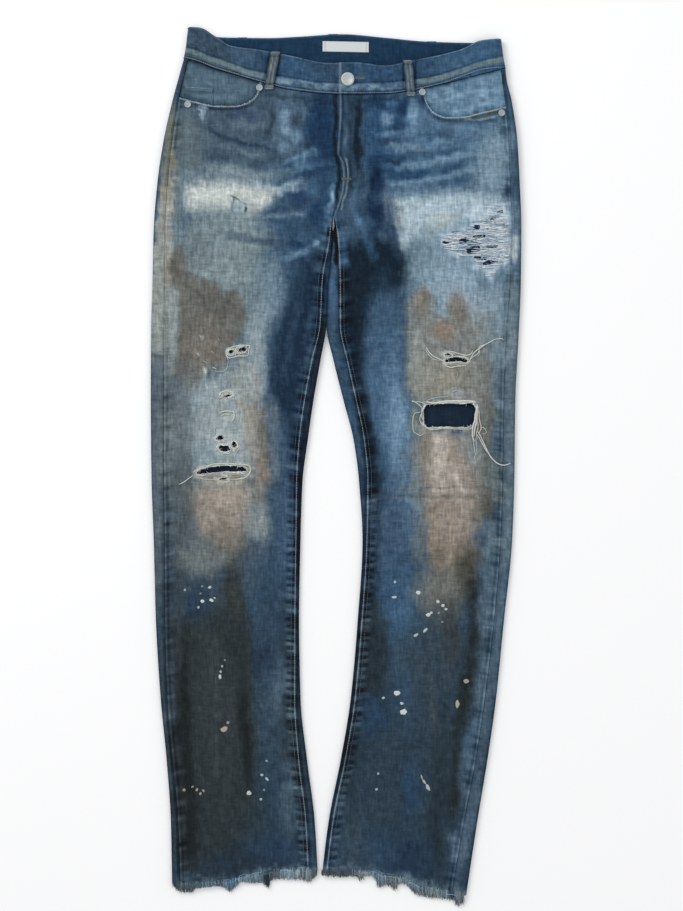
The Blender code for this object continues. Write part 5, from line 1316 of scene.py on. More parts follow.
x, down = np.meshgrid(np.linspace(*COIN_POCKET_X, 26), np.linspace(*COIN_POCKET_DOWN, 30))
down = down + 0.06 * (x - COIN_POCKET_X[0])
z = top_height("right", x, down) - FACING_DROP["right"] / 2 + CLOTH / 2
hem_line = (down - 0.06 * (x - COIN_POCKET_X[0]) - COIN_POCKET_DOWN[0]).ravel()
coin_dye = facing_dye("right", x.ravel(), down.ravel()) + (22.0 * ease(2.5, 0.0, hem_line))[:, None]
coin_dye -= (26.0 * np.exp(-(((hem_line - 6.0) / 1.0) ** 2)))[:, None]
coin_pocket = open_cloth("coin_pocket_cloth", grid_points(x, down, z), 1.1, np.clip(coin_dye, 8, 235))
coin_pocket.data.materials.append(pocket_denim)
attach(coin_pocket, "root")
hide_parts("coin_pocket")

# Fronts: one long panel of indigo twill for each leg, faded at the hips, thighs and knees, muddied and
# oiled, and worn through in holes. The wearer's left one laps over the right one at the fly.
RipRow = namedtuple("RipRow", "x down half_width half_height tilt bow squareness")
RIPS = {
    "right": [
        RipRow(-136.0, 421.5, 5.0, 2.2, 14, 0.0, 2.4),
        RipRow(-122.0, 419.0, 6.4, 3.2, 14, 0.0, 2.4),
        RipRow(-141.0, 478.6, 6.0, 2.2, 8, 0.6, 2.4),
        RipRow(-150.6, 533.6, 5.6, 3.0, 12, 0.0, 2.6),
        RipRow(-145.0, 546.6, 8.0, 4.4, -6, -0.6, 2.6),
        RipRow(-132.4, 542.4, 3.6, 4.2, 0, 0.0, 2.6),
        RipRow(-148.6, 577.0, 32.0, 3.8, 4, 3.0, 4.0),
        RipRow(-146.0, 588.6, 6.0, 2.1, 0, 1.0, 2.4),
    ],
    "left": [
        RipRow(156.8, 434.0, 15.0, 3.0, 0, 2.6, 3.0),
        RipRow(146.0, 425.6, 5.0, 2.1, -8, 0.0, 2.4),
        RipRow(147.8, 504.6, 33.8, 15.6, 1.5, 0.6, 6.0),
    ],
}
SHRED_HOLES = [
    RipRow(213.0, 240.6, 5.0, 2.2, 18, 0.0, 2.4),
    RipRow(204.5, 248.4, 4.2, 2.1, 20, 0.0, 2.4),
    RipRow(182.6, 260.4, 4.6, 3.8, 30, 0.0, 2.4),
    RipRow(198.6, 259.6, 4.8, 2.2, 22, 0.0, 2.4),
    RipRow(166.6, 277.0, 7.4, 3.6, 16, 0.0, 2.6),
    RipRow(186.0, 272.0, 9.0, 2.1, 6, 0.0, 3.0),
    RipRow(145.0, 279.6, 7.0, 2.1, 0, 0.0, 3.0),
    RipRow(178.4, 289.4, 9.6, 5.0, 14, 0.0, 2.8),
    RipRow(202.6, 285.0, 8.0, 2.1, 2, 0.0, 3.0),
    RipRow(187.6, 300.0, 8.6, 2.2, -8, 0.0, 2.8),
    RipRow(200.6, 305.6, 10.4, 3.0, 14, 0.6, 2.8),
]


def rip_outline(rip, steps=44, ragged=0.10):
    """Closed outline of one hole: a rounded slot, bowed, tilted and a little ragged."""
    turn = math.radians(rip.tilt)
    corners = []
    for step in range(steps):
        angle = 2 * math.pi * step / steps
        c, s = math.cos(angle), math.sin(angle)
        u = rip.half_width * math.copysign(abs(c) ** (2 / rip.squareness), c)
        v = rip.half_height * math.copysign(abs(s) ** (2 / rip.squareness), s)
        rough = float(uneven(rip.x + 7.0 * c, rip.down + 7.0 * s, 1.6, 1.6, 137))
        u, v = u * (1 + 0.4 * ragged * rough), v * (1 + ragged * rough)
        v += rip.bow * (1 - min(1.0, (u / rip.half_width) ** 2))
        corners.append((rip.x + u * math.cos(turn) - v * math.sin(turn),
                        rip.down - u * math.sin(turn) - v * math.cos(turn)))
    return corners


def nearest_on(x, y, outline):
    """Nearest place on a closed outline to each place."""
    best, near_x, near_y = np.full(x.shape, 1e9), x.copy(), y.copy()
    for (ax, ay), (bx, by) in zip(outline, outline[1:] + outline[:1]):
        dx, dy = bx - ax, by - ay
        t = np.clip(((x - ax) * dx + (y - ay) * dy) / max(dx * dx + dy * dy, 1e-9), 0, 1)
        px, py = ax + t * dx, ay + t * dy
        d = np.hypot(x - px, y - py)
        closer = d < best
        best, near_x, near_y = np.where(closer, d, best), np.where(closer, px, near_x), np.where(closer, py, near_y)
    return best, near_x, near_y


def front_rise(x, down):
    """Extra height of the left front where the right front runs under it at the fly."""
    edge = column(FLY_ROWS, "edge", down)
    underlap = column(FLY_ROWS, "underlap", down)
    over = 1 - ease(UNDERLAP_MARGIN, 2 * UNDERLAP_MARGIN, x - edge - underlap)
    return over * (CLOTH + LAYER_GAP) * (1 - ease(*RISE_ENDS, down))


def front_top(side, x, down):
    """Height of the upper face of a front panel."""
    z = top_height(side, x, down) + pucker_height(side, x, down) + CLOTH / 2
    return z + front_rise(x, down) if side == "left" else z


def front_places(side, rows, columns):
    """Where the points of a front panel lie: across, and down the garment."""
    u = np.linspace(0, 1, columns)[None, :]
    v = np.linspace(0, 1, rows)[:, None]
    sign = 1 if side == "right" else -1
    down = v * LENGTH + 0 * u
    for _ in range(4):
        outseam = column(OUTER_ROWS, side + "_seam", down)
        above = column(FLY_ROWS, "edge", down)
        if side == "right":
            above = above + column(FLY_ROWS, "underlap", down)
        below = column(INNER_ROWS, side + "_seam", down)
        inseam = above + (below - above) * ease(CROTCH_DOWN - 5.0, CROTCH_DOWN + 5.0, down)
        x = (outseam + sign * SEAM_GAP / 2) * (1 - u) + (inseam - sign * SEAM_GAP / 2) * u
        start = column(FRONT_BAND_ROWS, "seam", x[:1], "x") + SEAM_GAP
        end = column(HEMS[side], "down", x[-1:], "x") - 0.6 + 1.1 * uneven(x[-1:], 0 * x[-1:], 2.4, 50, 139)
        down = start + v * (end - start)
    if side == "left":
        x, down = x[:, ::-1], down[:, ::-1]
    return x.copy(), down.copy()


def white_rims(dye, x, down, outlines, reach, colour, strength):
    """Undyed, fluffed-up yarns along the rims of holes."""
    for outline in outlines:
        places = np.array(outline)
        near = (x > places[:, 0].min() - 12) & (x < places[:, 0].max() + 12)
        near &= (down > places[:, 1].min() - 12) & (down < places[:, 1].max() + 12)
        d = np.maximum(outline_reach(x[near], down[near], outline), 0.0)
        rough = 1 + 0.7 * uneven(x[near], down[near], 2.4, 2.4, 149)
        mask = np.clip(np.exp(-((d / (reach * rough)) ** 2)), 0, 1) * strength
        dye[near] += mask[:, None] * (np.array(colour) - dye[near])


front_denim = denim_material("faded_denim_front", 0.55, 0.42, 0.30, 0.07, 0.45)
FRONT_SIZES = {"right": (690, 129), "left": (690, 129)}
front_holes = {}
for side in ("right", "left"):
    x, down = front_places(side, *FRONT_SIZES[side])
    holes = [rip_outline(rip) for rip in RIPS[side]]
    if side == "left":
        holes += [rip_outline(rip) for rip in SHRED_HOLES]
    front_holes[side] = holes
    edge_rows = sorted(POCKET_EDGES[side], key=lambda row: row.x)
    mouth_x = np.linspace(edge_rows[0].x, edge_rows[-1].x, 60)
    mouth = list(zip(mouth_x.tolist(), column(edge_rows, "down", mouth_x, "x").tolist()))
    mouth += [(mouth[-1][0], 0.0), (mouth[0][0], 0.0)]
    for outline in holes + [mouth]:
        places = np.array(outline)
        near = (x > places[:, 0].min() - 3) & (x < places[:, 0].max() + 3)
        near &= (down > places[:, 1].min() - 3) & (down < places[:, 1].max() + 3)
        reach, near_x, near_y = nearest_on(x[near], down[near], outline)
        snap = reach < 0.85
        x[near] = np.where(snap, near_x, x[near])
        down[near] = np.where(snap, near_y, down[near])
    middle_x = (x[:-1, :-1] + x[1:, :-1] + x[1:, 1:] + x[:-1, 1:]) / 4
    middle_down = (down[:-1, :-1] + down[1:, :-1] + down[1:, 1:] + down[:-1, 1:]) / 4
    keep = np.ones(middle_x.shape, bool)
    for outline in holes + [mouth]:
        places = np.array(outline)
        near = (middle_x > places[:, 0].min()) & (middle_x < places[:, 0].max())
        near &= (middle_down > places[:, 1].min()) & (middle_down < places[:, 1].max())
        keep[near] &= outline_reach(middle_x[near], middle_down[near], outline) > 0
    z = front_top(side, x, down)
    for outline in holes:
        places = np.array(outline)
        near = (np.abs(x - places[:, 0].mean()) < 50) & (np.abs(down - places[:, 1].mean()) < 40)
        d = np.abs(outline_reach(x[near], down[near], outline))
        z[near] += 0.55 * np.exp(-((d / 1.8) ** 2)) * (1 + 0.5 * uneven(x[near], down[near], 3, 3, 151))
    dye, grease = face_up_dye(side, x.ravel(), down.ravel())
    flat_x, flat_down = x.ravel(), down.ravel()
    if side == "right":
        white_rims(dye, flat_x, flat_down, holes[:2], 3.0, (206, 212, 207), 0.94)
        white_rims(dye, flat_x, flat_down, holes[2:6], 2.9, (200, 207, 203), 0.92)
        white_rims(dye, flat_x, flat_down, holes[6:], 3.6, (212, 213, 205), 0.95)
    else:
        white_rims(dye, flat_x, flat_down, holes[:3], 3.0, (206, 210, 204), 0.94)
        white_rims(dye, flat_x, flat_down, holes[3:], 1.6, (206, 214, 216), 0.7)
        from_edge = flat_x - column(FLY_ROWS, "edge", flat_down)
        fly = 0.62 * np.exp(-(((from_edge - 1.2) / 1.2) ** 2)) * ease(252.0, 240.0, flat_down)
        fly *= 0.85 + 0.3 * uneven(flat_x, flat_down, 3, 9, 157)
        dye += fly[:, None] * (np.array((142, 158, 166)) - dye)
        dye -= (26.0 * np.exp(-(((from_edge - 4.4) / 1.4) ** 2)) * (flat_down < 240.0))[:, None]
    mouth_reach = outline_reach(flat_x, flat_down, mouth)
    dye += (66.0 * np.exp(-((np.maximum(mouth_reach, 0) / 1.7) ** 2)) * (mouth_reach > -2))[:, None]
    # Painted shade: a dark line on the front just below the pale rim of the pocket mouth.
    dye -= (24.0 * np.exp(-(((mouth_reach - 4.2) / 1.8) ** 2)))[:, None]
    front = open_cloth(f"front_{side}_cloth", grid_points(x, down, z), 1.15, np.clip(dye, 6, 245), grease, keep)
    front.data.materials.append(front_denim)
    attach(front, "root")
    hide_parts("front_" + side)

# Waistband: one straight strip of folded denim round the whole waist, from the buttonhole end over the
# wearer's left side, across the back and round to the end under the button. Its seam edge is sewn over
# the panels.
BandTone = namedtuple("BandTone", "x red green blue strip lines")
BAND_TONES = [
    BandTone(-197, 54, 75, 92, 10.5, 1.6),
    BandTone(-156, 54, 73, 90, 9.9, 1.2),
    BandTone(-114, 60, 86, 110, 7.4, 0.8),
    BandTone(-98, 46, 71, 97, 8.6, 0.8),
    BandTone(-57, 50, 82, 111, 9.4, 2.0),
    BandTone(-8, 52, 76, 100, 8.4, 1.6),
    BandTone(24, 44, 72, 100, 8.6, 1.4),
    BandTone(62, 46, 76, 106, 8.8, 1.2),
    BandTone(98, 42, 69, 95, 9.4, 1.2),
    BandTone(134, 50, 81, 109, 8.2, 1.2),
    BandTone(160, 60, 92, 120, 10.0, 3.0),
    BandTone(187, 60, 93, 124, 12.2, 5.6),
    BandTone(219, 52, 82, 108, 12.4, 1.4),
]


def band_dye(x, down, facing_up):
    """Dye of the waistband's outside: dark indigo, worn pale in a strip over its seam and along its fold, with painted
    shadow along its seam edge and beside the front belt loops.
    """
    side_dye = {}
    for side in ("right", "left"):
        side_dye[side], _ = face_up_dye(side, x, down + 4.0)
    dye = np.where((x < 6.0)[:, None], side_dye["right"], side_dye["left"])
    cx, cy = x / SQUARE + SQUARE_ZERO[0], down / SQUARE + SQUARE_ZERO[1]
    plain = np.stack([column(BAND_TONES, key, x, "x") for key in ("red", "green", "blue")], -1)
    dye = dye * 0.08 + plain * 0.92
    free = column(FRONT_BAND_ROWS, "free_edge", x, "x")
    above = column(FRONT_BAND_ROWS, "seam", x, "x") - down
    strip, lines = column(BAND_TONES, "strip", x, "x"), column(BAND_TONES, "lines", x, "x")
    base = (ease(-100.0, -84.0, x) * ease(112.0, 96.0, x))[:, None]
    warm = (1 - base) * np.array((110, 128, 133)) + base * np.array((117, 142, 160))
    centre = ease(-102, -86, x) * ease(102, 86, x)
    half = 3.4 + 1.2 * centre
    away = np.abs(above - strip + 0.8 * uneven(x, 0 * x, 15, 50, 163)) / half
    blotch = 1 - centre * (0.27 - 0.62 * uneven(x, above, 5.0, 4.4, 167))
    ridge = ease(1.3, 0.7, away) * np.clip(blotch * (0.9 + 0.2 * uneven(x, 0 * x, 7.0, 50, 169)), 0, 1.1)
    dye += ridge[:, None] * 0.92 * (warm - dye)
    dye -= (20.0 * np.exp(-(((above - strip - half - 1.6) / 1.2) ** 2)))[:, None]
    dashes = 0.8 + 0.5 * uneven(x, 0 * x, 2.4, 50, 173)
    dye += (34.0 * dashes * np.exp(-(((above - lines) / 0.7) ** 2)))[:, None]
    dye -= (24.0 * np.exp(-(((above - lines - 1.8) / 0.8) ** 2)))[:, None]
    dye += (16.0 * (1 - centre) * np.exp(-(((above - lines - 3.4) / 0.7) ** 2)))[:, None]
    # Painted shadow: a dark line along the band's seam edge.
    dye -= (40.0 * np.exp(-(((above - lines + 1.5) / 0.7) ** 2)))[:, None]
    dye += (34.0 * np.exp(-(((down - free - 0.5) / 1.1) ** 2)) * (0.8 + 0.4 * uneven(x, 0 * x, 6, 50, 179)))[:, None]
    dye += (10.0 * uneven(cx, cy, 4, 3, 181) + 8.0 * uneven(cx, cy, 1.2, 5, 191))[:, None]
    # Painted shadow beside both front belt loops.
    beside = np.minimum(np.abs(x + 83.0 + 0.22 * (down - 53.5)), np.abs(x - 95.4))
    dye -= (34.0 * np.exp(-(((beside - 7.6) / 1.8) ** 2)))[:, None]
    lap = np.exp(-(((x - 5.2) / 1.5) ** 2)) * (x > 3.0)
    dye += lap[:, None] * 0.8 * (np.array((142, 158, 166)) - dye)
    return dye * facing_up + face_down_dye(x, down) * (1 - facing_up)


band_denim = denim_material("faded_denim_band", 0.50, 0.42, 0.30, 0.07, 0.45)
tops = {}
for side in ("left", "right"):
    x, down = front_places(side, 3, 129)
    z = top_height(side, x[0], down[0]) + pucker_height(side, x[0], down[0])
    z = z + front_rise(x[0], down[0]) if side == "left" else z
    tops[side] = grid_points(x[0], down[0], z)
left_back, right_back = yoke_grids["left"][0][1:-1], yoke_grids["right"][0][:-1]
seam_path = np.concatenate([tops["left"], left_back, right_back, tops["right"]])
index = np.arange(len(seam_path))
on_back = (index >= 129) & (index < len(seam_path) - 129)
turned = np.minimum(index - 128, len(seam_path) - 129 - index)
front = 1 - np.clip((turned - 7) / 5, 0, 1) * on_back
x = seam_path[:, 0]
free_down = front * column(FRONT_BAND_ROWS, "free_edge", x, "x")
free_down += (1 - front) * column(BACK_BAND_ROWS, "free_edge", x, "x")
seam_down = TOP_Y - seam_path[:, 1] - SEAM_GAP
thicker = BAND_CLOTH - CLOTH
lap_rise = (index < 129) * front_rise(x, seam_down) * thicker / (CLOTH + LAYER_GAP)
z = seam_path[:, 2] + thicker / 2 + lap_rise
share = np.concatenate([np.array([0.0, 0.012, 0.03]), np.linspace(0.055, 1.0, 27)])[:, None]
down = free_down + share * (seam_down - free_down)
wave = 0.22 * uneven(x[None, :] + 0 * down, down, 13, 30, 193) * front * np.sin(np.pi * share)
lean = 6.3 * ease(-150.0, -199.0, x) - 6.2 * ease(168.0, 220.0, x)
points = grid_points(x[None, :] + lean[None, :] * (1 - share) ** 0.7, down, z[None, :] + wave)
fold = np.sqrt(np.clip(1 - (1 - np.clip((down - free_down) / 1.3, 0, 1)) ** 2, 0.02, 1))
ridge = 0.35 * np.exp(-(((seam_down - down - 6.0) / 5.0) ** 2)) * (1 + 0.6 * uneven(x[None, :] + 0 * down, 0 * down, 8, 50, 167))
points[..., 2] += ridge * front[None, :] * (normals_of(points)[..., 2] > 0.5)
places = (points[..., 0].ravel(), TOP_Y - points[..., 1].ravel())
facing_up = ease(-0.3, 0.3, normals_of(points)[..., 2].ravel())[:, None]
inner = np.tile(np.array((21, 51, 77), float), (places[0].size, 1))
inner += (5.0 * uneven(places[0], places[1], 2, 10, 197) + 4.0 * uneven(places[0], places[1], 18, 6, 199))[:, None]
inner_edge = np.exp(-(((places[1] - column(BACK_BAND_ROWS, "free_edge", places[0], "x") - 1.0) / 1.4) ** 2))
inner += (26.0 * inner_edge)[:, None]
waistband = closed_cloth("waistband_cloth", points, BAND_CLOTH * fold[..., None], np.clip(band_dye(*places, facing_up), 8, 240),
                         np.clip(inner, 5, 200))
waistband.data.materials.append(band_denim)
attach(waistband, "root")
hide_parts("waistband")

# Label: a blank white tape, woven with fine ribs, folded under at both ends and sewn inside the back of the
# waistband with a few stitches at each end.
LABEL_X, LABEL_DOWN, LABEL_CLOTH = (-17.4, 42.6), (17.6, 31.2), 1.0
x, down = np.meshgrid(np.linspace(*LABEL_X, 61), np.linspace(*LABEL_DOWN, 17))
from_end = np.minimum(x - LABEL_X[0], LABEL_X[1] - x)
down_tilted = down + 0.02 * (x - LABEL_X[0])
top = BAND_CLOTH + LAYER_GAP + LABEL_CLOTH + floor_lift(down_tilted)
top = top - 0.28 * ease(2.0, 6.0, from_end) + 0.10 * np.sin(x / 7.0)
tape = np.tile(np.array((214, 219, 220), float), (x.size, 1))
tape -= (26.0 * np.exp(-(((from_end.ravel() - 3.2) / 0.8) ** 2)))[:, None]
tape -= (12.0 * ease(1.6, 0.0, np.minimum(down - LABEL_DOWN[0], LABEL_DOWN[1] - down).ravel()))[:, None]
label = open_cloth("label_tape", grid_points(x, down_tilted, top), 0.9, tape)
tape_material = bpy.data.materials.new("woven_tape")
tape_material.use_nodes = True
tree = tape_material.node_tree
shader = tree.nodes["Principled BSDF"]
dye_colour = add_node(tree, "ShaderNodeAttribute", {"attribute_name": "dye"})
place = add_node(tree, "ShaderNodeTexCoord").outputs["Object"]
ribs = add_node(tree, "ShaderNodeTexWave", {"wave_type": "BANDS", "bands_direction": "X"}, Vector=place, Scale=420.0,
                Distortion=0.6)
threads = add_node(tree, "ShaderNodeTexNoise", None, Vector=place, Scale=1500.0, Detail=2.0)
tone = add_node(tree, "ShaderNodeMapRange", None, Value=threads.outputs["Fac"])
tone.inputs["To Min"].default_value, tone.inputs["To Max"].default_value = 0.88, 1.06
tinted = add_node(tree, "ShaderNodeVectorMath", {"operation": "SCALE"}, i0=dye_colour.outputs["Color"],
                  Scale=tone.outputs[0])
tree.links.new(tinted.outputs[0], shader.inputs["Base Color"])
lift = add_node(tree, "ShaderNodeBump", None, Strength=0.4, Distance=0.0002, Height=ribs.outputs["Fac"])
tree.links.new(lift.outputs["Normal"], shader.inputs["Normal"])
shader.inputs["Roughness"].default_value = 0.6
label.data.materials.append(tape_material)
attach(label, "root")
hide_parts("label")

# Belt loops: narrow strips of denim folded in three, sewn down past both edges of the waistband, two on the
# front and three under the back.
LoopRow = namedtuple("LoopRow", "name x_free x_seam on_front")
LOOP_ROWS = [
    LoopRow("belt_loop_front_right", -78.5, -87.5, True),
    LoopRow("belt_loop_front_left", 93.0, 97.6, True),
    LoopRow("belt_loop_back_right", -122.0, -124.0, False),
    LoopRow("belt_loop_back_centre", -3.6, -3.6, False),
    LoopRow("belt_loop_back_left", 124.0, 126.0, False),
]
LOOP_WIDTH, LOOP_ARCH, LOOP_PAST_EDGE, LOOP_PAST_SEAM = 12.5, 1.6, 1.0, 7.0
loop_denim = denim_material("faded_denim_loop", 0.45, 0.36, 0.30, 0.07, 0.45)


def loop_places(loop, v, u):
    """Places along a belt loop, with the height of its middle."""
    rows = FRONT_BAND_ROWS if loop.on_front else BACK_BAND_ROWS
    start = float(column(rows, "free_edge", loop.x_free, "x")) - LOOP_PAST_EDGE
    end = float(column(rows, "seam", loop.x_seam, "x")) + LOOP_PAST_SEAM
    down = start + v * (end - start) + 0 * u
    x = loop.x_free + v * (loop.x_seam - loop.x_free) + u * LOOP_WIDTH
    if not loop.on_front:
        return x, down, LOOP_CLOTH / 2 + 0 * x
    side = "right" if loop.x_free < 0 else "left"
    band_top = top_height(side, x * 0 + loop.x_seam, down) + BAND_CLOTH - CLOTH / 2
    return x, down, band_top + LAYER_GAP + LOOP_CLOTH / 2 + LOOP_ARCH * np.sin(math.pi * v) ** 2 + 0 * u


for loop in LOOP_ROWS:
    v, u = np.linspace(0, 1, 41)[:, None], np.linspace(-0.5, 0.5, 13)[None, :]
    x, down, z = loop_places(loop, v, u)
    crown = 0.35 * (1 - (2 * u) ** 4) + 0 * v if loop.on_front else 0 * x
    thickness = LOOP_CLOTH * (1 - 0.3 * (2 * np.abs(u)) ** 6) + 0 * v
    tone = (78, 90, 96) if loop.name.endswith("front_right") else (74, 89, 99)
    tone = tone if loop.on_front else (64, 88, 112)
    dye = np.tile(np.array(tone, float), (x.size, 1))
    across, along = np.abs(2 * u + 0 * v).ravel(), (v + 0 * u).ravel()
    # Pale worn lines along the folds, and painted shade on the loop's long rounded edges.
    dye += (30.0 * np.exp(-(((across - 0.35) / 0.16) ** 2)) - 44.0 * ease(0.7, 1.0, across))[:, None]
    dye += (34.0 * (np.exp(-((along / 0.05) ** 2)) + np.exp(-(((along - 1) / 0.06) ** 2))))[:, None]
    dye -= (30.0 * (np.exp(-(((along - 0.12) / 0.03) ** 2)) + np.exp(-(((along - 0.86) / 0.03) ** 2))))[:, None]
    dye += (13.0 * uneven(x, down, 3.0, 5.0, 211)).ravel()[:, None]
    piece = closed_cloth(loop.name + "_cloth", grid_points(x, down, z + crown * 0.5), thickness[..., None],
                         np.clip(dye, 8, 235), np.clip(dye * 0.6, 8, 235))
    piece.data.materials.append(loop_denim)
    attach(piece, "root")
    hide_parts(loop.name)

# Back patch pockets: five-sided denim patches sewn on the outside of the back, flat on the floor.
BACK_POCKET_WIDTH, BACK_POCKET_CLOTH = 144.0, 1.5
for side, centre in (("right", -106.0), ("left", 104.0)):
    u, v = np.linspace(-0.5, 0.5, 73)[None, :], np.linspace(0, 1, 71)[:, None]
    x = centre + u * BACK_POCKET_WIDTH + 0 * v
    depth = BACK_POCKET_SIDE + BACK_POCKET_POINT * (1 - np.abs(2 * u))
    down = BACK_POCKET_TOP + v * depth
    points = grid_points(x, down, BACK_POCKET_CLOTH / 2)[:, ::-1]
    x, down = points[..., 0].ravel(), TOP_Y - points[..., 1].ravel()
    from_side = BACK_POCKET_WIDTH / 2 - np.abs(x - centre)
    from_foot = BACK_POCKET_TOP + BACK_POCKET_SIDE + BACK_POCKET_POINT * (1 - np.abs(x - centre) * 2 / BACK_POCKET_WIDTH) - down
    from_rim = np.minimum(from_side, from_foot)
    dye = face_down_dye(x, down) * 0.94
    dye += (36.0 * np.exp(-((from_rim / 1.8) ** 2)) + 24.0 * np.exp(-(((from_rim - 9) / 3.0) ** 2)))[:, None]
    dye += (40.0 * np.exp(-(((down - BACK_POCKET_TOP) / 2.0) ** 2)) - 20.0 * np.exp(-(((down - BACK_POCKET_TOP - 12) / 1.4) ** 2)))[:, None]
    patch = closed_cloth(f"back_pocket_{side}_cloth", points, BACK_POCKET_CLOTH, np.clip(dye, 8, 235), inside_dye(x, down))
    patch.data.materials.append(back_denim)
    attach(patch, "root")
    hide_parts("back_pocket_" + side)

# Button and rivets: a shank button of nickelled brass with a raised rim and a flat middle, and four small
# domed rivets with a nipple, all struck through the cloth.
metal = bpy.data.materials.new("nickelled_brass")
metal.use_nodes = True
tree = metal.node_tree
shader = tree.nodes["Principled BSDF"]
place = add_node(tree, "ShaderNodeTexCoord").outputs["Object"]
wear = add_node(tree, "ShaderNodeTexNoise", None, Vector=place, Scale=900.0, Detail=4.0, Roughness=0.65)
ramp = add_node(tree, "ShaderNodeValToRGB", None, Fac=wear.outputs["Fac"])
ramp.color_ramp.elements[0].position, ramp.color_ramp.elements[0].color = 0.3, (0.34, 0.38, 0.38, 1.0)
ramp.color_ramp.elements[1].position, ramp.color_ramp.elements[1].color = 0.6, (0.58, 0.62, 0.61, 1.0)
tree.links.new(ramp.outputs["Color"], shader.inputs["Base Color"])
rough = add_node(tree, "ShaderNodeMapRange", None, Value=wear.outputs["Fac"])
rough.inputs["To Min"].default_value, rough.inputs["To Max"].default_value = 0.42, 0.62
tree.links.new(rough.outputs[0], shader.inputs["Roughness"])
dents = add_node(tree, "ShaderNodeBump", None, Strength=0.15, Distance=0.0002, Height=wear.outputs["Fac"])
tree.links.new(dents.outputs["Normal"], shader.inputs["Normal"])
shader.inputs["Metallic"].default_value = 0.35
dull_metal = metal.copy()
dull_metal.name = "dull_nickel"
dull_ramp = dull_metal.node_tree.nodes[ramp.name].color_ramp
dull_ramp.elements[0].color, dull_ramp.elements[1].color = (0.24, 0.29, 0.31, 1.0), (0.42, 0.48, 0.50, 1.0)


def face_pick(piece, test):
    """Selects the faces whose middle passes the test, and nothing else, and goes into edit mode."""
    bpy.ops.object.mode_set(mode="EDIT")
    bpy.ops.mesh.select_mode(type="FACE")
    bpy.ops.mesh.select_all(action="DESELECT")
    bpy.ops.object.mode_set(mode="OBJECT")
    for polygon in piece.data.polygons:
        polygon.select = bool(test(polygon))
    bpy.ops.object.mode_set(mode="EDIT")


def struck_head(name, radius, height, sides):
    """A turned disc standing on z = 0 with its rim rounded over."""
    bpy.ops.object.select_all(action="DESELECT")
    bpy.ops.mesh.primitive_cylinder_add(vertices=sides, radius=radius * MM, depth=height * MM,
                                        location=(0, 0, height / 2 * MM))
    piece = bpy.context.object
    piece.name = name
    bpy.ops.object.transform_apply(location=True, rotation=True, scale=True)
    bpy.ops.object.mode_set(mode="EDIT")
    bpy.ops.mesh.select_mode(type="EDGE")
    bpy.ops.mesh.select_all(action="DESELECT")
    bpy.ops.object.mode_set(mode="OBJECT")
    for edge in piece.data.edges:
        a, b = (piece.data.vertices[i].co for i in edge.vertices)
        edge.select = a.z > height * 0.9 * MM and b.z > height * 0.9 * MM
    bpy.ops.object.mode_set(mode="EDIT")
    bpy.ops.mesh.bevel(offset=min(0.42 * height, 0.3 * radius) * MM, segments=4, profile=0.5)
    bpy.ops.object.mode_set(mode="OBJECT")
    return piece


def set_down(piece, place, base_z, node, finish):
    """Puts a finished head at its place on the cloth and gives it its metal."""
    piece.location = (place[0] * MM, (TOP_Y - place[1]) * MM, base_z * MM)
    bpy.ops.object.select_all(action="DESELECT")
    piece.select_set(True)
    bpy.context.view_layer.objects.active = piece
    bpy.ops.object.transform_apply(location=True, rotation=True, scale=True)
    bpy.ops.object.shade_smooth_by_angle(angle=math.radians(50))
    piece.data.materials.append(finish)
    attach(piece, "root")
    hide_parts(node)


def crown_of(piece):
    """Picks the flat top of a struck head."""
    face_pick(piece, lambda p: len(p.vertices) > 12 and p.normal.z > 0.99)


BUTTON_PLACE = (15.2, 68.4)
button = struck_head("button_head", 8.7, 3.6, 48)
crown_of(button)
bpy.ops.mesh.inset(thickness=1.1 * MM, depth=0.0)
bpy.ops.mesh.inset(thickness=0.35 * MM, depth=-0.22 * MM)
bpy.ops.mesh.inset(thickness=3.9 * MM, depth=0.08 * MM)
bpy.ops.mesh.inset(thickness=0.5 * MM, depth=-0.12 * MM)
bpy.ops.object.mode_set(mode="OBJECT")
button_base = float(top_height("left", np.array(BUTTON_PLACE[0]), np.array(BUTTON_PLACE[1])))
button_base += 2 * BAND_CLOTH + 2 * LAYER_GAP - CLOTH / 2
set_down(button, BUTTON_PLACE, button_base, "button", metal)
RIVET_PLACES = {
    "rivet_right_inner": (-99.4, 78.6),
    "rivet_right_outer": (-192.5, 100.5),
    "rivet_left_inner": (112.2, 84.4),
    "rivet_left_outer": (215.2, 111.6),
}
for name, place in RIVET_PLACES.items():
    rivet = struck_head(name + "_head", 4.4, 1.5, 28)
    crown_of(rivet)
    bpy.ops.mesh.inset(thickness=0.6 * MM, depth=0.0)
    bpy.ops.mesh.inset(thickness=0.35 * MM, depth=-0.35 * MM)
    bpy.ops.mesh.inset(thickness=0.9 * MM, depth=0.0)
    bpy.ops.mesh.inset(thickness=0.35 * MM, depth=0.5 * MM)
    bpy.ops.object.mode_set(mode="OBJECT")
    rivet_side = "right" if place[0] < 0 else "left"
    rivet_base = float(front_top(rivet_side, np.array(place[0]), np.array(place[1]))) + 0.35
    set_down(rivet, place, rivet_base, name, dull_metal)

# Sewing: topstitching in faded grey-tan cotton thread along the waistband, pockets, fly, crotch, inseams and
# side seams, satin bar tacks where it is pulled hardest, and a close zigzag round the buttonhole.
THREAD_RADIUS = 0.42
STITCH_RISE = (-0.15, 0.30, -0.15)
PALE_THREAD, GREY_THREAD = (184, 190, 186), (84, 98, 110)


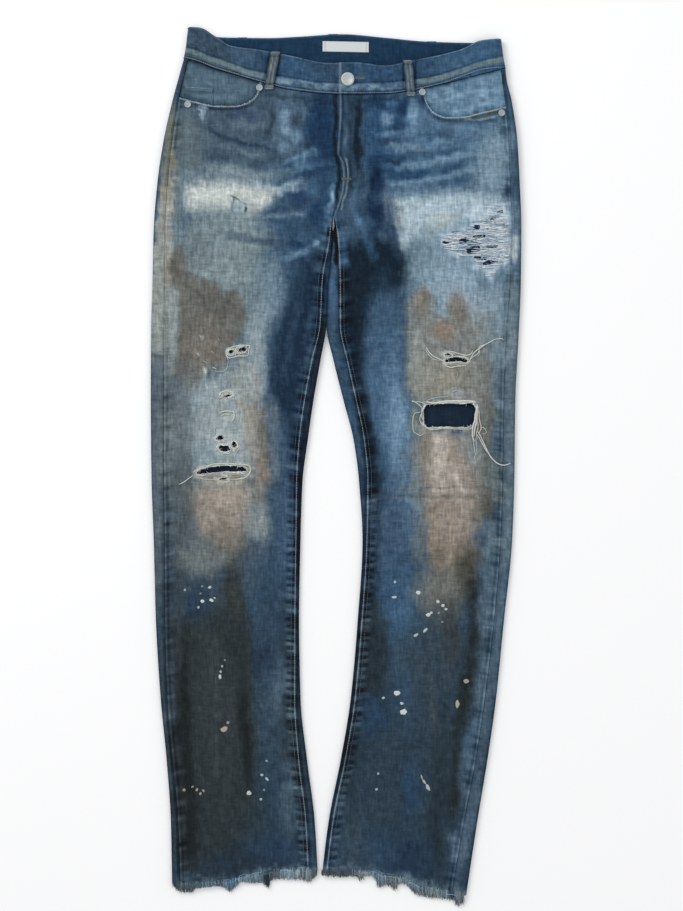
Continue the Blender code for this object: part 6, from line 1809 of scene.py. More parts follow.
def yarn_piece(name, groups, sides=4, flatness=1.0):
    """One mesh of many yarns with closed ends. A group is (points, radii, dye) with a row for each yarn."""
    vertices, faces, dyes, count = [], [], [], 0
    around = 2 * math.pi * (np.arange(sides) + 0.5) / sides
    for points, radii, dye in groups:
        many, long = points.shape[:2]
        along = np.gradient(points, axis=1)
        along /= np.maximum(np.linalg.norm(along, axis=-1, keepdims=True), 1e-9)
        across = np.cross(along, np.array((0.0, 0.0, 1.0)))
        across /= np.maximum(np.linalg.norm(across, axis=-1, keepdims=True), 1e-9)
        upward = np.cross(across, along)
        turn = np.cos(around)[:, None] * across[:, :, None] + flatness * np.sin(around)[:, None] * upward[:, :, None]
        ring = points[:, :, None] + np.broadcast_to(radii, (many, long))[..., None, None] * turn
        at = count + np.arange(many * long * sides).reshape(many, long, sides)
        beside = np.roll(at, -1, axis=2)
        walls = np.stack([at[:, :-1], at[:, 1:], beside[:, 1:], beside[:, :-1]], -1).reshape(-1, 4)
        faces += walls.tolist() + at[:, 0].tolist() + at[:, -1, ::-1].tolist()
        vertices.append(ring.reshape(-1, 3))
        dyes.append(np.broadcast_to(np.asarray(dye, float)[..., None, :], (many, long, sides, 3)).reshape(-1, 3))
        count += many * long * sides
    return make_piece(name, np.concatenate(vertices), faces, np.clip(np.concatenate(dyes), 6, 248))


def twist_group():
    """Spun cotton: slubs along a yarn and fine fibres across it."""
    group = bpy.data.node_groups.new("yarn twist", "ShaderNodeTree")
    for name, kind in (("Dye", "NodeSocketColor"), ("Slubs", "NodeSocketFloat")):
        group.interface.new_socket(name, in_out="INPUT", socket_type=kind)
    for name, kind in (("Colour", "NodeSocketColor"), ("Height", "NodeSocketFloat")):
        group.interface.new_socket(name, in_out="OUTPUT", socket_type=kind)
    given = group.nodes.new("NodeGroupInput")
    result = group.nodes.new("NodeGroupOutput")
    place = group.nodes.new("ShaderNodeTexCoord").outputs["Object"]
    slubs = add_node(group, "ShaderNodeTexNoise", None, Vector=place, Scale=420.0, Detail=3.0)
    fibres = add_node(group, "ShaderNodeTexNoise", None, Vector=place, Scale=2600.0, Detail=2.0)
    centred = add_node(group, "ShaderNodeMath", {"operation": "SUBTRACT"}, i0=slubs.outputs["Fac"], i1=0.5)
    shade = add_node(group, "ShaderNodeMath", {"operation": "MULTIPLY_ADD"}, i0=centred.outputs[0],
                     i1=given.outputs["Slubs"], i2=1.0)
    colour = add_node(group, "ShaderNodeVectorMath", {"operation": "SCALE"}, i0=given.outputs["Dye"], Scale=shade.outputs[0])
    group.links.new(colour.outputs[0], result.inputs["Colour"])
    group.links.new(fibres.outputs["Fac"], result.inputs["Height"])
    return group


yarn_twist = twist_group()


def spun_cotton(name, slubs, bump, roughness):
    """Cotton thread or yarn in the piece's own dye."""
    material = bpy.data.materials.new(name)
    material.use_nodes = True
    tree = material.node_tree
    shader = tree.nodes["Principled BSDF"]
    dye = add_node(tree, "ShaderNodeAttribute", {"attribute_name": "dye"})
    twist = add_node(tree, "ShaderNodeGroup", {"node_tree": yarn_twist}, Dye=dye.outputs["Color"], Slubs=slubs)
    lift = add_node(tree, "ShaderNodeBump", None, Strength=bump, Distance=0.0002, Height=twist.outputs["Height"])
    tree.links.new(twist.outputs["Colour"], shader.inputs["Base Color"])
    tree.links.new(lift.outputs["Normal"], shader.inputs["Normal"])
    shader.inputs["Roughness"].default_value = roughness
    shader.inputs["Specular IOR Level"].default_value = 0.15
    return material


sewing_thread = spun_cotton("sewing_thread", 0.7, 0.3, 0.7)


def stitched(line, pitch, share=0.74):
    """Start, middle and end of each stitch along a line."""
    x, down = (np.asarray(values, float) for values in line)
    along = np.concatenate([[0.0], np.cumsum(np.hypot(np.diff(x), np.diff(down)))])
    starts = np.arange(max(1, int(along[-1] / pitch))) * pitch
    at = starts[:, None] + pitch * share * np.array((0.0, 0.5, 1.0))
    return np.interp(at, along, x), np.interp(at, along, down)


def chart_line(points, step=2.0):
    """A smooth line in millimetres through places in chart squares."""
    places = (np.array(points, float) - SQUARE_ZERO) * SQUARE
    along = np.concatenate([[0.0], np.cumsum(np.hypot(*np.diff(places, axis=0).T))])
    at = np.linspace(0, along[-1], max(6, int(along[-1] / step)))
    return smooth_curve(along, places[:, 0], at), smooth_curve(along, places[:, 1], at)


def sewing(name, rows, radius=THREAD_RADIUS):
    """One piece of sewing. A row is (height of the cloth, line, pitch, colour)."""
    groups = []
    for surface, line, pitch, tone in rows:
        x, down = stitched(line, pitch)
        z = surface(x, down) + np.array(STITCH_RISE)
        worn = 16.0 * uneven(x, down, 6, 6, 223) + 8.0 * uneven(x, down, 1.5, 1.5, 227)
        groups.append((grid_points(x, down, z), radius, np.array(tone, float) + worn[..., None]))
    piece = yarn_piece(name, groups, 4, 0.8)
    piece.data.materials.append(sewing_thread)
    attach(piece, "root")


def front_cloth(side):
    return lambda x, down: front_top(side, x, down)


def band_cloth(side):
    """Height of the waistband's upper face on one side of the front."""
    def height(x, down):
        free = column(FRONT_BAND_ROWS, "free_edge", x, "x")
        seam = column(FRONT_BAND_ROWS, "seam", x, "x")
        lap = front_rise(x, seam) * BAND_CLOTH / (CLOTH + LAYER_GAP) if side == "left" else 0.0
        z = top_height(side, x, seam) + pucker_height(side, x, seam) + lap
        z = z + 0.22 * uneven(x, down, 13, 30, 193) * np.sin(np.pi * np.clip((down - free) / (seam - free), 0, 1))
        ridge = 0.35 * np.exp(-(((seam - down - 6.0) / 5.0) ** 2)) * (1 + 0.6 * uneven(x, 0 * down, 8, 50, 167))
        return z + ridge + (BAND_CLOTH - CLOTH) / 2 + BAND_CLOTH / 2
    return height


band_rows = []
for side, low_x, high_x in (("right", -193.0, 2.0), ("left", 7.0, 214.0)):
    x = np.linspace(low_x, high_x, 160)
    seam = column(FRONT_BAND_ROWS, "seam", x, "x")
    free = column(FRONT_BAND_ROWS, "free_edge", x, "x")
    band_rows.append((band_cloth(side), (x, seam - column(BAND_TONES, "lines", x, "x")), 3.0, (142, 154, 160)))
    band_rows.append((band_cloth(side), (x, seam - column(BAND_TONES, "lines", x, "x") - 3.4), 3.2, (96, 112, 122)))
    band_rows.append((band_cloth(side), (x, free + 2.4), 3.2, (62, 84, 104)))
lap_down = np.linspace(50.0, 84.0, 20)
band_rows.append((band_cloth("left"), (0 * lap_down + 7.2, lap_down), 3.0, GREY_THREAD))
sewing("waistband_sewing", band_rows)

pocket_rows = []
for side, first_down, last_x in (("right", 87.0, -203.0), ("left", 92.0, 217.0)):
    sign = 1 if side == "right" else -1
    edge_rows = sorted(POCKET_EDGES[side], key=lambda row: row.x)
    x = np.linspace(POCKET_EDGES[side][0].x, last_x, 600)
    down = column(edge_rows, "down", x, "x")
    step_x, step_down = np.gradient(x), np.gradient(down)
    size = np.hypot(step_x, step_down)
    for away, tone in ((1.5, PALE_THREAD), (7.2, GREY_THREAD)):
        row_x, row_down = x + sign * away * step_down / size, down - sign * away * step_x / size
        shown = row_down > first_down
        pocket_rows.append((front_cloth(side), (row_x[shown], row_down[shown]), 3.0, tone))


def coin_top(x, down):
    return top_height("right", x, down) - FACING_DROP["right"] / 2 + CLOTH / 2


x = np.linspace(COIN_POCKET_X[0] + 1, COIN_POCKET_X[1] - 1, 20)
for drop in (1.6, 6.4):
    pocket_rows.append((coin_top, (x, COIN_POCKET_DOWN[0] + drop + 0.06 * (x - COIN_POCKET_X[0])), 3.0, (98, 116, 130)))
down = np.linspace(COIN_POCKET_DOWN[0] + 3.0, COIN_POCKET_DOWN[1] - 14.0, 14)
pocket_rows.append((coin_top, (0 * down + COIN_POCKET_X[1] - 2.0, down), 3.0, (98, 116, 130)))
sewing("pocket_sewing", pocket_rows)

left_cloth = front_cloth("left")
sewing("fly_and_crotch_sewing", [
    (left_cloth, chart_line([(365, 97), (365.2, 130), (364.8, 152), (362, 168), (357, 177), (350, 182.4)]), 3.0, (46, 62, 78)),
    (left_cloth, chart_line([(360.6, 97), (360.8, 130), (360.4, 150), (358, 164), (353.6, 172.6), (349, 177)]), 3.0,
     (42, 58, 74)),
    (left_cloth, chart_line([(346, 160), (347.6, 172), (347.4, 184), (345.6, 195), (340.8, 208)]), 2.8, (132, 150, 160)),
    (left_cloth, chart_line([(342, 164), (343.6, 175), (343.6, 187), (341.6, 198), (337.6, 208)]), 2.8, (118, 138, 150)),
])

leg_rows = []
for side in ("right", "left"):
    sign = 1 if side == "right" else -1
    down = np.linspace(CROTCH_DOWN + 12.0, 1090.0, 400)
    inseam = column(INNER_ROWS, side + "_seam", down)
    outseam = column(OUTER_ROWS, side + "_seam", down)
    for away, tone in ((1.7, (150, 166, 172)), (6.4, (82, 98, 112))):
        leg_rows.append((front_cloth(side), (inseam - sign * away, down), 3.4, tone))
    high = (down > 280.0) & (down < 470.0)
    inside = (front_cloth(side), (outseam[high] + sign * 1.9, down[high]), 3.4, (116, 130, 138))
    leg_rows.append(inside)
down = np.linspace(100.0, 300.0, 120)
leg_rows.append((front_cloth("right"), (column(OUTER_ROWS, "right_seam", down) - 3.4, down), 3.2, (152, 148, 138)))
sewing("leg_seam_sewing", leg_rows)

loop_rows = []
for loop in LOOP_ROWS[:2]:
    v = np.linspace(0.06, 0.95, 40)
    for u in (-0.28, 0.28):
        x, down, _ = loop_places(loop, v, np.full(40, u))
        loop_top = lambda px, pd, loop=loop, low=down[0], high=down[-1]: loop_places(
            loop, 0.06 + 0.89 * (pd - low) / (high - low), 0 * px)[2] + LOOP_CLOTH / 2 + 0.15
        loop_rows.append((loop_top, (x, down), 3.0, (102, 120, 128)))
sewing("belt_loop_sewing", loop_rows, 0.36)

tacks = []
for loop in LOOP_ROWS[:2]:
    for v in (0.05, 0.93):
        u = np.linspace(-0.42, 0.42, 15)[:, None]
        x, down, z = loop_places(loop, v + np.array((-0.03, 0.0, 0.03))[None, :], u)
        tone = np.array((118, 132, 136) if v > 0.5 else (108, 124, 130), float)
        tacks.append((grid_points(x, down, z + LOOP_CLOTH / 2 + 0.16 + np.array((0.0, 0.28, 0.0))), 0.42,
                      tone + 10.0 * uneven(x, down, 2, 2, 229)[..., None]))
x, down = (np.linspace(7.6, 19.4, 15)[:, None] + np.array((-0.4, 0.0, 0.4))), 197.6 + np.array((-1.8, 0.0, 1.8)) + np.zeros((15, 1))
tacks.append((grid_points(x, down, left_cloth(x, down) + np.array((-0.1, 0.45, -0.1))), 0.48, np.array((100, 104, 102.0)) + 0 * x[..., None]))
x = np.linspace(25.0, 37.4, 19)[:, None] + np.zeros((1, 3))
for from_slit in (-1, 1):
    down = 66.6 + from_slit * np.array((0.25, 1.0, 1.75)) + 0 * x
    rise = band_cloth("left")(x, down) + np.array((0.1, 0.5, -0.1))
    tacks.append((grid_points(x, down, rise), 0.4, np.array((108, 120, 126), float) + 12.0 * uneven(x, down, 2, 2, 233)[..., None]))
bar_tacks = yarn_piece("bar_tacks_and_buttonhole", tacks, 4, 0.9)
bar_tacks.data.materials.append(sewing_thread)
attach(bar_tacks, "root")

# Worn yarns: where the indigo warp has worn through, the white weft yarns are left, rolled along the rims of
# the holes, hanging as loose threads, and lying in rows over the shredded patch near the left pocket.
frayed_cotton = spun_cotton("frayed_cotton", 0.5, 0.5, 0.88)
chance = np.random.default_rng(41)


def rim_yarns(side, outline, strands, radius, tone):
    """Short lengths of yarn rolled along the rim of a hole."""
    places = np.array(outline + outline[:1])
    along = np.concatenate([[0.0], np.cumsum(np.hypot(*np.diff(places, axis=0).T))])
    total, groups = along[-1], []
    arcs = max(3, int(total / 8.0))
    for strand in range(strands):
        starts = (np.arange(arcs) + 0.7 * chance.random(arcs)) * total / arcs
        s = (starts[:, None] + np.linspace(0, 1.25 * total / arcs, 8)) % total
        x, down = np.interp(s, along, places[:, 0]), np.interp(s, along, places[:, 1])
        ahead = (s + 0.8) % total
        step_x, step_down = np.interp(ahead, along, places[:, 0]) - x, np.interp(ahead, along, places[:, 1]) - down
        size = np.maximum(np.hypot(step_x, step_down), 1e-6)
        away = 0.35 + 0.85 * strand + 0.8 * uneven(s, 9.0 * strand + starts[:, None], 4.0, 3.0, 239)
        away = away + 0.9 * np.linspace(-1, 1, 8) ** 4 * chance.random((arcs, 1))
        x, down = x - away * step_down / size, down + away * step_x / size
        z = front_top(side, x, down) + 0.5 * np.exp(-((away / 1.8) ** 2)) + radius * (1.0 + 0.5 * chance.random((arcs, 1)))
        thick = radius * (0.75 + 0.4 * chance.random((arcs, 1))) * (1 - 0.5 * np.linspace(-1, 1, 8) ** 6)
        dye = np.array(tone, float) + (24.0 * chance.standard_normal((arcs, 1)) - 12.0)[..., None] - 10.0 * strand
        shown = chance.random(arcs) > 0.22 + 0.12 * (strand > 0)
        groups.append((grid_points(x, down, z)[shown], thick[shown], dye[shown]))
    return groups


def fuzz(side, x, down, heading, length, radius, tone, spread=14.0, droop=0.0):
    """Loose fibre ends that start at these places and curl away."""
    many = len(x)
    t = np.linspace(0, 1, 5)[None, :]
    bend = chance.normal(0, 0.7, (many, 1))
    turn = heading[:, None] + bend * t
    px = x[:, None] + length[:, None] * t * np.cos(turn)
    pd = down[:, None] + length[:, None] * t * np.sin(turn)
    z = front_top(side, px, pd) + radius + 0.15 + (0.2 + 0.7 * chance.random((many, 1))) * np.sin(np.pi * t) - droop * t * t
    dye = np.array(tone, float) + spread * chance.standard_normal((many, 1))[..., None]
    return grid_points(px, pd, z), radius * (1 - 0.6 * t) + 0 * px, dye


WHITE_WEFT = {"right": (222, 226, 220), "left": (226, 228, 220)}
RIM_STRANDS = {"right": (3, 3, 2, 2, 3, 2, 4, 2), "left": (4, 2, 4)}
rim_groups = {"right": [], "left": []}
for side in ("right", "left"):
    for number, outline in enumerate(front_holes[side][:len(RIM_STRANDS[side])]):
        strands = RIM_STRANDS[side][number]
        rim_groups[side] += rim_yarns(side, outline, strands, 0.42 if strands < 3 else 0.5, WHITE_WEFT[side])
        places = np.array(outline)
        picked = chance.integers(0, len(places), 2 * len(places))
        middle = places.mean(axis=0)
        outward = np.arctan2(places[picked, 1] - middle[1], places[picked, 0] - middle[0])
        heading = outward + chance.normal(0, 1.1, len(picked))
        rim_groups[side].append(fuzz(side, places[picked, 0], places[picked, 1], heading,
                                     1.5 + 3.0 * chance.random(len(picked)), 0.22, WHITE_WEFT[side]))

Thread = namedtuple("Thread", "side points thickness colour")
THREADS = [
    Thread("right", [(226, 350.3), (235, 346.2), (243.3, 345.2), (249.4, 346.2), (247.9, 355.9)], 0.9, (204, 212, 208)),
    Thread("right", [(247.9, 355.9), (239, 356), (230, 358), (226, 355.4), (226, 350.3)], 0.9, (200, 208, 206)),
    Thread("right", [(236.6, 346.6), (235.2, 351), (236, 356.4)], 0.9, (190, 198, 196)),
    Thread("right", [(226, 355.4), (228, 360.5), (227.5, 366.6), (224.9, 370.2), (218.8, 371.7), (214.7, 370.7)], 0.5,
           (196, 206, 204)),
    Thread("right", [(204, 368), (206.6, 373.6)], 0.75, (212, 220, 216)),
    Thread("right", [(203, 360.6), (207.6, 363.6)], 0.6, (176, 190, 192)),
    Thread("right", [(212.6, 367), (216.4, 369.4)], 0.8, (196, 204, 200)),
    Thread("right", [(197.4, 353), (199.6, 356.2)], 0.8, (170, 188, 196)),
    Thread("right", [(211.6, 350.6), (213.8, 353)], 0.6, (186, 184, 176)),
    Thread("right", [(199.6, 335.2), (202.2, 338)], 0.7, (176, 186, 186)),
    Thread("right", [(217.8, 338.6), (219.6, 340.8)], 0.6, (170, 174, 168)),
    Thread("right", [(191.4, 380.4), (194.2, 381.6)], 0.6, (150, 160, 160)),
    Thread("right", [(206.8, 386), (208.4, 389.4)], 0.7, (196, 206, 206)),
    Thread("right", [(211.6, 393), (212.8, 396.6)], 0.6, (190, 200, 200)),
    Thread("right", [(192, 407), (195, 411)], 0.6, (176, 190, 196)),
    Thread("right", [(218.8, 396.4), (221.6, 392.2), (226, 391), (231, 391.6), (234.6, 394.6), (233.4, 398)], 1.0,
           (206, 212, 206)),
    Thread("right", [(219.6, 398.6), (223, 395.4), (229, 394), (233, 396.4)], 0.8, (190, 198, 196)),
    Thread("right", [(218.8, 414), (222.6, 411.4), (228, 411), (233.2, 412), (234.4, 416.6), (231.6, 421.6)], 1.0,
           (208, 213, 206)),
    Thread("right", [(221, 415.8), (226, 414), (231, 415)], 0.9, (196, 203, 198)),
    Thread("right", [(214.7, 436.6), (214.4, 431), (217.4, 426.6), (220.6, 428.4)], 0.6, (176, 190, 194)),
    Thread("right", [(231, 436), (231.6, 442.1), (229, 446.2), (231, 450)], 0.75, (200, 206, 202)),
    Thread("right", [(233, 437), (238.2, 441.1), (239.4, 446.2), (236.7, 452.3), (234.2, 457.4), (234, 463)], 0.6,
           (190, 198, 196)),
    Thread("right", [(214.6, 443.6), (218, 449.6), (224, 453.6), (231, 453.4)], 0.8, (196, 204, 200)),
    Thread("right", [(193.3, 475.3), (188.2, 478.9), (184.1, 481.9), (179, 484.5)], 0.65, (216, 222, 216)),
    Thread("right", [(193.3, 472.4), (198.4, 468.9), (206.6, 467), (211.7, 464.4), (223.9, 463.4), (239.2, 464.4),
                     (248.4, 465.4), (251, 468.7), (249.4, 473.8), (243.3, 478.4), (229, 479.9)], 0.9, (208, 211, 203)),
    Thread("right", [(194.3, 474.8), (198.4, 477.9), (208.6, 479.7), (220.9, 480.2), (235, 479.4), (245.3, 476.9)], 0.8,
           (190, 184, 172)),
    Thread("right", [(212, 473.8), (222, 472.6), (232, 474.6), (242, 474)], 0.8, (184, 170, 155)),
    Thread("right", [(206, 477), (218, 476), (230, 477.4), (240, 476.4)], 0.8, (170, 155, 140)),
    Thread("left", [(426, 347.4), (431.8, 355.1), (437.6, 358.4), (444.3, 361.6), (446.4, 365.8), (451.4, 367.3),
                    (458.6, 366.2), (466.6, 365.6)], 1.0, (206, 210, 203)),
    Thread("left", [(425.4, 349.4), (430, 356), (434, 359.4), (441, 360.6)], 0.8, (190, 196, 190)),
    Thread("left", [(446, 351), (453, 352), (460.4, 354.2), (467.5, 355.2), (471, 353.8), (473, 350.2)], 0.95,
           (196, 202, 197)),
    Thread("left", [(444.3, 357.3), (449.6, 357.6), (455, 356.2), (460.4, 356.8), (468, 357.8)], 0.75, (192, 196, 190)),
    Thread("left", [(466.6, 365.4), (471, 358.6), (479, 351.4), (479.3, 346.8), (485.4, 344.8), (490.7, 341.7),
                    (496, 339), (502.3, 338.4), (503.4, 340.6)], 0.8, (206, 212, 210)),
    Thread("left", [(469.3, 361.8), (472.9, 354.4), (477, 350), (481, 347.6), (487, 343.6)], 1.0, (202, 206, 200)),
    Thread("left", [(479, 346.6), (479.6, 353), (477, 356.6)], 0.6, (190, 197, 195)),
    Thread("left", [(431.8, 364.6), (431.6, 371), (434.4, 375), (433.4, 381), (436.4, 384)], 0.6, (168, 172, 166)),
    Thread("left", [(452, 392.4), (455.8, 390.4), (459.6, 392.8), (458, 396)], 0.8, (176, 186, 188)),
    Thread("left", [(455, 369.4), (457.6, 374), (455.6, 379)], 0.6, (170, 172, 164)),
    Thread("left", [(426.4, 402), (435.4, 403.2), (442.5, 401.8), (451.4, 400.9), (462, 400.8), (471, 401.1), (476.2, 402.4)],
           1.5, (216, 218, 210)),
    Thread("left", [(440, 403), (452, 402.4), (464, 402.2), (475, 403)], 1.1, (202, 208, 206)),
    Thread("left", [(426.4, 401), (431.8, 398.9), (442.5, 396.9), (449.6, 396.7)], 0.8, (168, 184, 192)),
    Thread("left", [(411.7, 401.6), (418.4, 401.6), (422.9, 403), (425.4, 405.8), (421.6, 409.4), (422.4, 412.9),
                    (420.4, 416), (419.9, 419.8), (422, 423.8), (426.4, 427.4), (430.6, 429.8), (435.4, 429.4),
                    (445.2, 427.9), (455, 428.9), (463, 427.9), (472, 428.2)], 0.85, (196, 202, 198)),
    Thread("left", [(412, 400.4), (417, 403), (421, 406.6), (423, 408.6)], 0.9, (190, 198, 196)),
    Thread("left", [(421.5, 412.2), (415.7, 412.7), (413, 417.1), (412.6, 424.3), (413.5, 431.4), (417.5, 434.2),
                    (420.2, 435.4), (424.2, 433.7)], 0.75, (196, 203, 200)),
    Thread("left", [(477.3, 404.2), (475.5, 413.6), (474.6, 420.7), (472.4, 428.8), (472.4, 435.9), (474.6, 441.3)], 1.3,
           (212, 216, 210)),
    Thread("left", [(477.9, 405.6), (477, 414), (476.4, 422), (474.6, 430), (474, 437)], 1.2, (204, 208, 202)),
    Thread("left", [(478.6, 409.8), (479.4, 419), (481, 427.6), (479, 433)], 1.1, (196, 186, 174)),
    Thread("left", [(477.4, 419), (478, 427), (476.6, 434), (477.4, 440)], 1.0, (190, 180, 168)),
    Thread("left", [(481, 427), (485, 428.6), (486.5, 431.4), (485.6, 434), (482.4, 433.4)], 0.6, (204, 206, 200)),
    Thread("left", [(477.4, 430.6), (481.8, 438.6), (485.4, 446.6), (488.9, 453.8), (493.4, 460), (498.8, 464.3),
                    (504.1, 465.4), (510.4, 463.4)], 0.95, (210, 214, 209)),
    Thread("left", [(477, 434), (480.4, 440), (484, 447), (487.6, 453)], 0.9, (200, 205, 200)),
    Thread("left", [(472.8, 437), (474, 446), (475.4, 455), (474, 460)], 1.1, (166, 182, 186)),
    Thread("left", [(475.8, 438), (476.4, 448), (477, 457)], 1.0, (160, 176, 180)),
]


def thread_yarn(thread, wander=0.35, step=2.6):
    """One loose thread lying on the cloth, thinner at its ends."""
    x, down = chart_line(thread.points, step)
    t = np.linspace(0, 1, len(x))
    x = x + wander * uneven(x, down, 5, 5, 241)
    down = down + wander * uneven(x, down, 5, 5, 251)
    radius = thread.thickness * 0.88 * (1 - 0.35 * np.abs(2 * t - 1) ** 5)
    z = front_top(thread.side, x, down) + radius + 0.12 + 0.35 * np.clip(uneven(x, down, 8, 8, 257), 0, 1)
    dye = np.array(thread.colour, float) + (9.0 * uneven(x, down, 3, 3, 263))[:, None]
    return grid_points(x, down, z)[None], radius[None], dye[None]


for side in ("right", "left"):
    loose = [thread_yarn(thread) for thread in THREADS if thread.side == side]
    worn = yarn_piece(f"worn_yarns_{side}", rim_groups[side] + loose, 5)
    worn.data.materials.append(frayed_cotton)
    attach(worn, "root")

patch = (np.array(SHRED) - SQUARE_ZERO) * SQUARE
patch_outline = [tuple(corner) for corner in patch.tolist()]
patch_groups = []
for rip in SHRED_HOLES:
    for at in np.arange(rip.x - rip.half_width - 0.5, rip.x + rip.half_width + 0.5, 1.1):
        middle = rip.down - (at - rip.x) * math.tan(math.radians(rip.tilt))
        line = middle + (rip.half_height + 1.4) * np.linspace(-1, 1, 6)
        x = at + chance.normal(0, 0.15) + 0.25 * np.sin(np.linspace(0, 5, 6) + at)
        tone = np.array((40, 68, 102), float) + chance.normal(0, 10)
        patch_groups.append((grid_points(x, line, front_top("left", x, line) - 0.25)[None], 0.40 + 0 * x[None], tone[None, None]))
for down in np.arange(patch[:, 1].min() + 1.0, patch[:, 1].max() - 0.5, 1.0):
    across = np.arange(patch[:, 0].min(), patch[:, 0].max(), 0.5)
    inside = outline_reach(across, 0 * across + down, patch_outline) < 0
    at = patch[:, 0].min() + chance.random() * 6
    while at < patch[:, 0].max():
        long = 6.0 + 11.0 * chance.random()
        x = at + np.linspace(0, long, 7)
        at += long + 1.5 * chance.random()
        if np.interp(x[[1, 3, 5]], across, inside, left=0.0, right=0.0).min() < 0.5:
            continue
        line = down + 0.7 * uneven(x, 0 * x + down, 6, 3, 269) + chance.normal(0, 0.25)
        in_hole = min(float(outline_reach(x[3:4], line[3:4], hole)[0]) for hole in front_holes["left"][3:])
        if in_hole < 0.5 and chance.random() < 0.76:
            continue
        thin_x, thin_y = x[3] / SQUARE + SQUARE_ZERO[0], line[3] / SQUARE + SQUARE_ZERO[1]
        if math.hypot((thin_x - 470) / 13, (thin_y - 245) / 8) < 1 and chance.random() < 0.6:
            continue
        radius = 0.36 + 0.30 * chance.random()
        z = front_top("left", x, line) + radius + 0.1 + (0.1 + 0.7 * chance.random()) * np.sin(np.pi * np.linspace(0, 1, 7))
        tone = np.array((222, 231, 236) if chance.random() < 0.72 else (150, 174, 196), float) + chance.normal(0, 14)
        patch_groups.append((grid_points(x, line, z)[None], radius * np.array([[0.5, 0.9, 1, 1, 1, 0.9, 0.5]]), tone[None, None]))
many = 150
x = 167 + 66 * chance.random(many)
down = 236 + 80 * chance.random(many)
kept = outline_reach(x, down, patch_outline) < -1.0
heading = chance.choice([0.0, math.pi, math.pi / 2, -math.pi / 2], many, p=[0.35, 0.35, 0.15, 0.15]) + chance.normal(0, 0.5, many)
patch_groups.append(fuzz("left", x[kept], down[kept], heading[kept], 2.0 + 4.0 * chance.random(int(kept.sum())), 0.24,
                         (220, 229, 234)))
many = 46
x, down = 219.5 + 6.0 * chance.random(many), 250 + 50 * chance.random(many)
patch_groups.append(fuzz("left", x, down, chance.normal(math.pi, 0.6, many), 2.5 + 3.0 * chance.random(many), 0.34,
                         (198, 198, 188), 10.0))
many = 12
x, down = 230.5 + 2.0 * chance.random(many), 270 + 34 * chance.random(many)
patch_groups.append(fuzz("left", x, down, chance.normal(math.pi / 2, 0.7, many), 1.5 + 2.0 * chance.random(many), 0.24,
                         (200, 205, 200), 10.0))
shredded = yarn_piece("shredded_weft", patch_groups, 4)
shredded.data.materials.append(frayed_cotton)
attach(shredded, "root")

# Hem fringes: the hems were torn off, so the cut warp yarns hang out of all four panels in uneven tufts, faded
# to grey blue, with a few weft yarns left lying across them.
FringeRow = namedtuple("FringeRow", "x down")
FRINGE_ENDS = {
    "right": [
        FringeRow(-211.9, 1116.7),
        FringeRow(-208.0, 1122.0),
        FringeRow(-200.6, 1127.2),
        FringeRow(-190.7, 1127.2),
        FringeRow(-182.3, 1121.6),
        FringeRow(-168.2, 1119.4),
        FringeRow(-149.9, 1118.0),
        FringeRow(-144.3, 1121.6),
        FringeRow(-138.6, 1126.6),
        FringeRow(-130.1, 1119.4),
        FringeRow(-121.7, 1113.2),
        FringeRow(-107.6, 1115.3),
        FringeRow(-96.2, 1115.3),
        FringeRow(-87.1, 1122.3),
        FringeRow(-83.6, 1112.3),
        FringeRow(-73.7, 1109.7),
        FringeRow(-55.4, 1111.0),
        FringeRow(-45.5, 1111.0),
        FringeRow(-35.8, 1114.5),
        FringeRow(-24.4, 1105.4),
    ],
    "left": [
        FringeRow(-18.9, 1104.7),
        FringeRow(7.8, 1106.8),
        FringeRow(26.3, 1106.0),
        FringeRow(31.9, 1113.2),
        FringeRow(37.6, 1105.5),
        FringeRow(46.0, 1105.0),
        FringeRow(51.6, 1113.8),
        FringeRow(55.9, 1122.3),
        FringeRow(62.9, 1119.4),
        FringeRow(71.4, 1120.0),
        FringeRow(76.3, 1125.8),
        FringeRow(81.3, 1116.7),
        FringeRow(89.7, 1115.9),
        FringeRow(96.7, 1123.7),
        FringeRow(106.6, 1131.4),
        FringeRow(120.6, 1134.3),
        FringeRow(141.7, 1136.3),
        FringeRow(154.6, 1137.8),
        FringeRow(157.3, 1146.1),
        FringeRow(167.2, 1142.0),
    ],
}
FringeTone = namedtuple("FringeTone", "x red green blue")
FRINGE_TONES = {
    "right": [
        FringeTone(-212, 40, 54, 68),
        FringeTone(-203, 82, 93, 100),
        FringeTone(-190, 82, 96, 106),
        FringeTone(-178, 100, 120, 134),
        FringeTone(-150, 108, 130, 148),
        FringeTone(-139, 104, 134, 158),
        FringeTone(-120, 118, 140, 152),
        FringeTone(-98, 112, 134, 148),
        FringeTone(-90, 44, 58, 70),
        FringeTone(-85, 74, 90, 100),
        FringeTone(-76, 118, 134, 144),
        FringeTone(-60, 138, 160, 174),
        FringeTone(-44, 142, 160, 168),
        FringeTone(-33, 120, 134, 142),
        FringeTone(-25, 70, 82, 92),
    ],
    "left": [
        FringeTone(-18, 94, 108, 114),
        FringeTone(0, 70, 82, 88),
        FringeTone(20, 86, 100, 110),
        FringeTone(31, 146, 160, 162),
        FringeTone(44, 128, 148, 162),
        FringeTone(56, 118, 140, 156),
        FringeTone(76, 116, 128, 134),
        FringeTone(90, 132, 154, 168),
        FringeTone(106, 112, 130, 144),
        FringeTone(125, 122, 138, 146),
        FringeTone(142, 138, 160, 174),
        FringeTone(151, 66, 86, 104),
        FringeTone(158, 116, 132, 142),
        FringeTone(167, 106, 118, 126),
    ],
}
FRINGE_SHEETS = {"right": (0.19, 0.02), "left": (0.19, 0.02)}
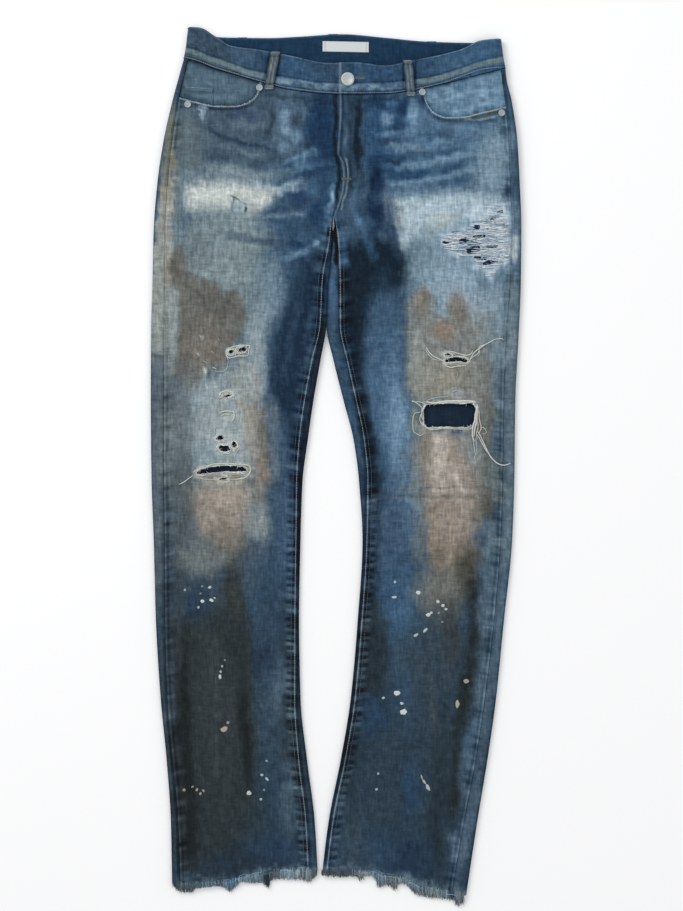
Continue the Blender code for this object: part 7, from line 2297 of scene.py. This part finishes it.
for side in ("right", "left"):
    ends, tones = FRINGE_ENDS[side], FRINGE_TONES[side]
    low_x, high_x = min(ends[0].x, ends[-1].x), max(ends[0].x, ends[-1].x)
    for part, layers in (("front", 3), ("back", 2)):
        groups = []
        for layer in range(layers):
            x0 = np.arange(low_x + 0.6, high_x - 0.4, 0.95)
            x0 = x0 + chance.uniform(-0.4, 0.4, len(x0))
            hem = column(HEMS[side], "down", x0, "x")
            reach = column(ends, "down", x0, "x") - 0.5 - (0.0 if part == "front" else 1.4)
            reach = reach - (reach - hem) * (0.30 * chance.random(len(x0)) ** 1.6 + 0.07 * layer)
            start = hem - (2.0 + 3.5 * chance.random(len(x0)) if layer == 0 and part == "front" else 1.0 + 0 * x0)
            t = np.linspace(0, 1, 7)[None, :]
            down = start[:, None] + t * (np.maximum(reach, hem + 2.0) - start)[:, None]
            lean = 2.4 * uneven(x0, 0 * x0 + 40 * layer, 7, 50, 271) + chance.normal(0, 0.5, len(x0))
            curl = 0.8 * uneven(x0[:, None], down + 9 * layer, 1.2, 5, 277)
            x = x0[:, None] + lean[:, None] * t**2 + curl * t
            x = np.clip(x, low_x - 1.0, high_x + 1.0)
            past = np.clip((down - hem[:, None]) / 10.0, 0, 1)
            if part == "front":
                top = front_top(side, x0[:, None], np.minimum(down, hem[:, None] - 0.5))
                low = 1.6 + 1.2 * chance.random(len(x0))[:, None]
                z = top - 0.25 * (layer > 0) - 0.3 * layer + 0.2
                z = z + (low - z) * ease(0.0, 1.0, past * (0.55 + 0.35 * chance.random(len(x0))[:, None]))
            else:
                z = 0.62 + 0.35 * layer + 0.35 * chance.random(len(x0))[:, None] + 0 * x
            radius = (0.36 + 0.16 * chance.random(len(x0)))[:, None] * (1 - 0.55 * t**3)
            tone = np.stack([column(tones, key, x0, "x") for key in ("red", "green", "blue")], -1)
            shade = 1 + 0.16 * chance.standard_normal(len(x0)) + 0.14 * uneven(x0, 0 * x0, 3.4, 50, 281)
            # Painted shade: each deeper layer of yarns is darker.
            dye = tone[:, None] * shade[:, None, None] * (1.06 - 0.10 * layer)
            brown = (t**3 * (0.15 + 0.5 * chance.random((len(x0), 1)) ** 2))[..., None]
            dye = dye + brown * (np.array((96, 86, 74)) - dye)
            groups.append((grid_points(x, down, z), radius, dye))
        if part == "front":
            many = 46
            x1 = chance.uniform(low_x + 4, high_x - 16, many)
            x = x1[:, None] + (5 + 9 * chance.random(many))[:, None] * np.linspace(0, 1, 7)[None, :]
            hem = column(HEMS[side], "down", x, "x")
            down = hem + chance.uniform(-6.0, 2.5, many)[:, None] + 0.9 * uneven(x, x1[:, None] + 0 * x, 5, 5, 283)
            z = front_top(side, x, np.minimum(down, hem - 0.5)) + 0.45
            tone = np.stack([column(tones, key, x1, "x") for key in ("red", "green", "blue")], -1)
            dye = tone[:, None] * (1.12 + 0.12 * chance.standard_normal(many))[:, None, None]
            groups.append((grid_points(x, down, z), 0.3 + 0 * x, dye + 0 * x[..., None]))
        fringe = yarn_piece(f"hem_fringe_{part}_{side}", groups, 4)
        fringe.data.materials.append(frayed_cotton)
        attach(fringe, "root")
        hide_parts(f"fringe_{part}_{side}")

# Paint: small dried drops of white and cream paint, thicker in the middle, spattered over both legs.
Drop = namedtuple("Drop", "side x y half_wide half_long turn colour")
DROPS = [
    Drop("right", 184.8, 590, 1.4, 1.2, 0, (150, 166, 172)),
    Drop("right", 209.7, 587.3, 2.0, 1.4, 20, (186, 196, 196)),
    Drop("right", 202.2, 586.4, 1.2, 1.0, 0, (130, 146, 152)),
    Drop("right", 200.5, 593.6, 1.2, 1.0, 0, (126, 142, 148)),
    Drop("right", 202.3, 601.3, 2.0, 1.7, 0, (208, 214, 210)),
    Drop("right", 211.4, 600.3, 2.4, 1.5, -30, (206, 212, 208)),
    Drop("right", 214.6, 598.0, 1.5, 0.8, -30, (176, 186, 186)),
    Drop("right", 198.4, 607.5, 1.3, 1.5, 0, (160, 174, 178)),
    Drop("right", 224.8, 660.2, 1.1, 1.0, 0, (128, 140, 144)),
    Drop("right", 222.1, 666.3, 1.2, 1.5, 0, (156, 168, 170)),
    Drop("right", 220.5, 671.7, 1.3, 1.5, 0, (160, 172, 174)),
    Drop("right", 220.0, 676.8, 1.6, 2.5, 8, (196, 204, 202)),
    Drop("right", 224.0, 729.4, 4.0, 2.6, 30, (170, 164, 150)),
    Drop("right", 228.0, 722.8, 1.6, 1.6, 0, (158, 154, 142)),
    Drop("right", 266.8, 760.9, 1.2, 1.2, 0, (150, 168, 180)),
    Drop("right", 261.9, 775.0, 1.6, 1.4, 0, (170, 184, 190)),
    Drop("right", 267.0, 779.2, 2.4, 1.2, -40, (180, 192, 196)),
    Drop("right", 264.0, 789.9, 1.1, 1.1, 0, (130, 148, 160)),
    Drop("right", 248.9, 793.1, 2.6, 2.5, 0, (190, 198, 198)),
    Drop("right", 260.8, 799.4, 1.5, 1.4, 0, (170, 182, 186)),
    Drop("right", 184.0, 790.0, 1.8, 1.6, 0, (150, 144, 130)),
    Drop("right", 192.5, 786.8, 1.6, 1.0, 30, (150, 146, 134)),
    Drop("right", 196.9, 789.9, 1.7, 1.2, 40, (160, 156, 144)),
    Drop("right", 200.3, 793.8, 1.6, 1.2, 60, (156, 152, 140)),
    Drop("right", 203.4, 791.0, 1.2, 1.8, 20, (146, 142, 130)),
    Drop("left", 394.9, 582.0, 1.5, 1.3, 0, (170, 186, 196)),
    Drop("left", 394.3, 597.2, 2.8, 1.3, 0, (186, 198, 204)),
    Drop("left", 418.5, 592.6, 2.5, 2.1, 10, (206, 212, 208)),
    Drop("left", 438.0, 601.6, 1.8, 1.6, 0, (196, 204, 202)),
    Drop("left", 443.0, 605.6, 1.8, 1.5, 20, (198, 205, 202)),
    Drop("left", 446.0, 609.2, 1.6, 1.4, 0, (186, 195, 194)),
    Drop("left", 431.2, 612.9, 1.8, 1.4, 0, (188, 197, 196)),
    Drop("left", 428.3, 615.0, 2.3, 1.9, 0, (206, 212, 208)),
    Drop("left", 438.8, 613.0, 1.2, 1.2, 0, (140, 154, 160)),
    Drop("left", 442.4, 622.0, 1.2, 1.1, 0, (136, 150, 156)),
    Drop("left", 425.2, 630.5, 3.1, 1.4, 45, (184, 194, 196)),
    Drop("left", 416.0, 635.2, 3.0, 1.4, 30, (176, 188, 192)),
    Drop("left", 397.0, 693.2, 3.6, 2.5, 5, (204, 210, 206)),
    Drop("left", 383.5, 698.0, 1.6, 1.4, 0, (176, 188, 192)),
    Drop("left", 402.0, 703.5, 1.8, 1.6, 0, (186, 196, 196)),
    Drop("left", 403.5, 711.8, 3.5, 3.0, 20, (206, 212, 208)),
    Drop("left", 466.4, 681.2, 2.8, 2.4, 30, (158, 158, 148)),
    Drop("left", 457.4, 704.0, 2.0, 4.0, 0, (176, 168, 152)),
    Drop("left", 378.2, 773.6, 1.4, 1.4, 0, (156, 170, 176)),
    Drop("left", 376.5, 789.3, 1.6, 1.4, 0, (160, 174, 180)),
    Drop("left", 421.6, 777.0, 0.9, 2.6, 16, (160, 170, 170)),
    Drop("left", 424.2, 781.6, 1.3, 3.0, 34, (168, 178, 176)),
    Drop("left", 428.0, 787.6, 1.9, 3.6, 34, (172, 182, 180)),
]
DROP_RINGS = ((1.0, -0.12), (0.9, 0.12), (0.55, 0.30))
dried_paint = spun_cotton("dried_paint", 0.35, 0.1, 0.5)
for side in ("right", "left"):
    vertices, faces, dyes = [], [], []
    for number, drop in enumerate(row for row in DROPS if row.side == side):
        angles = 2 * math.pi * np.arange(14) / 14
        ragged = 1 + 0.22 * uneven(9 * np.cos(angles) + 50 * number, 9 * np.sin(angles), 5, 5, 293)
        middle_x, middle_down = (drop.x - SQUARE_ZERO[0]) * SQUARE, (drop.y - SQUARE_ZERO[1]) * SQUARE
        c, s = math.cos(math.radians(drop.turn)), math.sin(math.radians(drop.turn))
        base = len(vertices) * (14 * len(DROP_RINGS) + 2)
        rings = []
        for size, rise in DROP_RINGS:
            u = size * ragged * drop.half_wide * SQUARE * np.cos(angles)
            v = size * ragged * drop.half_long * SQUARE * np.sin(angles)
            x, down = middle_x + u * c + v * s, middle_down - u * s + v * c
            rings.append(grid_points(x, down, front_top(side, x, down) + rise))
        ends = grid_points(np.full(2, middle_x), np.full(2, middle_down),
                           float(front_top(side, np.array(middle_x), np.array(middle_down))) + np.array((0.36, -0.5)))
        vertices.append(np.concatenate(rings + [ends]))
        dyes.append(np.tile(np.array(drop.colour, float), (14 * len(DROP_RINGS) + 2, 1)))
        at = base + np.arange(14 * len(DROP_RINGS)).reshape(len(DROP_RINGS), 14)
        beside = np.roll(at, -1, axis=1)
        top, low = base + 14 * len(DROP_RINGS), base + 14 * len(DROP_RINGS) + 1
        for k in range(14):
            faces += [(at[r, k], beside[r, k], beside[r + 1, k], at[r + 1, k])[::-1] for r in range(len(DROP_RINGS) - 1)]
            faces += [(top, beside[-1, k], at[-1, k]), (low, at[0, k], beside[0, k])]
    paint = make_piece(f"paint_drops_{side}", np.concatenate(vertices), [tuple(int(i) for i in f) for f in faces],
                       np.concatenate(dyes))
    paint.data.materials.append(dried_paint)
    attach(paint, "root")

low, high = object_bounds()
